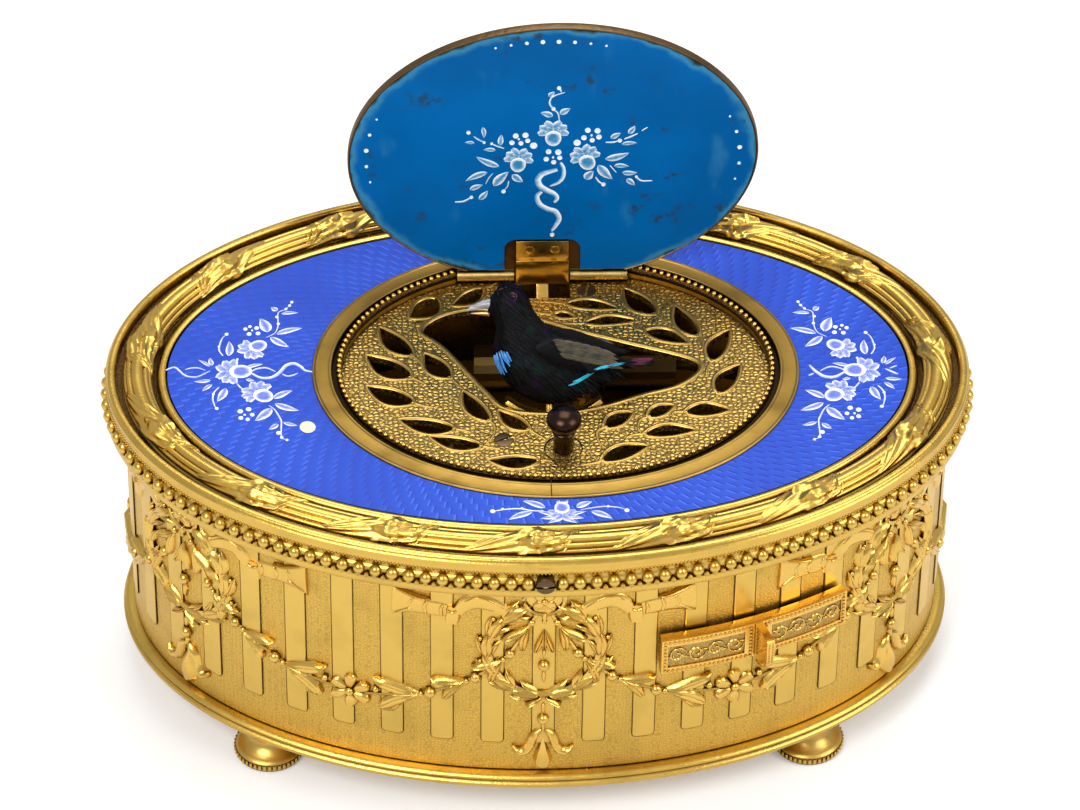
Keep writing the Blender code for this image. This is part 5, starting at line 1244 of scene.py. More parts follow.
            hook = ((0.2, 9.9), (0.9, 9.4), (1.35, 8.3), (1.6, 7.2), (2.1, 6.2), (2.9, 5.8), (3.6, 6.2),
                    (4.0, 6.9))
            shape.dome(wall, [(at + side * u, z) for u, z in hook],
                       [0.2, 0.6, 0.72, 0.72, 0.72, 0.62, 0.4, 0.12], 0.85, vein=0.2, curl=0.25)
        drop = [(at, z) for z in (8.4, 7.4, 6.4, 5.4, 4.5, 3.8, 3.2, 2.9)]
        shape.dome(wall, drop, [0.12, 0.35, 0.7, 1.08, 1.3, 1.2, 0.75, 0.15], 0.85, flat=0.45)

    def swag(self, shape: Shape, start: float, end: float) -> None:
        """Add the festoon between two wreaths, its flower and the ribbons over it.

        Args:
            shape: the shape it joins.
            start: arc length of the first wreath.
            end: arc length of the second.
        """
        span = (end - start) / 2
        scale = span / 26.2
        middle = start + span
        for i in range(6):
            angle = math.radians(60 * i + 30)
            petal = [(middle + r * math.cos(angle), 13.8 + r * math.sin(angle))
                     for r in (0.3, 0.8, 1.4, 2.1, 2.7, 3.0)]
            shape.dome(wall, petal, [0.25, 0.5, 0.8, 1.0, 0.75, 0.2], 0.85, vein=0.2)
        shape.ball(wall(middle, 13.8, 0.6), 0.62, steps=10)
        for side, origin in ((1, start), (-1, end)):
            def at(u: float) -> float:
                """Return the arc length at a distance from this side's wreath."""
                return origin + side * u * scale

            line = ((0.9, 31.0), (1.7, 29.7), (3.0, 26.8), (4.5, 24.0), (6.6, 21.4), (9.1, 19.4),
                    (12.0, 17.4), (15.2, 15.9), (18.6, 14.7), (22.5, 14.0), (24.2, 13.8))
            shape.cord(wall, [(at(u), z) for u, z in line], 0.26, 0.15)
            for u, z, r in ((1.7, 29.7, 0.5), (4.5, 24.0, 0.72), (5.4, 22.9, 0.42), (9.1, 19.4, 0.76),
                            (10.3, 18.6, 0.42), (15.2, 15.9, 0.85), (16.4, 15.4, 0.45), (22.6, 15.0, 0.5)):
                shape.ball(wall(at(u), z, 0.35), r, steps=8)
            for u, z, angle, size in ((2.1, 28.9, -58, 4.4), (5.5, 22.9, -46, 4.5), (10.3, 18.7, -27, 4.9),
                                      (16.6, 15.4, -10, 6.6)):
                self.husk(shape, at(u), z, angle if side > 0 else 180 - angle, size, side)
            hook = ((19.4, 14.4), (19.6, 13.0), (20.4, 12.0), (21.4, 11.8), (21.9, 12.4))
            shape.dome(wall, [(at(u), z) for u, z in hook], [0.3, 0.6, 0.62, 0.5, 0.2], 0.8, vein=0.25)
            self.ribbon(shape, at)

    def ribbon(self, shape: Shape, at: Callable[[float], float]) -> None:
        """Add the broad folded ribbon that leaves the rosette on one side.

        Args:
            shape: the shape it joins.
            at: the arc length at a distance from the wreath.
        """
        folds = (([(4.0, 30.6), (5.5, 31.8), (7.2, 32.8), (9.0, 33.1), (10.4, 32.4), (11.5, 31.0)],
                  [0.5, 1.0, 1.3, 1.4, 1.25, 0.9], 0.5),
                 ([(12.2, 31.9), (12.1, 30.9), (12.2, 29.9), (12.3, 29.0)], [0.8, 1.0, 1.05, 0.85], 0.56),
                 ([(12.9, 31.1), (14.4, 31.2), (16.0, 31.4), (17.6, 31.6), (19.0, 31.75), (20.2, 31.8)],
                  [1.3, 1.5, 1.5, 1.8, 2.4, 2.9], 0.44))
        for fold, wide, high in folds:
            smooth = curve_through(fold, 3)
            widths = [w for (w,) in curve_through([(w,) for w in wide], 3)]
            shape.dome(wall, [(at(u), z) for u, z in smooth], widths, high, across=8, flat=0.3)
        creases = (([(13.4, 32.2), (13.7, 31.2), (13.5, 30.0)], 0.3, 0.62),
                   ([(15.4, 32.7), (15.9, 31.5), (15.6, 30.2)], 0.34, 0.6),
                   ([(17.2, 33.0), (17.9, 31.8), (17.5, 30.6)], 0.3, 0.56),
                   ([(15.2, 32.9), (16.8, 33.1), (18.6, 33.8), (20.1, 34.6)], 0.2, 0.74),
                   ([(17.6, 31.2), (18.8, 30.4), (20.0, 29.6)], 0.24, 0.6),
                   ([(5.0, 32.0), (7.2, 33.6), (9.0, 34.0), (10.8, 33.0)], 0.16, 0.62),
                   ([(11.5, 31.5), (12.2, 31.1), (13.0, 31.5)], 0.26, 0.8))
        for crease, wide, high in creases:
            smooth = curve_through(crease, 4)
            last = len(smooth) - 1
            widths = [0.05 + wide * math.sin(math.pi * i / last) ** 0.6 for i in range(last + 1)]
            shape.dome(wall, [(at(u), z) for u, z in smooth], widths, high, across=6)


@dataclass
class TopMoulding:
    """The cast frame: fillet, cove, reeded torus with leaf wraps, lip, bead row and skirt."""

    rows: RowTree
    torus: float = -1.75
    half: float = 1.9
    rise: float = 1.65
    torus_z: float = 47.35
    wrap_count: int = 15
    wrap_start: float = -2.7
    wrap_length: float = 15.8
    bead_count: int = 137
    grain_count: int = 620
    screw_out: float = 38.55

    def over(self, s: float, v: float, h: float) -> Vector:
        """Find a point on the torus.

        Args:
            s: arc length along it.
            v: distance across it from its crest, outwards.
            h: how proud of it.

        Returns:
            The point.
        """
        angle = math.pi / 2 - v / 1.8
        grow = self.torus + (self.half + h) * math.cos(angle)
        return CASE.at(CASE.turn(s), grow, self.torus_z + (self.rise + h) * math.sin(angle))

    def profile(self) -> list[tuple[float, float]]:
        """Draw the moulding's section.

        Returns:
            Its points as (growth over the wall, height).
        """
        points = [(-7.4, 45.2), (-7.4, 46.2), (-5.55, 46.2), (-5.55, 47.55), (-5.45, 47.75), (-5.2, 47.87),
                  (-4.9, 47.87), (-4.65, 47.75), (-4.45, 47.45), (-4.3, 47.1), (-3.95, 46.98), (-3.68, 47.1)]
        reeds = ((90.0, 25.0, 0.16), (48.0, 13.0, 0.08), (132.0, 13.0, 0.08), (20.0, 12.0, 0.04),
                 (160.0, 12.0, 0.04))
        for step in range(61):
            degrees = 180 - 3 * step
            lift = -0.16
            for centre, wide, extra in reeds:
                share = (degrees - centre) / wide
                if abs(share) < 1:
                    lift = -0.16 + (0.2 + extra) * math.sqrt(1 - share * share)
            angle = math.radians(degrees)
            points.append((self.torus + (self.half + lift) * math.cos(angle),
                           self.torus_z + (self.rise + lift) * math.sin(angle)))
        points += [(0.3, 47.15), (0.6, 47.12), (1.1, 47.2), (1.17, 48.2), (1.25, 48.42), (1.45, 48.58),
                   (1.75, 48.6), (2.05, 48.55), (2.22, 48.4), (2.3, 48.2), (2.36, 48.14), (2.48, 48.0),
                   (2.5, 47.7), (2.42, 47.3), (2.4, 46.9), (2.5, 46.6), (2.44, 46.42), (2.25, 46.3),
                   (2.1, 46.1), (2.05, 45.7), (2.1, 45.4), (2.35, 45.2), (2.4, 44.8), (2.35, 44.4),
                   (2.1, 44.2), (2.1, 43.9), (2.3, 43.72), (2.55, 43.6), (2.65, 43.35), (2.65, 42.65),
                   (2.5, 42.4), (2.3, 42.3), (0.3, 42.3), (0.3, 45.2)]
        return points

    def build(self) -> None:
        """Build and dress the moulding with its beads, wraps and screws."""
        body = Shape("moulding")
        body.sweep(CASE, self.profile(), steps=360)
        piece = body.build(Finishes.GILT_FRAME, 35.0)
        settle(piece, "case", "gilt", "top_frame")
        # Painted shade and dirt: a dark strip in the groove between the torus and the lip.
        ground = Shape("moulding_ground")
        ground.sweep(CASE, [(0.22, 47.0), (0.22, 47.22), (1.12, 47.26), (1.12, 47.0)])
        settle(ground.build(Finishes.GILT_DIRTY), "case", "gilt")
        bead = Shape("bead")
        bead.ball(Vector((0, 0, 0)), 0.84, steps=12)
        settle(self.rows.row("bead_row", CASE.ring(2.45, 44.8), bead, self.bead_count,
                             Finishes.GILT_CAST, unevenness=0.03, seed=4), "case", "gilt")
        pin = Shape("bead_pin")
        pin.ball(Vector((0, 0, 0)), 0.42, steps=8)
        settle(self.rows.row("bead_edge", CASE.ring(2.62, 43.95), pin, self.bead_count * 2,
                             Finishes.GILT_CAST, unevenness=0.05, seed=9), "case", "gilt")
        wraps = Shape("leaf_wraps")
        for i in range(self.wrap_count):
            self.wrap(wraps, self.wrap_start + i * CASE.length / self.wrap_count, i)
        settle(wraps.build(Finishes.GILT_WRAP, FINE_DEG), "case", "gilt")
        # Painted shade and dirt: a dark lining in the cove.
        cove = Shape("moulding_cove")
        cove.sweep(CASE, [(-4.5, 47.3), (-4.44, 47.47), (-4.28, 47.13), (-3.95, 47.01), (-3.69, 47.12),
                          (-3.62, 47.3), (-3.6, 47.0), (-4.0, 46.8), (-4.4, 46.95)])
        settle(cove.build(Finishes.GILT_DIRTY), "case", "gilt")
        grain = Shape("lip_grain")
        grain.ball(Vector((0, 0, 0)), 0.17, steps=6)
        settle(self.rows.row("lip_milling", CASE.ring(2.5, 46.55), grain, self.grain_count, Finishes.GILT),
               "case", "gilt")
        for name, sign in (("front", -1), ("back", 1)):
            stand = Matrix.Translation((0.0, sign * self.screw_out, 44.8))
            stand = stand @ Matrix.Rotation(math.radians(-90 * sign), 4, "X")
            place_screw(f"moulding_screw_{name}", stand, 2.0, 1.25, 0.3, f"frame_screw_{name}")

    def wrap(self, shape: Shape, at: float, number: int) -> None:
        """Add one ribbed acanthus leaf wound over the torus, pointed outside and broad inside.

        Args:
            shape: the shape the leaf joins.
            at: arc length of its middle.
            number: which wrap it is, for its small differences.
        """
        chance = random.Random(50 + number)
        shift, across, along = chance.uniform(-0.3, 0.3), 26, 64
        rows = []
        for i in range(along + 1):
            t = i / along
            s = at + (t - 0.5) * self.wrap_length
            outer = 2.45 - 4.3 * max(0.0, (t - 0.80) / 0.20) ** 1.3
            inner = 2.05 - 4.75 * min(1.0, t / 0.52) ** 0.8
            row, under = [], []
            for j in range(across + 1):
                w = j / across
                v = inner + (outer - inner) * w
                rim = math.sin(math.pi * w) ** 0.35 if 0 < w < 1 else 0.0
                ends = min(1.0, t / 0.08)
                lobes = abs(math.sin(math.pi * (w * 3.3 + 0.3 + 0.2 * shift)))
                brow, last = 0.55 - 0.10 * lobes, 1.0 - 0.12 * (1 - lobes)
                if t < brow:
                    ripple = math.cos(2 * math.pi * (w * 4.0 + 0.9 * t)) * min(1.0, t * 4)
                    body = 0.14 + 0.42 * t + 0.10 * ripple
                else:
                    late = (t - brow) / (last - brow)
                    swell = math.exp(-((late - 0.22) / 0.24) ** 2)
                    ribs = math.cos(2 * math.pi * (w * 6.6 + 0.6 + 1.2 * late))
                    knobs = math.cos(2 * math.pi * (late * 5 + w * 1.5)) * swell
                    body = 0.30 - 0.12 * late + (0.05 + 0.62 * lobes) * swell + 0.16 * ribs + 0.07 * knobs
                    ends = min(1.0, max(0.0, (last - t) / 0.03))
                row.append(self.over(s, v, max(0.02, body) * rim * ends - 0.04))
                under.append(self.over(s, v, -0.5))
            rows.append(row + under[::-1])
        shape.lattice(rows, round_rows=True)


def deck(a: float) -> Oval:
    """Return an oval of the bird's ring family."""
    return Oval.of(a, a - DECK_SLIM, DECK_X, DECK_Y)


def metres(matrix: Matrix) -> Matrix:
    """Turn a matrix for millimetres into one for metres.

    Args:
        matrix: the matrix, which is left alone.

    Returns:
        The matrix for metres.
    """
    made = matrix.copy()
    made.translation = matrix.translation * MM
    return made


def refined(node: bpy.types.Object, name: str, finish: Finishes, width: float) -> bpy.types.Object:
    """Return a copy of a CAD node with its edges softened.

    Args:
        node: the CAD node, which is left alone.
        name: the new piece's name.
        finish: its finish.
        width: the soft edges' width in millimetres.

    Returns:
        A plain mesh object.
    """
    data = node.data.copy()
    worked = bmesh.new()
    worked.from_mesh(data)
    bmesh.ops.remove_doubles(worked, verts=worked.verts, dist=1e-6)
    bmesh.ops.dissolve_limit(worked, angle_limit=math.radians(1.0), verts=worked.verts, edges=worked.edges)
    worked.to_mesh(data)
    worked.free()
    data.materials.clear()
    data.materials.append(finish.material)
    piece = bpy.data.objects.new(f"{name}_rough", data)
    bpy.context.scene.collection.objects.link(piece)
    change = piece.modifiers.new("soft_edges", "BEVEL")
    change.width = width * MM
    change.segments = 2
    change.limit_method = "ANGLE"
    change.angle_limit = math.radians(30.0)
    plain = bake(piece, name)
    plain.data.shade_smooth()
    plain.data.set_sharp_from_angle(angle=math.radians(SOFTENED_DEG))
    return plain


def curve_through(points: Sequence[tuple[float, ...]], steps: int,
                  closed: bool = False) -> list[tuple[float, ...]]:
    """Draw a smooth curve through points.

    Args:
        points: the points, of any dimension.
        steps: how many new points each stretch between two of them gets.
        closed: whether the curve closes on itself.

    Returns:
        The curve's points.
    """
    count, made = len(points), []
    for i in range(count if closed else count - 1):
        if closed:
            near = [points[(i + k) % count] for k in (-1, 0, 1, 2)]
        else:
            near = [points[min(max(i + k, 0), count - 1)] for k in (-1, 0, 1, 2)]
        for step in range(steps):
            t = step / steps
            made.append(tuple(0.5 * (2 * b + (c - a) * t + (2 * a - 5 * b + 4 * c - d) * t * t
                                     + (3 * b - a - 3 * c + d) * t ** 3) for a, b, c, d in zip(*near)))
    if not closed:
        made.append(tuple(points[-1]))
    return made


Rose = tuple[float, float, float, float]
Leaf = tuple[float, float, float, float, float]


@dataclass(frozen=True)
class Spray:
    """A spray of white roses painted on enamel, in millimetres about its middle rose."""

    roses: tuple[Rose, ...]
    leaves: tuple[Leaf, ...]
    dots: tuple[tuple[float, float, float], ...]
    strokes: tuple[tuple[tuple[tuple[float, float], ...], float], ...]
    thick: float = 0.035

    def paint(self, shape: Shape, place: Place) -> None:
        """Paint the whole spray on a surface.

        Args:
            shape: the shape it joins.
            place: the surface, from (u, v, h) to a point.
        """
        step = 0
        for path, half in self.strokes:
            step += 1
            self.line(shape, place, path, half, step)
        for x, y, tip_x, tip_y, half in self.leaves:
            step += 1
            length = math.hypot(tip_x - x, tip_y - y)
            angle = math.degrees(math.atan2(tip_y - y, tip_x - x))
            bend = 22 if step % 2 else -22
            shape.leaf(place, (x, y), angle - bend / 2, length, half, self.height(step), bend=bend, steps=8,
                       base=-0.02, tint=lambda along, across: 0.15 + 0.75 * abs(across) ** 1.5, across=8)
        for x, y, radius in self.dots:
            step += 1
            self.pad(shape, place, (x, y), (radius, radius), 0.0, self.height(step) * 1.6, 0.85, 1.0)
        for x, y, size, facing in self.roses:
            self.rose(shape, place, (x, y), size, facing)

    def trimmed(self, low: float, high: float) -> "Spray":
        """Return the spray with its lines kept between two bounds from side to side."""
        lines = ((tuple(p for p in path if low < p[0] < high), half) for path, half in self.strokes)
        return replace(self, strokes=tuple((path, half) for path, half in lines if len(path) > 1))

    def height(self, step: int) -> float:
        """Return a stroke's height, each a little over the one before."""
        return self.thick * (1 + 0.012 * step)

    def line(self, shape: Shape, place: Place, path: Sequence[tuple[float, float]], half: float,
             step: int) -> None:
        """Paint one brush line, fine at its ends.

        Args:
            shape: the shape it joins.
            place: the surface, from (u, v, h) to a point.
            path: the line's points.
            half: half its greatest width.
            step: its place in the order of painting.
        """
        smooth = curve_through(path, 5)
        last = len(smooth) - 1
        widths = [half * (0.3 + 0.7 * math.sin(math.pi * min(1.0, 0.08 + 0.92 * i / last)) ** 0.6)
                  for i in range(last + 1)]
        shape.dome(place, smooth, widths, self.height(step), base=-0.02,
                   tint=lambda along, across: 0.55 + 0.4 * across, across=4)

    def pad(self, shape: Shape, place: Place, spot: tuple[float, float], radii: tuple[float, float],
            turn: float, height: float, inside: float, rim: float, steps: int = 20) -> None:
        """Paint an oval spot whose paint thins from its rim to its middle.

        Args:
            shape: the shape it joins.
            place: the surface, from (u, v, h) to a point.
            spot: its middle.
            radii: its two radii.
            turn: how far it is turned, in radians.
            height: how thick the paint is.
            inside: how much paint the middle holds, from 0 to 1.
            rim: how much paint the rim holds.
            steps: how many faces it has round it.
        """
        rows, tints = [], []
        for share, lift, tint in ((0.02, 0.45, inside), (0.45, 0.5, inside * 1.1),
                                  (0.75, 0.8, (inside + rim) / 2), (0.9, 1.0, rim), (1.0, 0.45, rim),
                                  (0.96, -0.5, 0.0)):
            row = []
            for a in angles(steps):
                u, v = radii[0] * share * math.cos(a), radii[1] * share * math.sin(a)
                row.append(place(spot[0] + u * math.cos(turn) - v * math.sin(turn),
                                 spot[1] + u * math.sin(turn) + v * math.cos(turn), height * lift))
            rows.append(row)
            tints += [tint] * steps
        shape.lattice(rows, round_rows=True, tint=tints)

    def rose(self, shape: Shape, place: Place, spot: tuple[float, float], size: float, facing: float) -> None:
        """Paint a rose: a cup that faces one way, with petals in two rounds behind it.

        Args:
            shape: the shape it joins.
            place: the surface, from (u, v, h) to a point.
            spot: its middle.
            size: its size.
            facing: where its cup faces, in degrees.
        """
        ahead = math.radians(facing)
        cup = (spot[0] + 0.42 * size * math.cos(ahead), spot[1] + 0.42 * size * math.sin(ahead))

        def petal(angle: float, length: float, half: float, start: float, bend: float, lift: float) -> None:
            """Paint one petal that leaves the rose's heart at an angle.

            Args:
                angle: where it points, in degrees.
                length: its length, as a share of the rose's size.
                half: half its width, as such a share.
                start: how far from the heart it starts, as such a share.
                bend: by how many degrees it turns on its way.
                lift: its height in coats of paint.
            """
            way = math.radians(angle)
            root = (spot[0] + start * size * math.cos(way), spot[1] + start * size * math.sin(way))
            path, widths, step = [root], [0.25 * half * size], length * size / 7
            for k in range(1, 8):
                heading = math.radians(angle + bend * k / 7)
                u, v = path[-1]
                path.append((u + step * math.cos(heading), v + step * math.sin(heading)))
                widths.append(half * size * (0.25 + 0.75 * math.sin(math.pi * min(0.93, k / 7.2)) ** 0.7))
            shape.dome(place, path, widths, self.thick * lift, base=-0.02, across=8,
                       tint=lambda along, across: 0.02 + 0.38 * along + 0.5 * across ** 2)

        for k in (-2.1, -1.25, -0.4, 0.45, 1.3, 2.1):
            petal(facing + 180 + k * 40, 0.74, 0.26, 0.24, 34 if k > 0 else -34, 1.9)
        for k in (-1.5, -0.5, 0.55, 1.5):
            petal(facing + 180 + k * 44, 0.48, 0.20, 0.10, 60 if k > 0 else -60, 2.3)
        self.pad(shape, place, cup, (0.62 * size, 0.52 * size), ahead, self.thick * 2.7, 0.12, 0.8, 28)
        for turn, half in ((1.0, 0.17), (0.0, 0.2), (-1.0, 0.17)):
            middle, wide = ahead + math.pi + turn * 0.55, half * size
            arc = [(cup[0] + 0.5 * size * math.cos(middle + w), cup[1] + 0.46 * size * math.sin(middle + w))
                   for w in (-0.62, -0.4, -0.15, 0.1, 0.35, 0.6)]
            shape.dome(place, arc, [0.05, wide * 0.8, wide, wide, wide * 0.7, 0.05], self.thick * 3.1,
                       base=-0.02, tint=lambda along, across: 1.0, across=4)


DECK_SPRAY = Spray(
    roses=((0.3, 0.0, 2.5, 0.0), (2.9, 4.5, 2.1, 38.0), (3.7, -4.2, 2.3, -42.0)),
    leaves=((4.9, 7.9, 3.9, 10.7, 0.79), (6.1, 7.5, 9.5, 8.7, 0.5), (5.3, 6.9, 7.7, 4.8, 0.57),
            (6.7, 11.6, 9.0, 11.8, 0.32), (6.1, 12.2, 5.3, 12.9, 0.41), (-2.4, 1.3, -2.8, 2.8, 0.35),
            (-2.8, 1.1, -4.3, 2.5, 0.25), (-2.6, -1.6, -4.8, -1.9, 0.32), (-2.4, -2.5, -3.7, -3.8, 0.32),
            (2.1, 0.8, 4.3, 1.5, 0.32), (2.1, -1.5, 3.2, -1.8, 0.28), (5.8, -5.4, 8.2, -3.8, 0.54),
            (6.0, -6.4, 9.1, -7.9, 0.54), (5.5, -7.3, 3.4, -9.8, 0.69), (7.1, -10.1, 9.0, -10.8, 0.32),
            (6.4, -10.4, 5.2, -11.5, 0.38), (-0.3, 3.2, -0.2, 6.1, 0.54), (-0.6, -3.3, -1.6, -5.9, 0.57)),
    dots=((1.9, 8.5, 0.3), (2.5, 9.0, 0.25), (3.4, 8.7, 0.33), (2.8, 8.2, 0.16), (2.4, 7.5, 0.34),
          (3.6, 7.6, 0.34), (1.4, -7.9, 0.38), (2.5, -7.5, 0.38), (3.0, -8.6, 0.32), (2.0, -8.6, 0.18),
          (1.5, -9.2, 0.34), (2.4, -9.5, 0.3), (-0.6, 7.5, 0.27), (-1.6, 5.0, 0.18), (-2.2, -4.5, 0.2),
          (-1.7, -7.3, 0.27), (6.5, -12.2, 0.35), (6.9, -13.1, 0.24), (7.6, -13.6, 0.2), (6.3, 9.5, 0.23),
          (6.1, 10.9, 0.24), (7.3, 12.5, 0.21), (7.8, 13.2, 0.21), (8.1, 13.9, 0.23), (0.9, 2.4, 0.18)),
    strokes=((((4.7, 6.8), (5.7, 7.5), (6.1, 8.2), (6.3, 9.5), (6.3, 11.8), (7.3, 12.5), (8.1, 13.9)), 0.1),
             (((-1.0, 3.2), (-1.5, 4.2), (-1.5, 5.2), (-1.2, 6.6), (-0.7, 7.4)), 0.13),
             (((-1.5, -3.1), (-2.1, -4.0), (-2.3, -5.2), (-2.1, -6.4), (-1.8, -7.3)), 0.13),
             (((5.2, -6.8), (5.9, -7.6), (6.4, -8.7), (6.8, -9.9), (6.8, -11.2), (6.9, -13.1), (7.9, -13.6)),
              0.13),
             (((0.9, -2.4), (1.3, -3.1), (1.7, -3.5)), 0.14),
             (((-8.9, 0.2), (-8.0, 0.8), (-7.3, 0.9), (-6.3, -0.4), (-5.5, -0.9), (-4.3, -0.9), (-2.7, 0.2)),
              0.17),
             (((-6.0, 0.5), (-5.2, 0.8), (-4.3, 0.8), (-3.3, 0.3)), 0.13),
             (((2.7, -0.1), (3.5, 0.5), (4.7, 0.7), (6.0, -0.1)), 0.16),
             (((2.8, -0.4), (4.1, -1.3), (5.5, -1.2), (6.6, -0.2), (7.4, 1.1), (8.4, 1.5), (9.3, 0.9),
               (9.9, 0.1), (11.0, -0.2)), 0.28),
             (((6.9, -0.6), (7.6, -1.0), (8.4, -0.8), (9.0, -0.4)), 0.15)))

FRONT_SPRAY = Spray(
    roses=((0.0, -0.1, 1.9, 90.0),),
    leaves=((-0.5, -0.9, -3.1, 0.1, 0.36), (0.5, -0.9, 3.1, 0.1, 0.36), (-0.5, -1.1, -2.8, -1.2, 0.34),
            (0.5, -1.1, 2.8, -1.2, 0.34), (-0.3, -1.3, -1.9, -2.1, 0.3), (0.3, -1.3, 1.9, -2.1, 0.3),
            (-2.2, 0.8, -5.0, 2.2, 0.5), (1.9, 0.8, 3.9, 1.9, 0.5), (-3.9, 0.0, -7.0, -1.3, 0.5),
            (3.8, 0.0, 6.5, -1.3, 0.5), (-0.6, 1.5, -0.3, 2.2, 0.25), (0.5, 1.6, 0.8, 2.2, 0.22)),
    dots=((-9.0, 0.2, 0.35), (-7.7, 0.6, 0.2), (-5.2, 0.7, 0.18), (8.4, 0.1, 0.33), (6.0, 0.9, 0.2)),
    strokes=((((-2.4, 0.2), (-3.9, 0.3), (-5.5, 0.7), (-7.4, 0.6), (-9.0, 0.2)), 0.12),
             (((2.4, 0.3), (3.6, 0.6), (5.5, 0.9), (7.3, 0.7), (8.4, 0.2)), 0.12)))

LID_SPRAY = Spray(
    roses=((0.0, 4.0, 2.1, -90.0), (-4.6, -0.3, 2.0, -95.0), (4.3, 0.0, 2.1, -72.0)),
    leaves=((-0.1, 6.6, -1.7, 7.2, 0.46), (0.9, 6.9, 2.2, 7.8, 0.46), (-0.7, 9.8, 0.1, 10.5, 0.35),
            (-9.4, 4.9, -9.2, 3.2, 0.31), (-10.5, 2.4, -11.8, 2.5, 0.23), (-7.0, 2.0, -6.9, 3.7, 0.39),
            (-7.7, 1.2, -9.3, 1.3, 0.31), (-7.2, -1.4, -10.3, 0.1, 0.5), (-8.8, -2.4, -11.7, -3.7, 0.46),
            (-7.9, -4.6, -6.0, -2.3, 0.66), (-5.4, -2.8, -4.0, -4.0, 0.54), (-11.1, -5.2, -9.4, -4.4, 0.39),
            (-9.9, -6.8, -8.7, -5.4, 0.42), (7.7, 2.9, 9.0, 3.8, 0.39), (10.0, 3.7, 10.9, 4.9, 0.39),
            (9.2, 2.0, 11.2, 2.2, 0.31), (7.0, -0.4, 10.2, 0.5, 0.54), (8.2, -1.5, 10.2, -1.6, 0.35),
            (6.1, -1.4, 7.9, -3.7, 0.69), (4.4, -3.7, 5.4, -2.3, 0.62), (9.3, -2.6, 11.3, -2.7, 0.39),
            (9.9, -3.7, 11.0, -4.7, 0.42)),
    dots=((-5.0, 3.5, 0.4), (-3.7, 3.6, 0.42), (-5.5, 2.4, 0.37), (-3.4, 2.7, 0.35), (-4.3, 2.3, 0.35),
          (-4.6, 3.0, 0.16), (-2.6, 1.9, 0.5), (4.6, 4.3, 0.4), (5.9, 4.2, 0.42), (4.1, 3.1, 0.39),
          (6.1, 3.2, 0.39), (5.2, 2.7, 0.35), (5.1, 3.5, 0.16), (3.2, 2.3, 0.5), (-0.6, 0.9, 0.39),
          (0.7, 0.8, 0.44), (-0.9, -0.3, 0.37), (0.9, -0.1, 0.35), (0.1, -0.8, 0.35), (0.0, 0.0, 0.16),
          (-11.3, 4.1, 0.29), (-8.2, 2.3, 0.2), (-9.2, 2.5, 0.2), (-10.9, -6.4, 0.25), (-6.6, -5.5, 0.3),
          (8.9, 2.6, 0.3), (6.8, -4.5, 0.3), (0.0, 7.8, 0.28), (0.7, 11.1, 0.3), (11.2, -3.3, 0.2),
          (0.0, -12.7, 0.31)),
    strokes=((((0.8, 6.0), (0.6, 7.1), (0.0, 7.8), (-0.5, 8.7), (-0.1, 9.7), (1.5, 10.4)), 0.14),
             (((0.8, 11.1), (1.0, 10.4)), 0.12), (((-6.5, 1.5), (-7.5, 1.9), (-8.3, 2.3)), 0.14),
             (((-9.1, 2.5), (-10.0, 3.0), (-10.6, 3.5)), 0.14),
             (((-5.9, -3.8), (-6.1, -4.7), (-6.6, -5.4)), 0.1),
             (((-8.0, -2.5), (-8.6, -3.3), (-9.0, -4.3)), 0.09),
             (((-13.1, -7.2), (-11.9, -7.1), (-10.9, -6.4)), 0.16),
             (((7.0, 2.3), (8.0, 2.3), (8.9, 2.6)), 0.14),
             (((9.5, 2.8), (10.4, 3.2), (11.3, 3.7)), 0.14), (((11.8, 4.1), (12.6, 4.7)), 0.1),
             (((5.7, -3.3), (6.2, -4.1), (6.8, -4.5)), 0.14), (((7.6, -1.4), (8.1, -2.1), (8.5, -2.6)), 0.09),
             (((11.1, -3.3), (11.9, -4.0), (13.4, -4.0)), 0.14),
             (((0.6, -2.0), (-0.6, -2.4), (-1.5, -2.8), (-2.0, -3.7), (-1.7, -4.7), (-0.8, -5.4), (0.2, -6.0),
               (0.6, -6.7), (0.2, -7.4)), 0.44),
             (((1.0, -0.9), (1.4, -1.8), (1.4, -3.1), (0.8, -4.1), (-0.4, -4.7)), 0.28),
             (((-1.5, -5.6), (-2.1, -6.4), (-1.7, -7.7), (-0.6, -8.5), (0.4, -8.9), (0.9, -10.1),
               (0.4, -11.3), (-0.1, -12.1)), 0.4)))


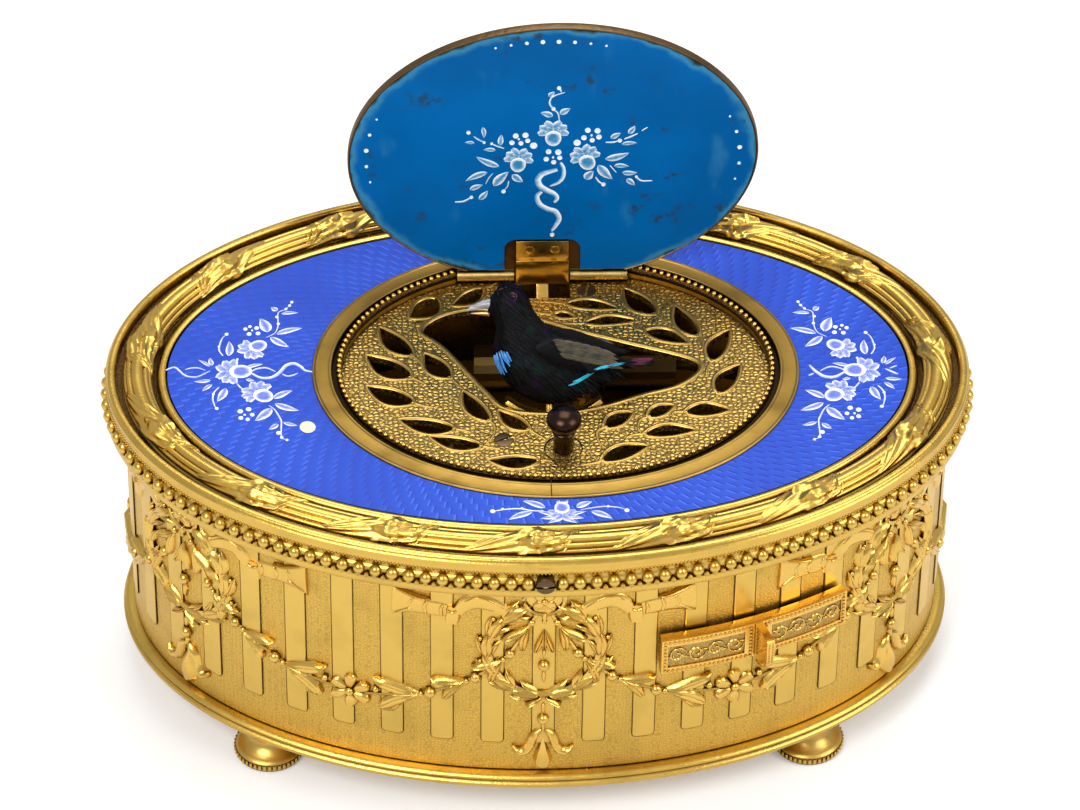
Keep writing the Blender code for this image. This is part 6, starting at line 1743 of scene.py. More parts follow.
@dataclass
class Deck:
    """The blue panel with its sprays and the bird's ring with its milled edge."""

    rows: RowTree
    hole_a: float = 31.3
    inset: float = -5.75
    ring_a: float = 28.3
    milled_count: int = 132
    rim_shift: float = 0.5
    pocket_half: float = 11.75
    pocket_y: float = 21.15

    def build(self) -> None:
        """Build the panel, its paint and the ring."""
        panel = Shape("blue_panel")
        inner, low, high = deck(self.hole_a), GRILLE_TOP_Z, PANEL_TOP_Z
        panel.lattice([oval.ring(grow, z, DECK_STEPS) for oval, grow, z in (
            (CASE, self.inset, low), (CASE, self.inset, high), (inner, 0.0, high), (inner, 0.0, low))],
                      round_rows=True, loop=True)
        settle(panel.build(Finishes.BLUE), "case", "blue_enamel", "enamel_panel")
        paint = Shape("deck_paint")
        DECK_SPRAY.paint(paint, level_surface(-40.9, 0.4, high))
        DECK_SPRAY.trimmed(-5.2, 8.2).paint(paint, level_surface(43.6, -0.6, high, -1))
        FRONT_SPRAY.paint(paint, level_surface(2.4, -27.5, high))
        settle(paint.build(Finishes.PAINT, FINE_DEG, "paint"), "case", "blue_enamel")
        self.ring()
        self.chip()

    def chip(self) -> None:
        """Add the small cream patch where the enamel is chipped and filled."""
        chip = Shape("enamel_chip")
        DECK_SPRAY.pad(chip, level_surface(-30.6, -10.7, PANEL_TOP_Z), (0, 0), (1.05, 1.15), 0.3, 0.05,
                       1.0, 1.0)
        settle(chip.build(Finishes.CHIP), "case", "blue_enamel")

    def ring(self) -> None:
        """Build the ring, its hinge pocket and its milled inner edge."""
        oval = deck(self.ring_a)
        body = Shape("bird_ring")
        profile = [(0.3, 46.4), (2.8, 46.4), (2.8, 47.68), (4.12, 47.68), (4.12, 47.76), (4.04, 47.86),
                   (3.88, 47.88), (3.74, 47.80), (3.6, 47.79), (2.1, 47.93), (1.95, 47.95), (1.84, 48.05),
                   (1.68, 48.06), (1.6, 48.0), (1.58, 47.15), (0.3, 47.1)]
        body.sweep(oval, profile, steps=DECK_STEPS)
        left, right = STRAP_X - self.pocket_half, STRAP_X + self.pocket_half
        pocket = Shape("hinge_pocket").prism(rectangle(left, 5.0, right, self.pocket_y), 44.0, 50.0)
        settle(carve(body.build(Finishes.GILT_RING, 25.0), pocket), "case", "gilt", "grille_ring")
        inner = replace(oval, y=oval.y + self.rim_shift)
        # Painted shade and dirt: the rim under the teeth is dark gilt.
        rim = Shape("toothed_rim")
        rim.sweep(inner, [(0.2, 46.5), (0.85, 46.5), (0.85, 47.5), (0.78, 47.62), (0.42, 47.7), (0.28, 47.58),
                          (0.2, 47.4)], steps=DECK_STEPS)
        settle(carve(rim.build(Finishes.GILT_DIRTY), pocket), "case", "gilt")
        path = inner.ring(0.56, 47.84, 720)
        clear = [p for p in path if not (left - 0.4 < p.x < right + 0.4 and p.y > 0)]
        first = next(i for i in range(len(clear)) if (clear[i] - clear[i - 1]).length > 3)
        bead = Shape("milling")
        bead.ball(Vector((0, 0, 0)), 0.37, steps=10)
        settle(self.rows.row("ring_milling", clear[first:] + clear[:first], bead, self.milled_count,
                             Finishes.GILT_CHASED, closed=False, seed=3), "case", "gilt")
        # Painted shadow and grime: a black lining down the ring's groove.
        groove = Shape("ring_groove")
        groove.sweep(oval, [(0.35, 47.0), (0.35, 47.2), (1.5, 47.22), (1.56, 47.85), (1.61, 47.85),
                            (1.61, 47.0)], steps=DECK_STEPS)
        settle(carve(groove.build(Finishes.BLACKED), pocket), "case", "gilt")
        # Painted shadow and grime: a black lining on the toothed rim's side.
        side = Shape("rim_side")
        side.sweep(inner, [(0.8, 47.26), (0.8, 47.4), (0.86, 47.54), (0.9, 47.5), (0.9, 47.26)],
                   steps=DECK_STEPS)
        settle(carve(side.build(Finishes.BLACKED), pocket), "case", "gilt")
        seam = Shape("ring_seam")
        front = oval.y - oval.b
        seam.tube([Vector((STRAP_X, front - 1.1, 48.05)), Vector((STRAP_X + 0.02, front - 4.0, 47.82))],
                  [0.07, 0.07], 6)
        settle(seam.build(Finishes.BRONZE), "case", "gilt")


LEAVES = ((-13.1, 16.3, -16.9, 12.4, 3.6), (-6.9, 18.2, -11.2, 14.9, 2.5), (-16.6, 4.8, -21.0, 10.6, 2.9),
          (-16.8, 0.4, -22.8, 4.9, 3.4), (-16.5, -4.7, -22.8, -1.3, 3.0), (-11.2, -9.9, -18.6, -7.9, 2.7),
          (-7.7, -13.3, -14.6, -11.3, 2.3), (-0.3, -16.2, -7.0, -16.0, 2.3), (-11.6, 0.2, -15.0, 5.2, 2.9),
          (-6.6, -8.4, -10.0, -2.4, 2.4), (-1.4, -10.2, -5.4, -6.3, 2.2), (16.3, 12.7, 12.2, 18.1, 3.1),
          (21.7, 8.1, 19.0, 14.4, 2.6), (23.3, 3.0, 26.1, 9.3, 2.7), (23.9, -3.5, 27.1, 2.2, 2.7),
          (19.3, -7.0, 25.3, -6.8, 2.5), (13.7, -11.3, 20.7, -10.7, 2.3), (7.9, -16.4, 14.2, -13.6, 2.6),
          (14.4, -7.9, 18.0, -5.7, 2.0), (8.6, -9.9, 12.4, -7.0, 2.4), (14.6, 9.3, 20.4, 6.6, 2.4),
          (6.6, 11.0, 14.0, 11.3, 1.8), (4.2, 15.0, 11.4, 13.8, 1.9), (2.4, 12.8, 5.4, 12.2, 1.2))
APERTURE = ((-15.6, 9.6), (-12.8, 12.9), (-7.0, 14.3), (-1.0, 12.6), (5.0, 9.9), (12.5, 7.0), (20.4, 3.9),
            (21.9, 1.4), (18.7, -1.9), (13.4, -3.8), (8.7, -5.8), (2.2, -7.1), (-4.2, -6.2), (-7.4, -2.2),
            (-12.6, 6.2))
STEMS = (((1.0, -16.9), (-4.5, -14.4), (-9.6, -10.8), (-13.6, -6.2), (-15.2, -1.0), (-15.5, 4.4),
          (-14.2, 11.6), (-10.6, 16.6), (-5.0, 19.6)),
         ((5.2, -16.9), (9.6, -13.6), (15.6, -10.2), (20.6, -5.8), (22.6, -0.6), (21.9, 5.2), (18.2, 10.2),
          (13.6, 13.6), (8.8, 16.0)))


def leaf_outline(leaf: Leaf, steps: int = 9, grow: float = 0.0) -> list[tuple[float, float]]:
    """Draw a pointed leaf's outline.

    Args:
        leaf: its root, its tip and its width.
        steps: how many stretches each side has.
        grow: by how much it is widened.

    Returns:
        The outline's points.
    """
    root, tip, half = Vector(leaf[:2]), Vector(leaf[2:4]), leaf[4] / 2
    along = tip - root
    side = Vector((-along.y, along.x)).normalized()
    along_unit = along.normalized()
    start, end = root - along_unit * grow, tip + along_unit * grow
    left, right = [], []
    for step in range(1, steps):
        share = step / steps
        wide = (half + grow) * math.sin(math.pi * share ** 0.85) ** 0.85
        spot = start.lerp(end, share) + side * 0.06 * along.length * math.sin(math.pi * share)
        left.append(tuple(spot + side * wide))
        right.append(tuple(spot - side * wide))
    return [tuple(start)] + left + [tuple(end)] + right[::-1]


@dataclass
class Grille:
    """The matted plate pierced with laurel leaves, with polished leaf edges and stems."""

    a: float = 30.9
    slot_half: float = 3.75
    slot_front: float = 16.1
    slot_back: float = 22.6
    post_hole: float = 2.55

    def build(self) -> None:
        """Build and pierce the plate, then edge its openings."""
        plate = Shape("grille")
        plate.lattice([deck(self.a).ring(0.0, z, DECK_STEPS) for z in (GRILLE_Z, GRILLE_TOP_Z)],
                      round_rows=True)
        leaves = Shape("leaf_holes")
        for leaf in LEAVES:
            self.hole(leaves, leaf_outline(leaf))
        opening = Shape("bird_hole")
        self.hole(opening, curve_through(APERTURE, 5, True))
        ways = Shape("post_and_tail_holes")
        self.hole(ways, rectangle(STRAP_X - self.slot_half, self.slot_front, STRAP_X + self.slot_half,
                                  self.slot_back))
        (x, y), radius = POST_SPOT, self.post_hole
        self.hole(ways, [(x + radius * math.cos(a), y + radius * math.sin(a)) for a in angles(32)])
        piece = carve(plate.build(Finishes.GILT_MATTED), leaves, opening, ways)
        settle(piece, "case", "gilt", "grille_plate")
        edges = Shape("grille_edges")
        strand = [point for stem in STEMS for point in curve_through(stem, 6)]
        for leaf in LEAVES:
            self.edge(edges, leaf_outline(leaf, 10, 0.22), 0.34)
            self.stalk(edges, leaf, strand)
        self.edge(edges, curve_through(APERTURE, 6, True), 0.42)
        settle(edges.build(Finishes.GILT_EDGE, FINE_DEG), "case", "gilt")
        for name, spot, turn in (("front", (-4.8, -12.2), 25.0), ("back", (7.1, 17.6), 80.0)):
            place_screw(f"deck_screw_{name}", Matrix.Translation((*spot, GRILLE_TOP_Z + 0.01)),
                        turn, 1.3, 0.13, f"grille_screw_{name}")

    def hole(self, shape: Shape, outline: Sequence[tuple[float, float]]) -> None:
        """Add an upright cutter that goes through the plate."""
        shape.prism(outline, GRILLE_Z - 1.0, GRILLE_TOP_Z + 1.0)

    def edge(self, shape: Shape, outline: Sequence[tuple[float, float]], radius: float) -> None:
        """Lay a closed polished strand, flatter than it is wide, round an opening.

        Args:
            shape: the shape it joins.
            outline: the opening's outline.
            radius: half the strand's width.
        """
        rows, count = [], len(outline)
        for i in range(count):
            before, after = Vector(outline[i - 1]), Vector(outline[(i + 1) % count])
            along = (after - before).normalized()
            side = Vector((-along.y, along.x, 0.0))
            centre = Vector((*outline[i], GRILLE_TOP_Z - 0.09))
            rows.append([centre + side * radius * math.cos(a) + Vector((0, 0, 0.2 * math.sin(a)))
                         for a in angles(8)])
        shape.lattice(rows, round_rows=True, loop=True)

    def stalk(self, shape: Shape, leaf: Leaf, strand: Sequence[tuple[float, float]]) -> None:
        """Lay a leaf's stalk, which runs on from the leaf and bends in to its branch.

        Args:
            shape: the shape it joins.
            leaf: the leaf.
            strand: the points of the branches.
        """
        root, tip = Vector(leaf[:2]), Vector(leaf[2:4])
        away = (root - tip).normalized()
        ahead = root + away * 2.4
        goal = Vector(min(strand, key=lambda point: (Vector(point) - ahead).length))
        if (goal - ahead).length > 4.0:
            goal = root + away * 3.0
        path = curve_through([tuple(root - away * 0.3), tuple(root + away * 1.3), tuple((ahead + goal) / 2),
                              tuple(goal)], 4)
        last = len(path) - 1
        widths = [0.36 - 0.24 * i / last for i in range(last + 1)]
        shape.dome(level_surface(0.0, 0.0, GRILLE_TOP_Z), path, widths, 0.085, base=-0.1)


def place_screw(name: str, stand: Matrix, turn: float, radius: float, rise: float, node: str) -> None:
    """Build a domed slotted screw.

    Args:
        name: the piece's name.
        stand: where its head's underside lies, its axis along Z, in millimetres.
        turn: the slot's turn in degrees.
        radius: the head's radius.
        rise: the head's height.
        node: the CAD screw it stands for.
    """
    head = Shape(name)
    head.lathe([(radius, -1.5), (radius, 0.0), (radius * 0.97, rise * 0.45), (radius * 0.85, rise * 0.7),
                (radius * 0.5, rise * 0.93), (0.03, rise)], (0, 0), 28)
    half, slim = radius * 1.2, 0.17
    slot = Shape("slot").prism(rectangle(-half, -slim, half, slim), rise - 0.5, rise + 1.0)
    piece = carve(head.build(Finishes.STEEL), slot)
    piece.data.transform(metres(stand @ Matrix.Rotation(math.radians(turn), 4, "Z")))
    settle(piece, "case", "steel", node)


HINGE = Vector((0.0, 20.0, 47.15))
OPEN_DEG = 95.0
OPENING = Matrix.Rotation(math.radians(-OPEN_DEG), 4, "X")
OPEN = Matrix.Translation(HINGE) @ OPENING @ Matrix.Translation(-HINGE)


@dataclass
class Lid:
    """The enamelled lid on its hinge, made shut and turned open."""

    a: float = 27.5
    b: float = 20.5
    askew: float = -3.0
    low: float = 46.6
    sag: float = 0.11
    chord: float = 18.85

    def plan(self) -> Matrix:
        """Return the turn and place of the lid's oval."""
        return Matrix.Translation((DECK_X, DECK_Y, 0)) @ Matrix.Rotation(math.radians(self.askew), 4, "Z")

    def chord_box(self, y: float) -> Shape:
        """Return the cutter behind a straight back edge."""
        return Shape("chord").prism(rectangle(-40.0, y, 40.0, 40.0), 40.0, 55.0)

    def crown(self, inset: float, z: float, rise: float, steps: int) -> list[tuple[float, float, float]]:
        """Return the rows of a shallow dome from near its rim to its middle.

        Args:
            inset: how far its rim lies inside the lid's.
            z: its rim's height.
            rise: how far its middle stands over its rim.
            steps: how many rows it has.

        Returns:
            Rows for rings().
        """
        rows = [(inset, math.cos(a), z + rise * math.sin(a))
                for a in (math.pi / 2 * k / steps for k in range(1, steps))]
        return rows + [(inset, 0.004, z + rise)]

    def rings(self, name: str, profile: Sequence[tuple[float, float, float]]) -> Shape:
        """Skin a solid of level ovals.

        Args:
            name: the piece's name.
            profile: rows of (inset, share of full size, height).

        Returns:
            The solid, turned as the lid is.
        """
        oval = Oval.of(self.a, self.b)
        shape = Shape(name)
        shape.lattice([[Vector((p.x * share, p.y * share, z)) for p in oval.ring(-inset, 0.0, 180)]
                       for inset, share, z in profile], round_rows=True)
        return shape.turned(self.plan())

    def build(self, nodes: dict[str, bpy.types.Object]) -> None:
        """Build the frame, both enamels, the paint and the hinge.

        Args:
            nodes: the CAD nodes by name.
        """
        low = self.low
        profile = ((0.3, 46.96), (0.3, low + 0.08), (0.2, low), (0.08, low + 0.03), (0.0, low + 0.15),
                   (0.0, 47.9), (0.12, 48.05), (0.35, 48.1), (0.9, 48.08), (1.0, 48.0), (1.02, 47.6))
        frame = self.rings("lid_rim", [(inset, 1, z) for inset, z in profile])
        piece = carve(frame.build(Finishes.GILT_WORN), self.chord_box(self.chord))
        piece.data.transform(metres(OPEN))
        settle(piece, "lid", "gilt", "lid_frame")
        under = self.rings("lid_under", [(0.36, 1, 46.93), (0.36, 1, low + 0.04)] +
                           self.crown(0.36, low + 0.04, -self.sag, 14))
        half, front, corner = 5.15, 13.7, 1.6
        outline = [(half - corner + corner * math.cos(a), front + corner - corner * math.sin(a))
                   for a in (math.pi / 2 * k / 6 for k in range(7))]
        outline = [(half, 30)] + outline + [(-x, y) for x, y in outline[::-1]] + [(-half, 30)]
        notch = Shape("strap_notch").prism([(STRAP_X + x, y) for x, y in outline], 44.0, 50.0)
        piece = carve(under.build(Finishes.SKY), self.chord_box(18.7), notch)
        self.mark_edge(piece)
        piece.data.transform(metres(OPEN))
        settle(piece, "lid", "sky_enamel", "lid_under_enamel")
        top = self.rings("lid_top", [(1.1, 1, 47.64), (1.1, 1, 47.95)] + self.crown(1.1, 47.95, 0.75, 12))
        piece = carve(top.build(Finishes.LID_BLUE), self.chord_box(18.5))
        piece.data.transform(metres(OPEN))
        settle(piece, "lid", "blue_enamel", "lid_top_enamel")
        self.paint()
        self.hinge(nodes)

    def mark_edge(self, piece: bpy.types.Object) -> None:
        """Store on each point how near it lies to the lid's rim, from 0 to 1.

        Args:
            piece: the underside's enamel, before it is turned open.
        """
        layer = piece.data.attributes.get("edge") or piece.data.attributes.new("edge", "FLOAT", "POINT")
        back = self.plan().inverted()
        for i, vertex in enumerate(piece.data.vertices):
            spot = back @ (vertex.co / MM)
            layer.data[i].value = math.hypot(spot.x / (self.a - 0.3), spot.y / (self.b - 0.3))

    def paint(self) -> None:
        """Paint the spray and the dot arcs on the lid's underside."""
        def under(u: float, v: float, h: float) -> Vector:
            """Find a point of the underside.

            Args:
                u: distance to the right of its middle.
                v: distance over its middle, on the open lid.
                h: how proud of it.

            Returns:
                The point, on the open lid.
            """
            share = min(1.0, math.hypot(u / 27.1, v / 20.1))
            bulge = self.sag * math.sqrt(1 - share * share)
            return OPEN @ Vector((DECK_X + u, DECK_Y - v, self.low - bulge - h + 0.03))

        paint = Shape("lid_paint")
        LID_SPRAY.paint(paint, under)
        for count, middle, spread in ((5, 176, 32), (8, 91, 34), (5, 4, 32)):
            for i in range(count):
                a = math.radians(middle + spread * (i / (count - 1) - 0.5))
                r = 0.16 + 0.17 * math.sin(math.pi * i / (count - 1)) ** 2
                LID_SPRAY.pad(paint, under, (25.0 * math.cos(a), 18.4 * math.sin(a)), (r, r), 0.0, 0.05, 0.9,
                              1.0, 10)
        settle(paint.build(Finishes.SKY_PAINT, FINE_DEG, "paint"), "lid", "sky_enamel")

    def hinge(self, nodes: dict[str, bpy.types.Object]) -> None:
        """Build the strap with its rivets and the barrels on the case.

        Args:
            nodes: the CAD nodes by name.
        """
        strap = refined(nodes["hinge_block"], "hinge_strap", Finishes.GILT_BRIGHT, 0.14)
        settle(strap, "lid", "gilt", "hinge_block")
        rivets = Shape("hinge_rivets")
        for x in (STRAP_X - 1.7, STRAP_X + 1.7):
            rivets.lathe([(0.62, 0.2), (0.62, -0.02), (0.56, -0.06), (0.3, -0.085), (0.03, -0.09)], (x, 15.4),
                         24)
        for i, point in enumerate(rivets.points):
            rivets.points[i] = Vector((point.x, point.y, 46.5 + point.z))
        settle(rivets.turned(OPEN).build(Finishes.GILT_RING), "lid", "gilt")
        for side, start in (("left", -10.45), ("right", 4.85)):
            barrel = Shape(f"barrel_{side}")
            profile = [(0.42, 0.0), (0.74, 0.0), (0.8, 0.06), (0.8, 7.74), (0.74, 7.8), (0.42, 7.8)]
            barrel.lathe(profile, (0, 0), 28, loop=True)
            turn = Matrix.Translation((start, HINGE.y, HINGE.z)) @ Matrix.Rotation(math.radians(90), 4, "Y")
            settle(barrel.turned(turn).build(Finishes.GILT_PALE), "case", "gilt", f"hinge_barrel_{side}")


LEAN_DEG = 32.0
BIRD = Matrix.Translation((0.0, -8.0, 44.2)) @ Matrix.Rotation(math.radians(-LEAN_DEG), 4, "X")
BIRD_STATIONS = ((-6.5, 17.1, -6.6, 15.3, 0.9), (-5.6, 18.2, -5.9, 14.4, 1.8), (-4.2, 19.0, -5.6, 13.3, 2.4),
                 (-2.0, 17.9, -5.8, 12.0, 2.6), (-0.5, 15.6, -6.1, 10.4, 2.9), (1.2, 13.7, -5.5, 8.0, 3.2),
                 (3.4, 12.0, -3.9, 5.4, 3.4), (5.4, 10.7, -0.6, 3.4, 3.3), (7.2, 9.9, 3.2, 3.5, 2.8),
                 (8.6, 9.5, 6.4, 5.5, 2.1), (9.7, 9.1, 9.1, 7.1, 1.3))


class PlumageTree(CopyTree):
    """Feathers laid over a body, all pointing one way and smaller towards the head."""

    DENSITY = 8.0e6
    HEAD_M, SHOULDER_M = -0.006, 0.004

    def __init__(self) -> None:
        """Draw the tree."""
        super().__init__("plumage", Spacing="NodeSocketFloat", Flow="NodeSocketVector")
        draft = self.draft
        spots = draft.node("GeometryNodeDistributePointsOnFaces", distribute_method="POISSON")
        for key, value in (("Mesh", self.value("Geometry")), ("Distance Min", self.value("Spacing")),
                           ("Density Max", self.DENSITY), ("Seed", self.value("Seed"))):
            draft.feed(spots.inputs[key], value)
        facing = draft.node("FunctionNodeAlignRotationToVector", axis="Z")
        draft.feed(facing.inputs["Vector"], spots.outputs["Normal"])
        flow = draft.node("FunctionNodeAlignRotationToVector", axis="X", pivot_axis="Z")
        draft.feed(flow.inputs["Rotation"], facing.outputs["Rotation"])
        draft.feed(flow.inputs["Vector"], self.value("Flow"))
        where = draft.node("ShaderNodeSeparateXYZ")
        draft.feed(where.inputs[0], draft.node("GeometryNodeInputPosition").outputs[0])
        growth = draft.node("ShaderNodeMapRange")
        for key, value in (("Value", where.outputs["X"]), ("From Min", self.HEAD_M),
                           ("From Max", self.SHOULDER_M), ("To Min", 0.42), ("To Max", 1.15)):
            draft.feed(growth.inputs[key], value)
        size = draft.math("MULTIPLY", self.chance(0.8, 1.15), growth.outputs["Result"])
        self.lead_out(spots.outputs["Points"], flow.outputs["Rotation"], size)

    def cover(self, body: Shape, feather: Shape, spacing: float, flow: tuple[float, float, float],
              finish: Finishes, seed: int) -> bpy.types.Object:
        """Cover a shape with feathers.

        Args:
            body: the shape to cover, in the bird's own frame; the piece takes its name.
            feather: one feather, lying along X from the origin.
            spacing: the least distance between feathers, in millimetres.
            flow: where the feathers point.
            finish: their finish.
            seed: the fixed seed of their places.

        Returns:
            One plain mesh object in the bird's own frame.
        """
        return self.run(body.build(finish), feather, FINE_DEG, finish, Spacing=spacing * MM, Flow=flow,
                        Seed=seed)


@dataclass
class Bird:
    """The feathered bird on its cradle, made upright and leant back."""

    plumage: PlumageTree
    middle: float = 2.8
    wing_off: float = 3.9

    def stations(self) -> list[tuple[float, ...]]:
        """Smooth the body's stations from beak to tail, with the head's feathers full.

        Returns:
            Rows of (top x, top z, underside x, underside z, half width).
        """
        made = []
        for x, z, low_x, low_z, wide in curve_through(BIRD_STATIONS, 4):
            full = math.exp(-((x + 3.8) / 2.2) ** 2) if z > 14 else 0.0
            made.append((x, z + 0.6 * full, low_x, low_z, wide + 0.35 * full))
        return made

    def body_shape(self, name: str, grow: float = 0.0) -> Shape:
        """Skin the body in the bird's own frame.

        Args:
            name: the piece's name.
            grow: by how much it is fattened.

        Returns:
            The skin.
        """
        rows = []
        for x, z, low_x, low_z, wide in self.stations():
            top, low = Vector((x, self.middle, z)), Vector((low_x, self.middle, low_z))
            centre, up = (top + low) / 2, (top - low) / 2
            reach = up.length + grow
            up.normalize()
            rows.append([centre + up * reach * math.cos(a) + Vector((0, (wide + grow) * math.sin(a), 0))
                         for a in angles(28)])
        shape = Shape(name)
        shape.lattice(rows, round_rows=True)
        return shape

    def feather_shape(self, length: float, half: float, lift: float) -> Shape:
        """Raise a small feather along X.

        Args:
            length: its length.
            half: half its width.
            lift: how far its tip is lifted.

        Returns:
            The feather.
        """
        shape = Shape("body_feather")
        shape.leaf(lambda u, v, h: Vector((u, v, h + lift * (u / length) ** 2)), (-0.25 * length, 0.0), 0.0,
                   length * 1.25, half, 0.12, steps=3, across=2, base=-0.08)
        return shape

    def build(self, nodes: dict[str, bpy.types.Object]) -> None:
        """Build the body, feathers, wings, tail, beak, eyes and stand.

        Args:
            nodes: the CAD nodes by name.
        """
        body = self.body_shape("bird_core", -0.25).turned(BIRD).build(Finishes.FEATHER, 80.0)
        settle(body, "bird", "black_feather", "bird_body")
        coat = self.plumage.cover(self.body_shape("bird_plumage", -0.2), self.feather_shape(2.5, 0.26, 0.16),
                                  0.40, (0.72, 0.0, -0.62), Finishes.FEATHER, 11)
        coat.data.transform(metres(BIRD))
        settle(coat, "bird", "black_feather")
        self.patches()
        self.head()
        for side, name in ((-1, "left"), (1, "right")):
            self.wing(side, name)
        self.tail()
        cradle = refined(nodes["bird_stand"], "cradle", Finishes.GILT_CHASED, 0.1)
        settle(cradle, "bird", "gilt", "bird_stand")

    def skin(self, station: float, around: float, h: float) -> Vector:
        """Find a point on the body.

        Args:
            station: how far along, in station numbers.
            around: the angle from the back towards the near side, in degrees.
            h: how proud of the skin.

        Returns:
            The point, in the bird's own frame.
        """
        rows = self.stations()
        spot = min(max(station, 0.0), len(BIRD_STATIONS) - 1.001) * 4
        low, share = int(spot), spot - int(spot)
        x, z, low_x, low_z, wide = (a + (b - a) * share for a, b in zip(rows[low], rows[low + 1]))
        top, bottom = Vector((x, self.middle, z)), Vector((low_x, self.middle, low_z))
        up = (top - bottom) / 2
        angle = math.radians(around)
        reach = up.length + h
        return ((top + bottom) / 2 + up.normalized() * reach * math.cos(angle)
                - Vector((0, (wide + h) * math.sin(angle), 0)))

    def patches(self) -> None:
        """Add the coloured feathers of the breast, the neck and the flank."""
        chance = random.Random(5)
        cobalt, turquoise = Shape("breast_blue"), Shape("flank_turquoise")
        for i in range(20):
            self.barb(cobalt, (chance.uniform(4.25, 4.75), chance.uniform(116, 152)), (0.62, -2.0),
                      chance.uniform(0.8, 1.1), 0.13)
        for i in range(30):
            share = i / 29
            spot = (7.7 + 2.5 * share, 99 - 50 * share + chance.uniform(-4, 4))
            self.barb(turquoise, spot, (0.62, -11.0), chance.uniform(0.8, 1.1), 0.11)
        settle(cobalt.turned(BIRD).build(Finishes.COBALT, FINE_DEG), "bird", "black_feather")
        settle(turquoise.turned(BIRD).build(Finishes.TURQUOISE, FINE_DEG), "bird", "black_feather")

    def barb(self, shape: Shape, spot: tuple[float, float], step: tuple[float, float], size: float,
             half: float) -> None:
        """Add one narrow feather over the skin.

        Args:
            shape: the shape it joins.
            spot: station number and angle of its root.
            step: how far it goes on in each.
            size: what that step is multiplied by.
            half: half its width.
        """
        points, radii = [], []
        for k in range(5):
            share = k / 4
            points.append(self.skin(spot[0] + step[0] * size * share, spot[1] + step[1] * size * share,
                                    0.34 + 0.22 * share))
            radii.append(half * (0.4 + 0.9 * math.sin(math.pi * (0.15 + 0.8 * share))))
        shape.tube(points, radii, 5)

    def head(self) -> None:
        """Add the beak, the eyes with their rims and the reddish brow."""
        for name, node, body, rings, finish, slot in (
                ("beak_upper", "upper_beak", "bird",
                 ((-6.2, 17.3, 15.7, 0.95), (-6.75, 17.15, 15.85, 0.78), (-7.4, 16.98, 15.84, 0.62),
                  (-8.1, 16.7, 15.75, 0.45), (-8.9, 16.25, 15.62, 0.24), (-9.5, 15.65, 15.59, 0.03)),
                 Finishes.HORN, "pale_horn"),
                ("beak_lower", "lower_beak", "beak",
                 ((-6.5, 15.62, 14.85, 0.65), (-7.1, 15.62, 14.95, 0.55), (-7.8, 15.56, 15.04, 0.4),
                  (-8.5, 15.45, 15.12, 0.22), (-9.0, 15.28, 15.22, 0.03)), Finishes.BEAK_GOLD, "beak_gold")):
            shape = Shape(name)
            shape.lattice([[Vector((x, self.middle + half * math.sin(a),
                                    (top + low) / 2 + (top - low) / 2 * math.cos(a))) for a in angles(16)]
                           for x, top, low, half in rings], round_rows=True)
            settle(shape.turned(BIRD).build(finish, FINE_DEG), body, slot, node)
        eyes, rims, brows = Shape("eyes"), Shape("eye_rims"), Shape("brows")
        for side in (-1, 1):
            centre = Vector((-3.4, self.middle + side * 1.75, 17.75))
            eyes.ball(centre, 0.42, steps=12)
            ring = [centre + Vector((0.5 * math.cos(a), side * 0.18, 0.5 * math.sin(a)))
                    for a in angles(16, 1)]
            rims.tube(ring, [0.1] * 17, 6)
            for k in range(7):
                root = centre + Vector((-1.9 + 0.17 * (k * 3 % 7), -side * 0.42, 0.3 + 0.13 * (k * 5 % 7)))
                brows.tube([root, root + Vector((0.34, side * 0.1, 0.18))], [0.11, 0.04], 5)
        for shape, finish in ((eyes, Finishes.EYE), (rims, Finishes.BROW), (brows, Finishes.BROW)):
            settle(shape.turned(BIRD).build(finish), "bird", "black_feather")

    def wing(self, side: int, name: str) -> None:
        """Build one wing of a core, coverts and long feathers.

        Args:
            side: -1 for the far wing, 1 for the near one.
            name: its side's name.
        """
        off = self.middle + side * self.wing_off

        def place(u: float, v: float, h: float) -> Vector:
            """Return a point of the wing's plane, h outwards."""
            return Vector((u, off + side * h, v))

        core = Shape(f"wing_core_{name}")
        path = ((-0.4, 11.0), (0.8, 11.1), (2.2, 10.9), (4.0, 10.4), (6.0, 9.9), (8.2, 9.4), (10.4, 9.1),
                (11.8, 9.0))
        core.dome(place, path, [0.5, 1.3, 1.75, 2.05, 1.9, 1.4, 0.8, 0.2], 0.34, base=-0.3, across=8)
        body, slot = f"{name}_wing", "black_feather"
        settle(core.turned(BIRD).build(Finishes.FEATHER, 70.0), body, slot, f"wing_{name}")
        long, short = Shape(f"wing_long_{name}"), Shape(f"wing_short_{name}")
        for k in range(8):
            root = (2.6 + 0.55 * k, 11.0 - 0.36 * k)
            tip = (12.4 - 0.72 * k, 8.9 - 0.13 * k)
            self.quill(long, place, root, tip, 0.62, 0.22 + 0.035 * k)
        for k in range(5):
            self.quill(long, place, (1.4 + 0.9 * k, 12.0 - 0.35 * k), (7.6 + 0.95 * k, 11.0 - 0.42 * k), 0.6,
                       0.3 + 0.03 * k)
        chance = random.Random(21 + side)
        for row in range(6):
            for k in range(4):
                root = (1.8 + 1.15 * row + 0.3 * k, 12.5 - 0.6 * k - 0.30 * row - chance.uniform(0, 0.2))
                tip = (root[0] + 2.6, root[1] - 0.7 - chance.uniform(0, 0.25))
                self.quill(short, place, root, tip, 0.42, 0.46 + 0.025 * (5 - row) + 0.01 * k)
        settle(long.turned(BIRD).build(Finishes.FEATHER, FINE_DEG), body, slot)
        settle(short.turned(BIRD).build(Finishes.BARRED, FINE_DEG), body, slot)
        bright = Shape(f"wing_bright_{name}")
        for k in range(16):
            share = k / 15
            bright.leaf(lambda u, v, h: place(u, v, 0.62 - 0.1 * share + h),
                        (7.2 + 2.7 * share, 8.3 + 0.6 * share + chance.uniform(-0.16, 0.16)),
                        12 + chance.uniform(-5, 5), 1.5, 0.085, 0.08, steps=4, base=-0.05, across=4)
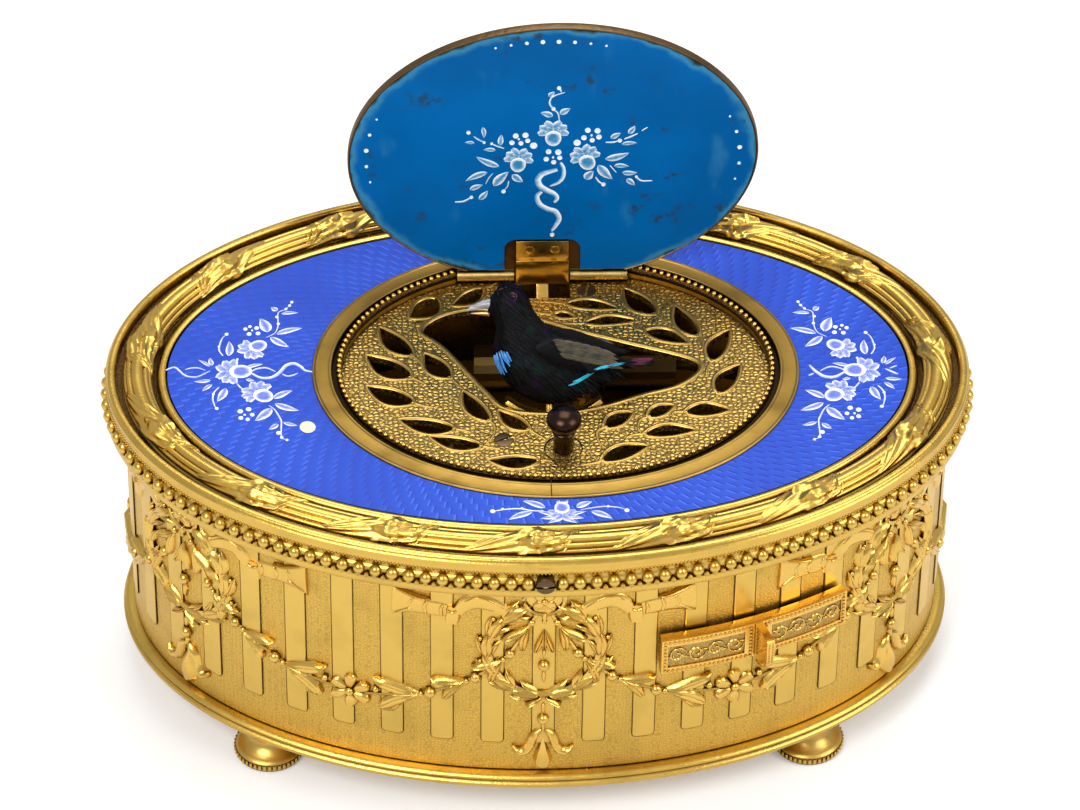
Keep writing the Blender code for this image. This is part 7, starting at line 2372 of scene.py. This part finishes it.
        settle(bright.turned(BIRD).build(Finishes.TURQUOISE, FINE_DEG), body, slot)

    def quill(self, shape: Shape, place: Place, root: tuple[float, float], tip: tuple[float, float],
              half: float, lift: float) -> None:
        """Add one feather with a vein, a little over the layer below it.

        Args:
            shape: the shape it joins.
            place: the surface, from (u, v, h) to a point.
            root: where it starts.
            tip: where it ends.
            half: half its width.
            lift: how high over the surface it lies.
        """
        length = math.hypot(tip[0] - root[0], tip[1] - root[1])
        angle = math.degrees(math.atan2(tip[1] - root[1], tip[0] - root[0]))
        shape.leaf(lambda u, v, h: place(u, v, lift + h * 0.6), root, angle, length, half, 0.2, bend=3.0,
                   steps=7, base=-0.14, vein=0.4)

    def tail(self) -> None:
        """Build the fanned tail with its crimson streaks."""
        dark, red = Shape("tail_dark"), Shape("tail_red")
        feathers = ((-9, 5.6), (-5, 6.0), (-1.5, 6.2), (2, 6.1), (6, 5.7), (10, 5.2))
        for k, (turn, length) in enumerate(feathers):
            level = 8.2 + 0.07 * k

            def place(u: float, v: float, h: float) -> Vector:
                """Return a point of the tail's plane."""
                return Vector((u, self.middle + v, level + h + 0.02 * (u - 9.6)))

            dark.leaf(place, (9.4, -0.5 + 0.2 * k), turn, length, 0.62, 0.16, steps=8, base=-0.1, vein=0.35)
            start = (11.0 + 0.25 * k, -0.5 + 0.2 * k + math.tan(math.radians(turn)) * 1.7)
            red.leaf(lambda u, v, h: place(u, v, h + 0.1), start, turn + 1, 3.2, 0.06, 0.07, steps=5,
                     base=-0.05)
        settle(dark.turned(BIRD).build(Finishes.FEATHER, FINE_DEG), "tail_feathers", "black_feather", "tail")
        settle(red.turned(BIRD).build(Finishes.CRIMSON, FINE_DEG), "tail_feathers", "black_feather")


@dataclass
class Slide:
    """The engraved start and stop slide with its milled fin."""

    rows: RowTree
    centre: tuple[float, float] = (4.011, 32.288)
    bearing: float = -69.56
    back_r: float = 67.92
    face_r: float = 69.32
    track_r: float = 67.27
    low: float = 26.1
    high: float = 32.2
    half: float = 12.9
    panel_in: float = 1.3
    panel_out: float = 12.1
    floor_h: float = -0.24

    def at(self, s: float, z: float, h: float) -> Vector:
        """Find a point on the slide.

        Args:
            s: arc length from its middle.
            z: height.
            h: how proud of its face.

        Returns:
            The point.
        """
        angle = math.radians(self.bearing) + s / self.track_r
        radius, (x, y) = self.face_r + h, self.centre
        return Vector((x + radius * math.cos(angle), y + radius * math.sin(angle), z))

    def build(self) -> None:
        """Build the plate, its engraved panels and the fin."""
        plate = Shape("slide_bar")
        thick, bevel = self.back_r - self.face_r, 0.2
        rows = []
        for k in range(33):
            s = -self.half + 2 * self.half * k / 32
            rows.append([self.at(s, z, h) for z, h in (
                (self.low, thick), (self.low, -bevel), (self.low + bevel * 0.5, -0.03),
                (self.low + bevel * 1.5, 0.0), (self.high - bevel * 1.5, 0.0),
                (self.high - bevel * 0.5, -0.03), (self.high, -bevel), (self.high, thick))])
        plate.lattice(rows, round_rows=True)
        sinks = [self.sink(side) for side in (-1, 1)]
        settle(carve(plate.build(Finishes.GILT_BRIGHT), *sinks), "slide", "gilt", "slide_plate")
        floors, scroll = Shape("slide_floor"), Shape("slide_scroll")
        for side in (-1, 1):
            self.engrave(floors, scroll, side)
        settle(floors.build(Finishes.GILT_ENGRAVED), "slide", "gilt")
        settle(scroll.build(Finishes.GILT_CHASED, FINE_DEG), "slide", "gilt")
        bead = Shape("border_bead")
        bead.ball(Vector((0, 0, 0)), 0.27, steps=8)
        for side, name in ((-1, "left"), (1, "right")):
            path = [self.at(s, z, 0.0) for s, z in self.frame_path(side)]
            settle(self.rows.row(f"slide_border_{name}", path, bead, 54, Finishes.GILT_CHASED, seed=2),
                   "slide", "gilt")
        self.fin()

    def frame_path(self, side: int) -> list[tuple[float, float]]:
        """Draw the milled border's line round one panel.

        Args:
            side: -1 for the left panel, 1 for the right one.

        Returns:
            Its points as (arc length, height).
        """
        a, b = side * (self.panel_in - 0.25), side * (self.half - 0.45)
        low, high = self.low + 0.5, self.high - 0.5
        corners = [(a, low), (b, low), (b, high), (a, high)]
        path = []
        for i in range(4):
            start, end = corners[i], corners[(i + 1) % 4]
            path += [(start[0] + (end[0] - start[0]) * k / 12, start[1] + (end[1] - start[1]) * k / 12)
                     for k in range(12)]
        return path

    def slab(self, shape: Shape, start: float, end: float, margin: float, low: float, high: float) -> None:
        """Add a block that follows the slide's arc.

        Args:
            shape: the shape it joins.
            start: arc length of one end.
            end: arc length of the other.
            margin: how far it stays off the slide's upper and lower edge.
            low: height of its underside over the slide's face.
            high: height of its top over the face.
        """
        rows = []
        for k in range(13):
            s = start + (end - start) * k / 12
            rows.append([self.at(s, z, h) for z, h in (
                (self.low + margin, low), (self.low + margin, high), (self.high - margin, high),
                (self.high - margin, low))])
        shape.lattice(rows, round_rows=True)

    def sink(self, side: int) -> Shape:
        """Make the cutter of one sunk panel.

        Args:
            side: -1 for the left panel, 1 for the right one.

        Returns:
            The cutter.
        """
        cutter = Shape("panel_sink")
        self.slab(cutter, side * (self.panel_in + 0.55), side * self.panel_out, 1.15, -0.3, 0.5)
        return cutter

    def engrave(self, floor: Shape, scroll: Shape, side: int) -> None:
        """Fill one sunk panel with a matted floor and a running scroll.

        Args:
            floor: the shape the floor joins.
            scroll: the shape the scroll joins.
            side: -1 for the left panel, 1 for the right one.
        """
        a, b = self.panel_in + 0.55, self.panel_out
        self.slab(floor, side * a, side * b, 1.1, -0.5, self.floor_h)

        def surface(u: float, v: float, h: float) -> Vector:
            """Return a point on the panel's floor."""
            return self.at(side * u, (self.low + self.high) / 2 + v, h + self.floor_h)

        turns = 4
        width = (b - a) / turns
        for i in range(turns):
            way = 1 if i % 2 else -1
            centre = a + width * (i + 0.5)
            spiral = []
            for k in range(19):
                angle = math.pi * (1.0 - k / 18 * 2.6)
                radius = width * 0.5 * (1.0 - 0.8 * k / 18)
                spiral.append((centre + radius * math.cos(angle), way * radius * 1.15 * math.sin(angle)))
            scroll.dome(surface, spiral, [0.07 + 0.1 * math.sin(math.pi * k / 18) for k in range(19)], 0.22,
                        base=-0.05, across=4)
            for angle, length in ((200, 0.9), (235, 0.8), (305, 0.9), (340, 0.8)):
                root = (centre + 0.25 * width * math.cos(math.radians(angle * way)), way * -0.45)
                scroll.leaf(surface, root, -angle * way, length, 0.17, 0.2, bend=30 * way, base=-0.05,
                            steps=5)

    def fin(self) -> None:
        """Build the finger piece, milled on its front edge."""
        profile = [(0.1, 26.4), (1.5, 26.45), (2.6, 26.8), (3.5, 27.35), (3.85, 27.9), (4.0, 28.7),
                   (4.0, 31.9), (3.92, 32.12), (3.7, 32.2), (0.1, 32.2)]
        body = Shape("finger_piece")
        sides = ((-0.5, -0.04), (-0.42, 0.0), (0.42, 0.0), (0.5, -0.04))
        body.lattice([[self.at(s, z, h + drop) for h, z in profile] for s, drop in sides], round_rows=True)
        settle(body.build(Finishes.GILT_BRIGHT, 30.0), "slide", "gilt", "slide_knob")
        mill = Shape("fin_milling")
        for k in range(12):
            z = 28.4 + 0.3 * k
            for s in (-0.24, 0.24):
                mill.ball(self.at(s, z, 3.95), 0.18, steps=6)
        settle(mill.build(Finishes.GILT_CHASED), "slide", "gilt")


@dataclass
class Base:
    """The moulded base plate and the four milled feet."""

    rows: RowTree
    foot_x: float = 36.5
    foot_y: float = 23.0
    knurl_r: float = 4.62
    knurl_z: float = 0.82
    knurls: int = 44

    def build(self) -> None:
        """Build the plate and the feet."""
        plate = Shape("base_edge")
        profile = [(0.9, 6.0), (1.5, 6.15), (1.62, 6.4), (1.62, 6.8), (1.45, 6.98), (1.15, 7.08), (1.12, 7.2),
                   (1.35, 7.4), (1.38, 7.65), (1.2, 7.85), (0.75, 8.0), (-1.4, 8.0), (-1.4, 9.0)]
        plate.lattice([CASE.ring(grow, z, WALL_STEPS) for grow, z in profile], round_rows=True)
        hole = Shape("winding_way")
        hole.lathe([(3.5, 4.0), (3.5, 11.0)], (-30.0, 2.0), 40)
        settle(carve(plate.build(Finishes.GILT), hole), "case", "gilt", "base_plate")
        feet = Shape("feet")
        for x in (-self.foot_x, self.foot_x):
            for y in (-self.foot_y, self.foot_y):
                feet.lathe([(4.2, 0.0), (4.6, 0.12), (4.62, 0.35), (4.5, 0.5), (4.5, 1.15), (4.62, 1.25),
                            (4.5, 1.45), (4.1, 1.62), (3.4, 1.95), (2.8, 2.5), (2.42, 3.1), (2.35, 3.7),
                            (2.5, 4.3), (2.9, 4.8), (3.5, 5.12), (3.85, 5.35), (3.9, 5.95)], (x, y), 48)
        settle(feet.build(Finishes.GILT_FOOT), "case", "gilt", "foot_front_left", "foot_front_right",
               "foot_back_left", "foot_back_right")
        rib = ((-0.27, 0.3), (-0.2, -0.12), (0.0, -0.26), (0.2, -0.12), (0.27, 0.3))
        knurl = Shape("knurl").prism(rib, -0.36, 0.36)
        for end, y in (("front", -self.foot_y), ("back", self.foot_y)):
            for side, x in (("left", -self.foot_x), ("right", self.foot_x)):
                path = [Vector((x + self.knurl_r * math.sin(a), y - self.knurl_r * math.cos(a), self.knurl_z))
                        for a in angles(96)]
                settle(self.rows.row(f"knurls_{end}_{side}", path, knurl, self.knurls, Finishes.GILT_CHASED,
                                     seed=1, smooth=30.0), "case", "gilt")


@dataclass
class Post:
    """The dark ball-headed post in front of the bird, with its collar."""

    ball_r: float = 2.35
    ball_rise: float = 1.65
    ball_z: float = 51.35

    def build(self) -> None:
        """Build the post."""
        collar = Shape("post_collar")
        collar.lathe([(1.3, 44.4), (2.45, 44.4), (2.45, 46.1), (2.38, 46.2), (1.75, 46.25), (1.3, 46.27)],
                     POST_SPOT, 40, loop=True)
        settle(collar.build(Finishes.GILT_MATTED), "post", "gilt")
        post = Shape("ball_post")
        profile = [(1.36, 44.5), (1.36, 46.3), (1.35, 46.6), (1.33, 49.1), (1.38, 49.2),
                   (1.56, 49.3), (1.56, 49.5), (1.38, 49.62), (1.33, 49.8), (1.42, 49.98)]
        for k in range(15):
            angle = math.radians(-52 + 140 * k / 14)
            profile.append((self.ball_r * math.cos(angle), self.ball_z + self.ball_rise * math.sin(angle)))
        profile.append((0.02, 53.0))
        post.lathe(profile, POST_SPOT, 40)
        settle(post.build(Finishes.BRONZE, 50.0), "post", "dark_bronze", "lid_plunger")


@dataclass
class Bellows:
    """The pleated leather between the bellows' boards."""

    hinge: tuple[float, float] = (42.0, 19.5)
    length: float = 30.0
    width: float = 26.0
    corner: float = 3.0
    opening: float = 10.0
    folds: int = 7

    def build(self) -> None:
        """Build the leather, fanned open between the boards."""
        leather = Shape("pleated_leather")
        x0, x1, half = self.hinge[0] - self.length, self.hinge[0], self.width / 2
        rows = []
        steps = self.folds * 4
        for k in range(steps + 1):
            share = k / steps
            turn = -math.radians(self.opening) * (0.02 + 0.93 * share)
            inset = 2.0 - 0.75 * math.cos(2 * math.pi * self.folds * share)
            outline = [(x0 + self.corner, -half + inset), (x1 - 3.2, -half + inset), (x1 - 3.2, half - inset),
                       (x0 + self.corner, half - inset), (x0 + inset, half - self.corner),
                       (x0 + inset, self.corner - half)]
            row = []
            for i, start in enumerate(outline):
                end = outline[(i + 1) % len(outline)]
                for part in range(5):
                    x = start[0] + (end[0] - start[0]) * part / 5
                    y = start[1] + (end[1] - start[1]) * part / 5
                    away = x - self.hinge[0]
                    row.append(Vector((self.hinge[0] + away * math.cos(turn), y,
                                       self.hinge[1] - 0.1 - away * math.sin(turn))))
            rows.append(row)
        leather.lattice(rows, round_rows=True)
        piece = leather.build(Finishes.LEATHER, 70.0)
        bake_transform(piece)
        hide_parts("bellows_leather")
        LOG.info("%s bends between case and pump", piece.name)


@dataclass
class Viewpoint:
    """The photograph's viewpoint: angles in degrees, target in millimetres, distance in metres."""

    azimuth: float = -2.093
    elevation: float = 42.14
    roll: float = 0.781
    target: tuple[float, float, float] = (0.34, 0.0, 41.39)
    distance: float = 0.7562
    lens: float = 188.3
    sensor: float = 36.0

    def build(self) -> None:
        """Set up the camera."""
        azimuth, elevation, roll = (math.radians(a) for a in (self.azimuth, self.elevation, self.roll))
        back = Vector((math.sin(azimuth) * math.cos(elevation), -math.cos(azimuth) * math.cos(elevation),
                       math.sin(elevation)))
        across = Vector((0, 0, 1)).cross(back).normalized()
        upright = back.cross(across)
        right = across * math.cos(roll) + upright * math.sin(roll)
        up = upright * math.cos(roll) - across * math.sin(roll)
        data = bpy.data.cameras.new("camera")
        data.lens, data.sensor_width = self.lens, self.sensor
        data.clip_start, data.clip_end = 0.01, 20.0
        made = bpy.data.objects.new("camera", data)
        rotation = Matrix((right, up, back)).transposed().to_4x4()
        made.matrix_world = Matrix.Translation(Vector(self.target) * MM + back * self.distance) @ rotation
        bpy.context.scene.collection.objects.link(made)
        bpy.context.scene.camera = made


@dataclass
class Studio:
    """A pale floor, soft lamps and a pale surround; lengths in metres, power in watts."""

    floor_half: float = 3.0
    floor_tone: float = 0.86
    floor_glow: float = 0.2
    mirrored: float = 0.55
    surround: float = 0.42
    aim_z: float = 0.03
    lamps: tuple[tuple[str, Colour, float, float], ...] = (
        ("key_lamp", (-0.35, -0.55, 0.75), 0.45, 5.2), ("fill_lamp", (0.65, -0.30, 0.55), 0.5, 3.0),
        ("top_lamp", (0.05, 0.35, 0.95), 0.6, 4.5))

    def build(self) -> None:
        """Build the studio."""
        scene = bpy.context.scene
        scene.view_settings.view_transform = "Standard"
        half = self.floor_half
        data = bpy.data.meshes.new("floor")
        data.from_pydata([(x, y, 0) for x, y in rectangle(-half, -half, half, half)], [], [(0, 1, 2, 3)])
        data.materials.append(self.floor_material())
        floor = bpy.data.objects.new("floor", data)
        scene.collection.objects.link(floor)
        for lamp in self.lamps:
            self.lamp(*lamp)
        world = bpy.data.worlds.new("surround")
        world.use_nodes = True
        scene.world = world
        draft = Draft(world.node_tree)
        shade = world.node_tree.nodes["Background"]
        shade.inputs["Color"].default_value = (1.0, 1.0, 1.0, 1.0)
        path = draft.node("ShaderNodeLightPath")
        bent = draft.math("MAXIMUM", path.outputs["Is Glossy Ray"], path.outputs["Is Transmission Ray"])
        seen = draft.math("MULTIPLY", bent, self.mirrored)
        shown = draft.math("MAXIMUM", path.outputs["Is Camera Ray"], seen)
        draft.feed(shade.inputs["Strength"], draft.math("MAXIMUM", shown, self.surround))

    def floor_material(self) -> bpy.types.Material:
        """Make a pale matt floor that shows white to the camera and keeps its shadows.

        Returns:
            Its material.
        """
        material = bpy.data.materials.new("floor_pale")
        material.use_nodes = True
        draft = Draft(material.node_tree)
        shader = material.node_tree.nodes["Principled BSDF"]
        tone = self.floor_tone
        shader.inputs["Base Color"].default_value = (tone, tone, tone, 1.0)
        shader.inputs["Roughness"].default_value = 0.9
        path = draft.node("ShaderNodeLightPath")
        shader.inputs["Emission Color"].default_value = (1.0, 1.0, 1.0, 1.0)
        draft.feed(shader.inputs["Emission Strength"],
                   draft.math("MULTIPLY", path.outputs["Is Camera Ray"], self.floor_glow))
        return material

    def lamp(self, name: str, place: tuple[float, float, float], size: float, power: float) -> None:
        """Hang a square area lamp that faces the box.

        Args:
            name: its name.
            place: where it hangs.
            size: the length of its side.
            power: its power.
        """
        data = bpy.data.lights.new(name, "AREA")
        data.size = size
        data.energy = power
        made = bpy.data.objects.new(name, data)
        made.location = place
        made.rotation_euler = (Vector((0, 0, self.aim_z)) - Vector(place)).to_track_quat("-Z", "Y").to_euler()
        bpy.context.scene.collection.objects.link(made)


def dress_frame(nodes: dict[str, bpy.types.Object], record: dict) -> None:
    """Give every CAD node the finish of its material slot.

    Args:
        nodes: the CAD nodes by name.
        record: the part's record.
    """
    finishes = {"gilt": Finishes.GILT, "brass": Finishes.BRASS, "steel": Finishes.STEEL,
                "dark_bronze": Finishes.BRONZE, "blue_enamel": Finishes.BLUE, "sky_enamel": Finishes.SKY,
                "black_feather": Finishes.FEATHER, "pale_horn": Finishes.HORN,
                "beak_gold": Finishes.BEAK_GOLD, "white_leather": Finishes.LEATHER, "boxwood": Finishes.WOOD}
    for entry in record["subparts"]:
        node = nodes[entry["node"]]
        node.data.materials.clear()
        node.data.materials.append(finishes[entry["material_slot"]].material)


def main() -> None:
    """Load the frame, build every sub-assembly round it and light it."""
    logging.basicConfig(level=logging.INFO, format="%(message)s")
    for item in list(bpy.data.objects):
        bpy.data.objects.remove(item)
    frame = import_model()
    Viewpoint().build()
    Studio().build()
    dress_frame(frame["nodes"], frame["record"])
    rows = RowTree()
    CaseWall(rows).build()
    TopMoulding(rows).build()
    Base(rows).build()
    Deck(rows).build()
    Grille().build()
    Lid().build(frame["nodes"])
    Bird(PlumageTree()).build(frame["nodes"])
    Post().build()
    Slide(rows).build()
    Bellows().build()


if __name__ == "__main__":
    main()
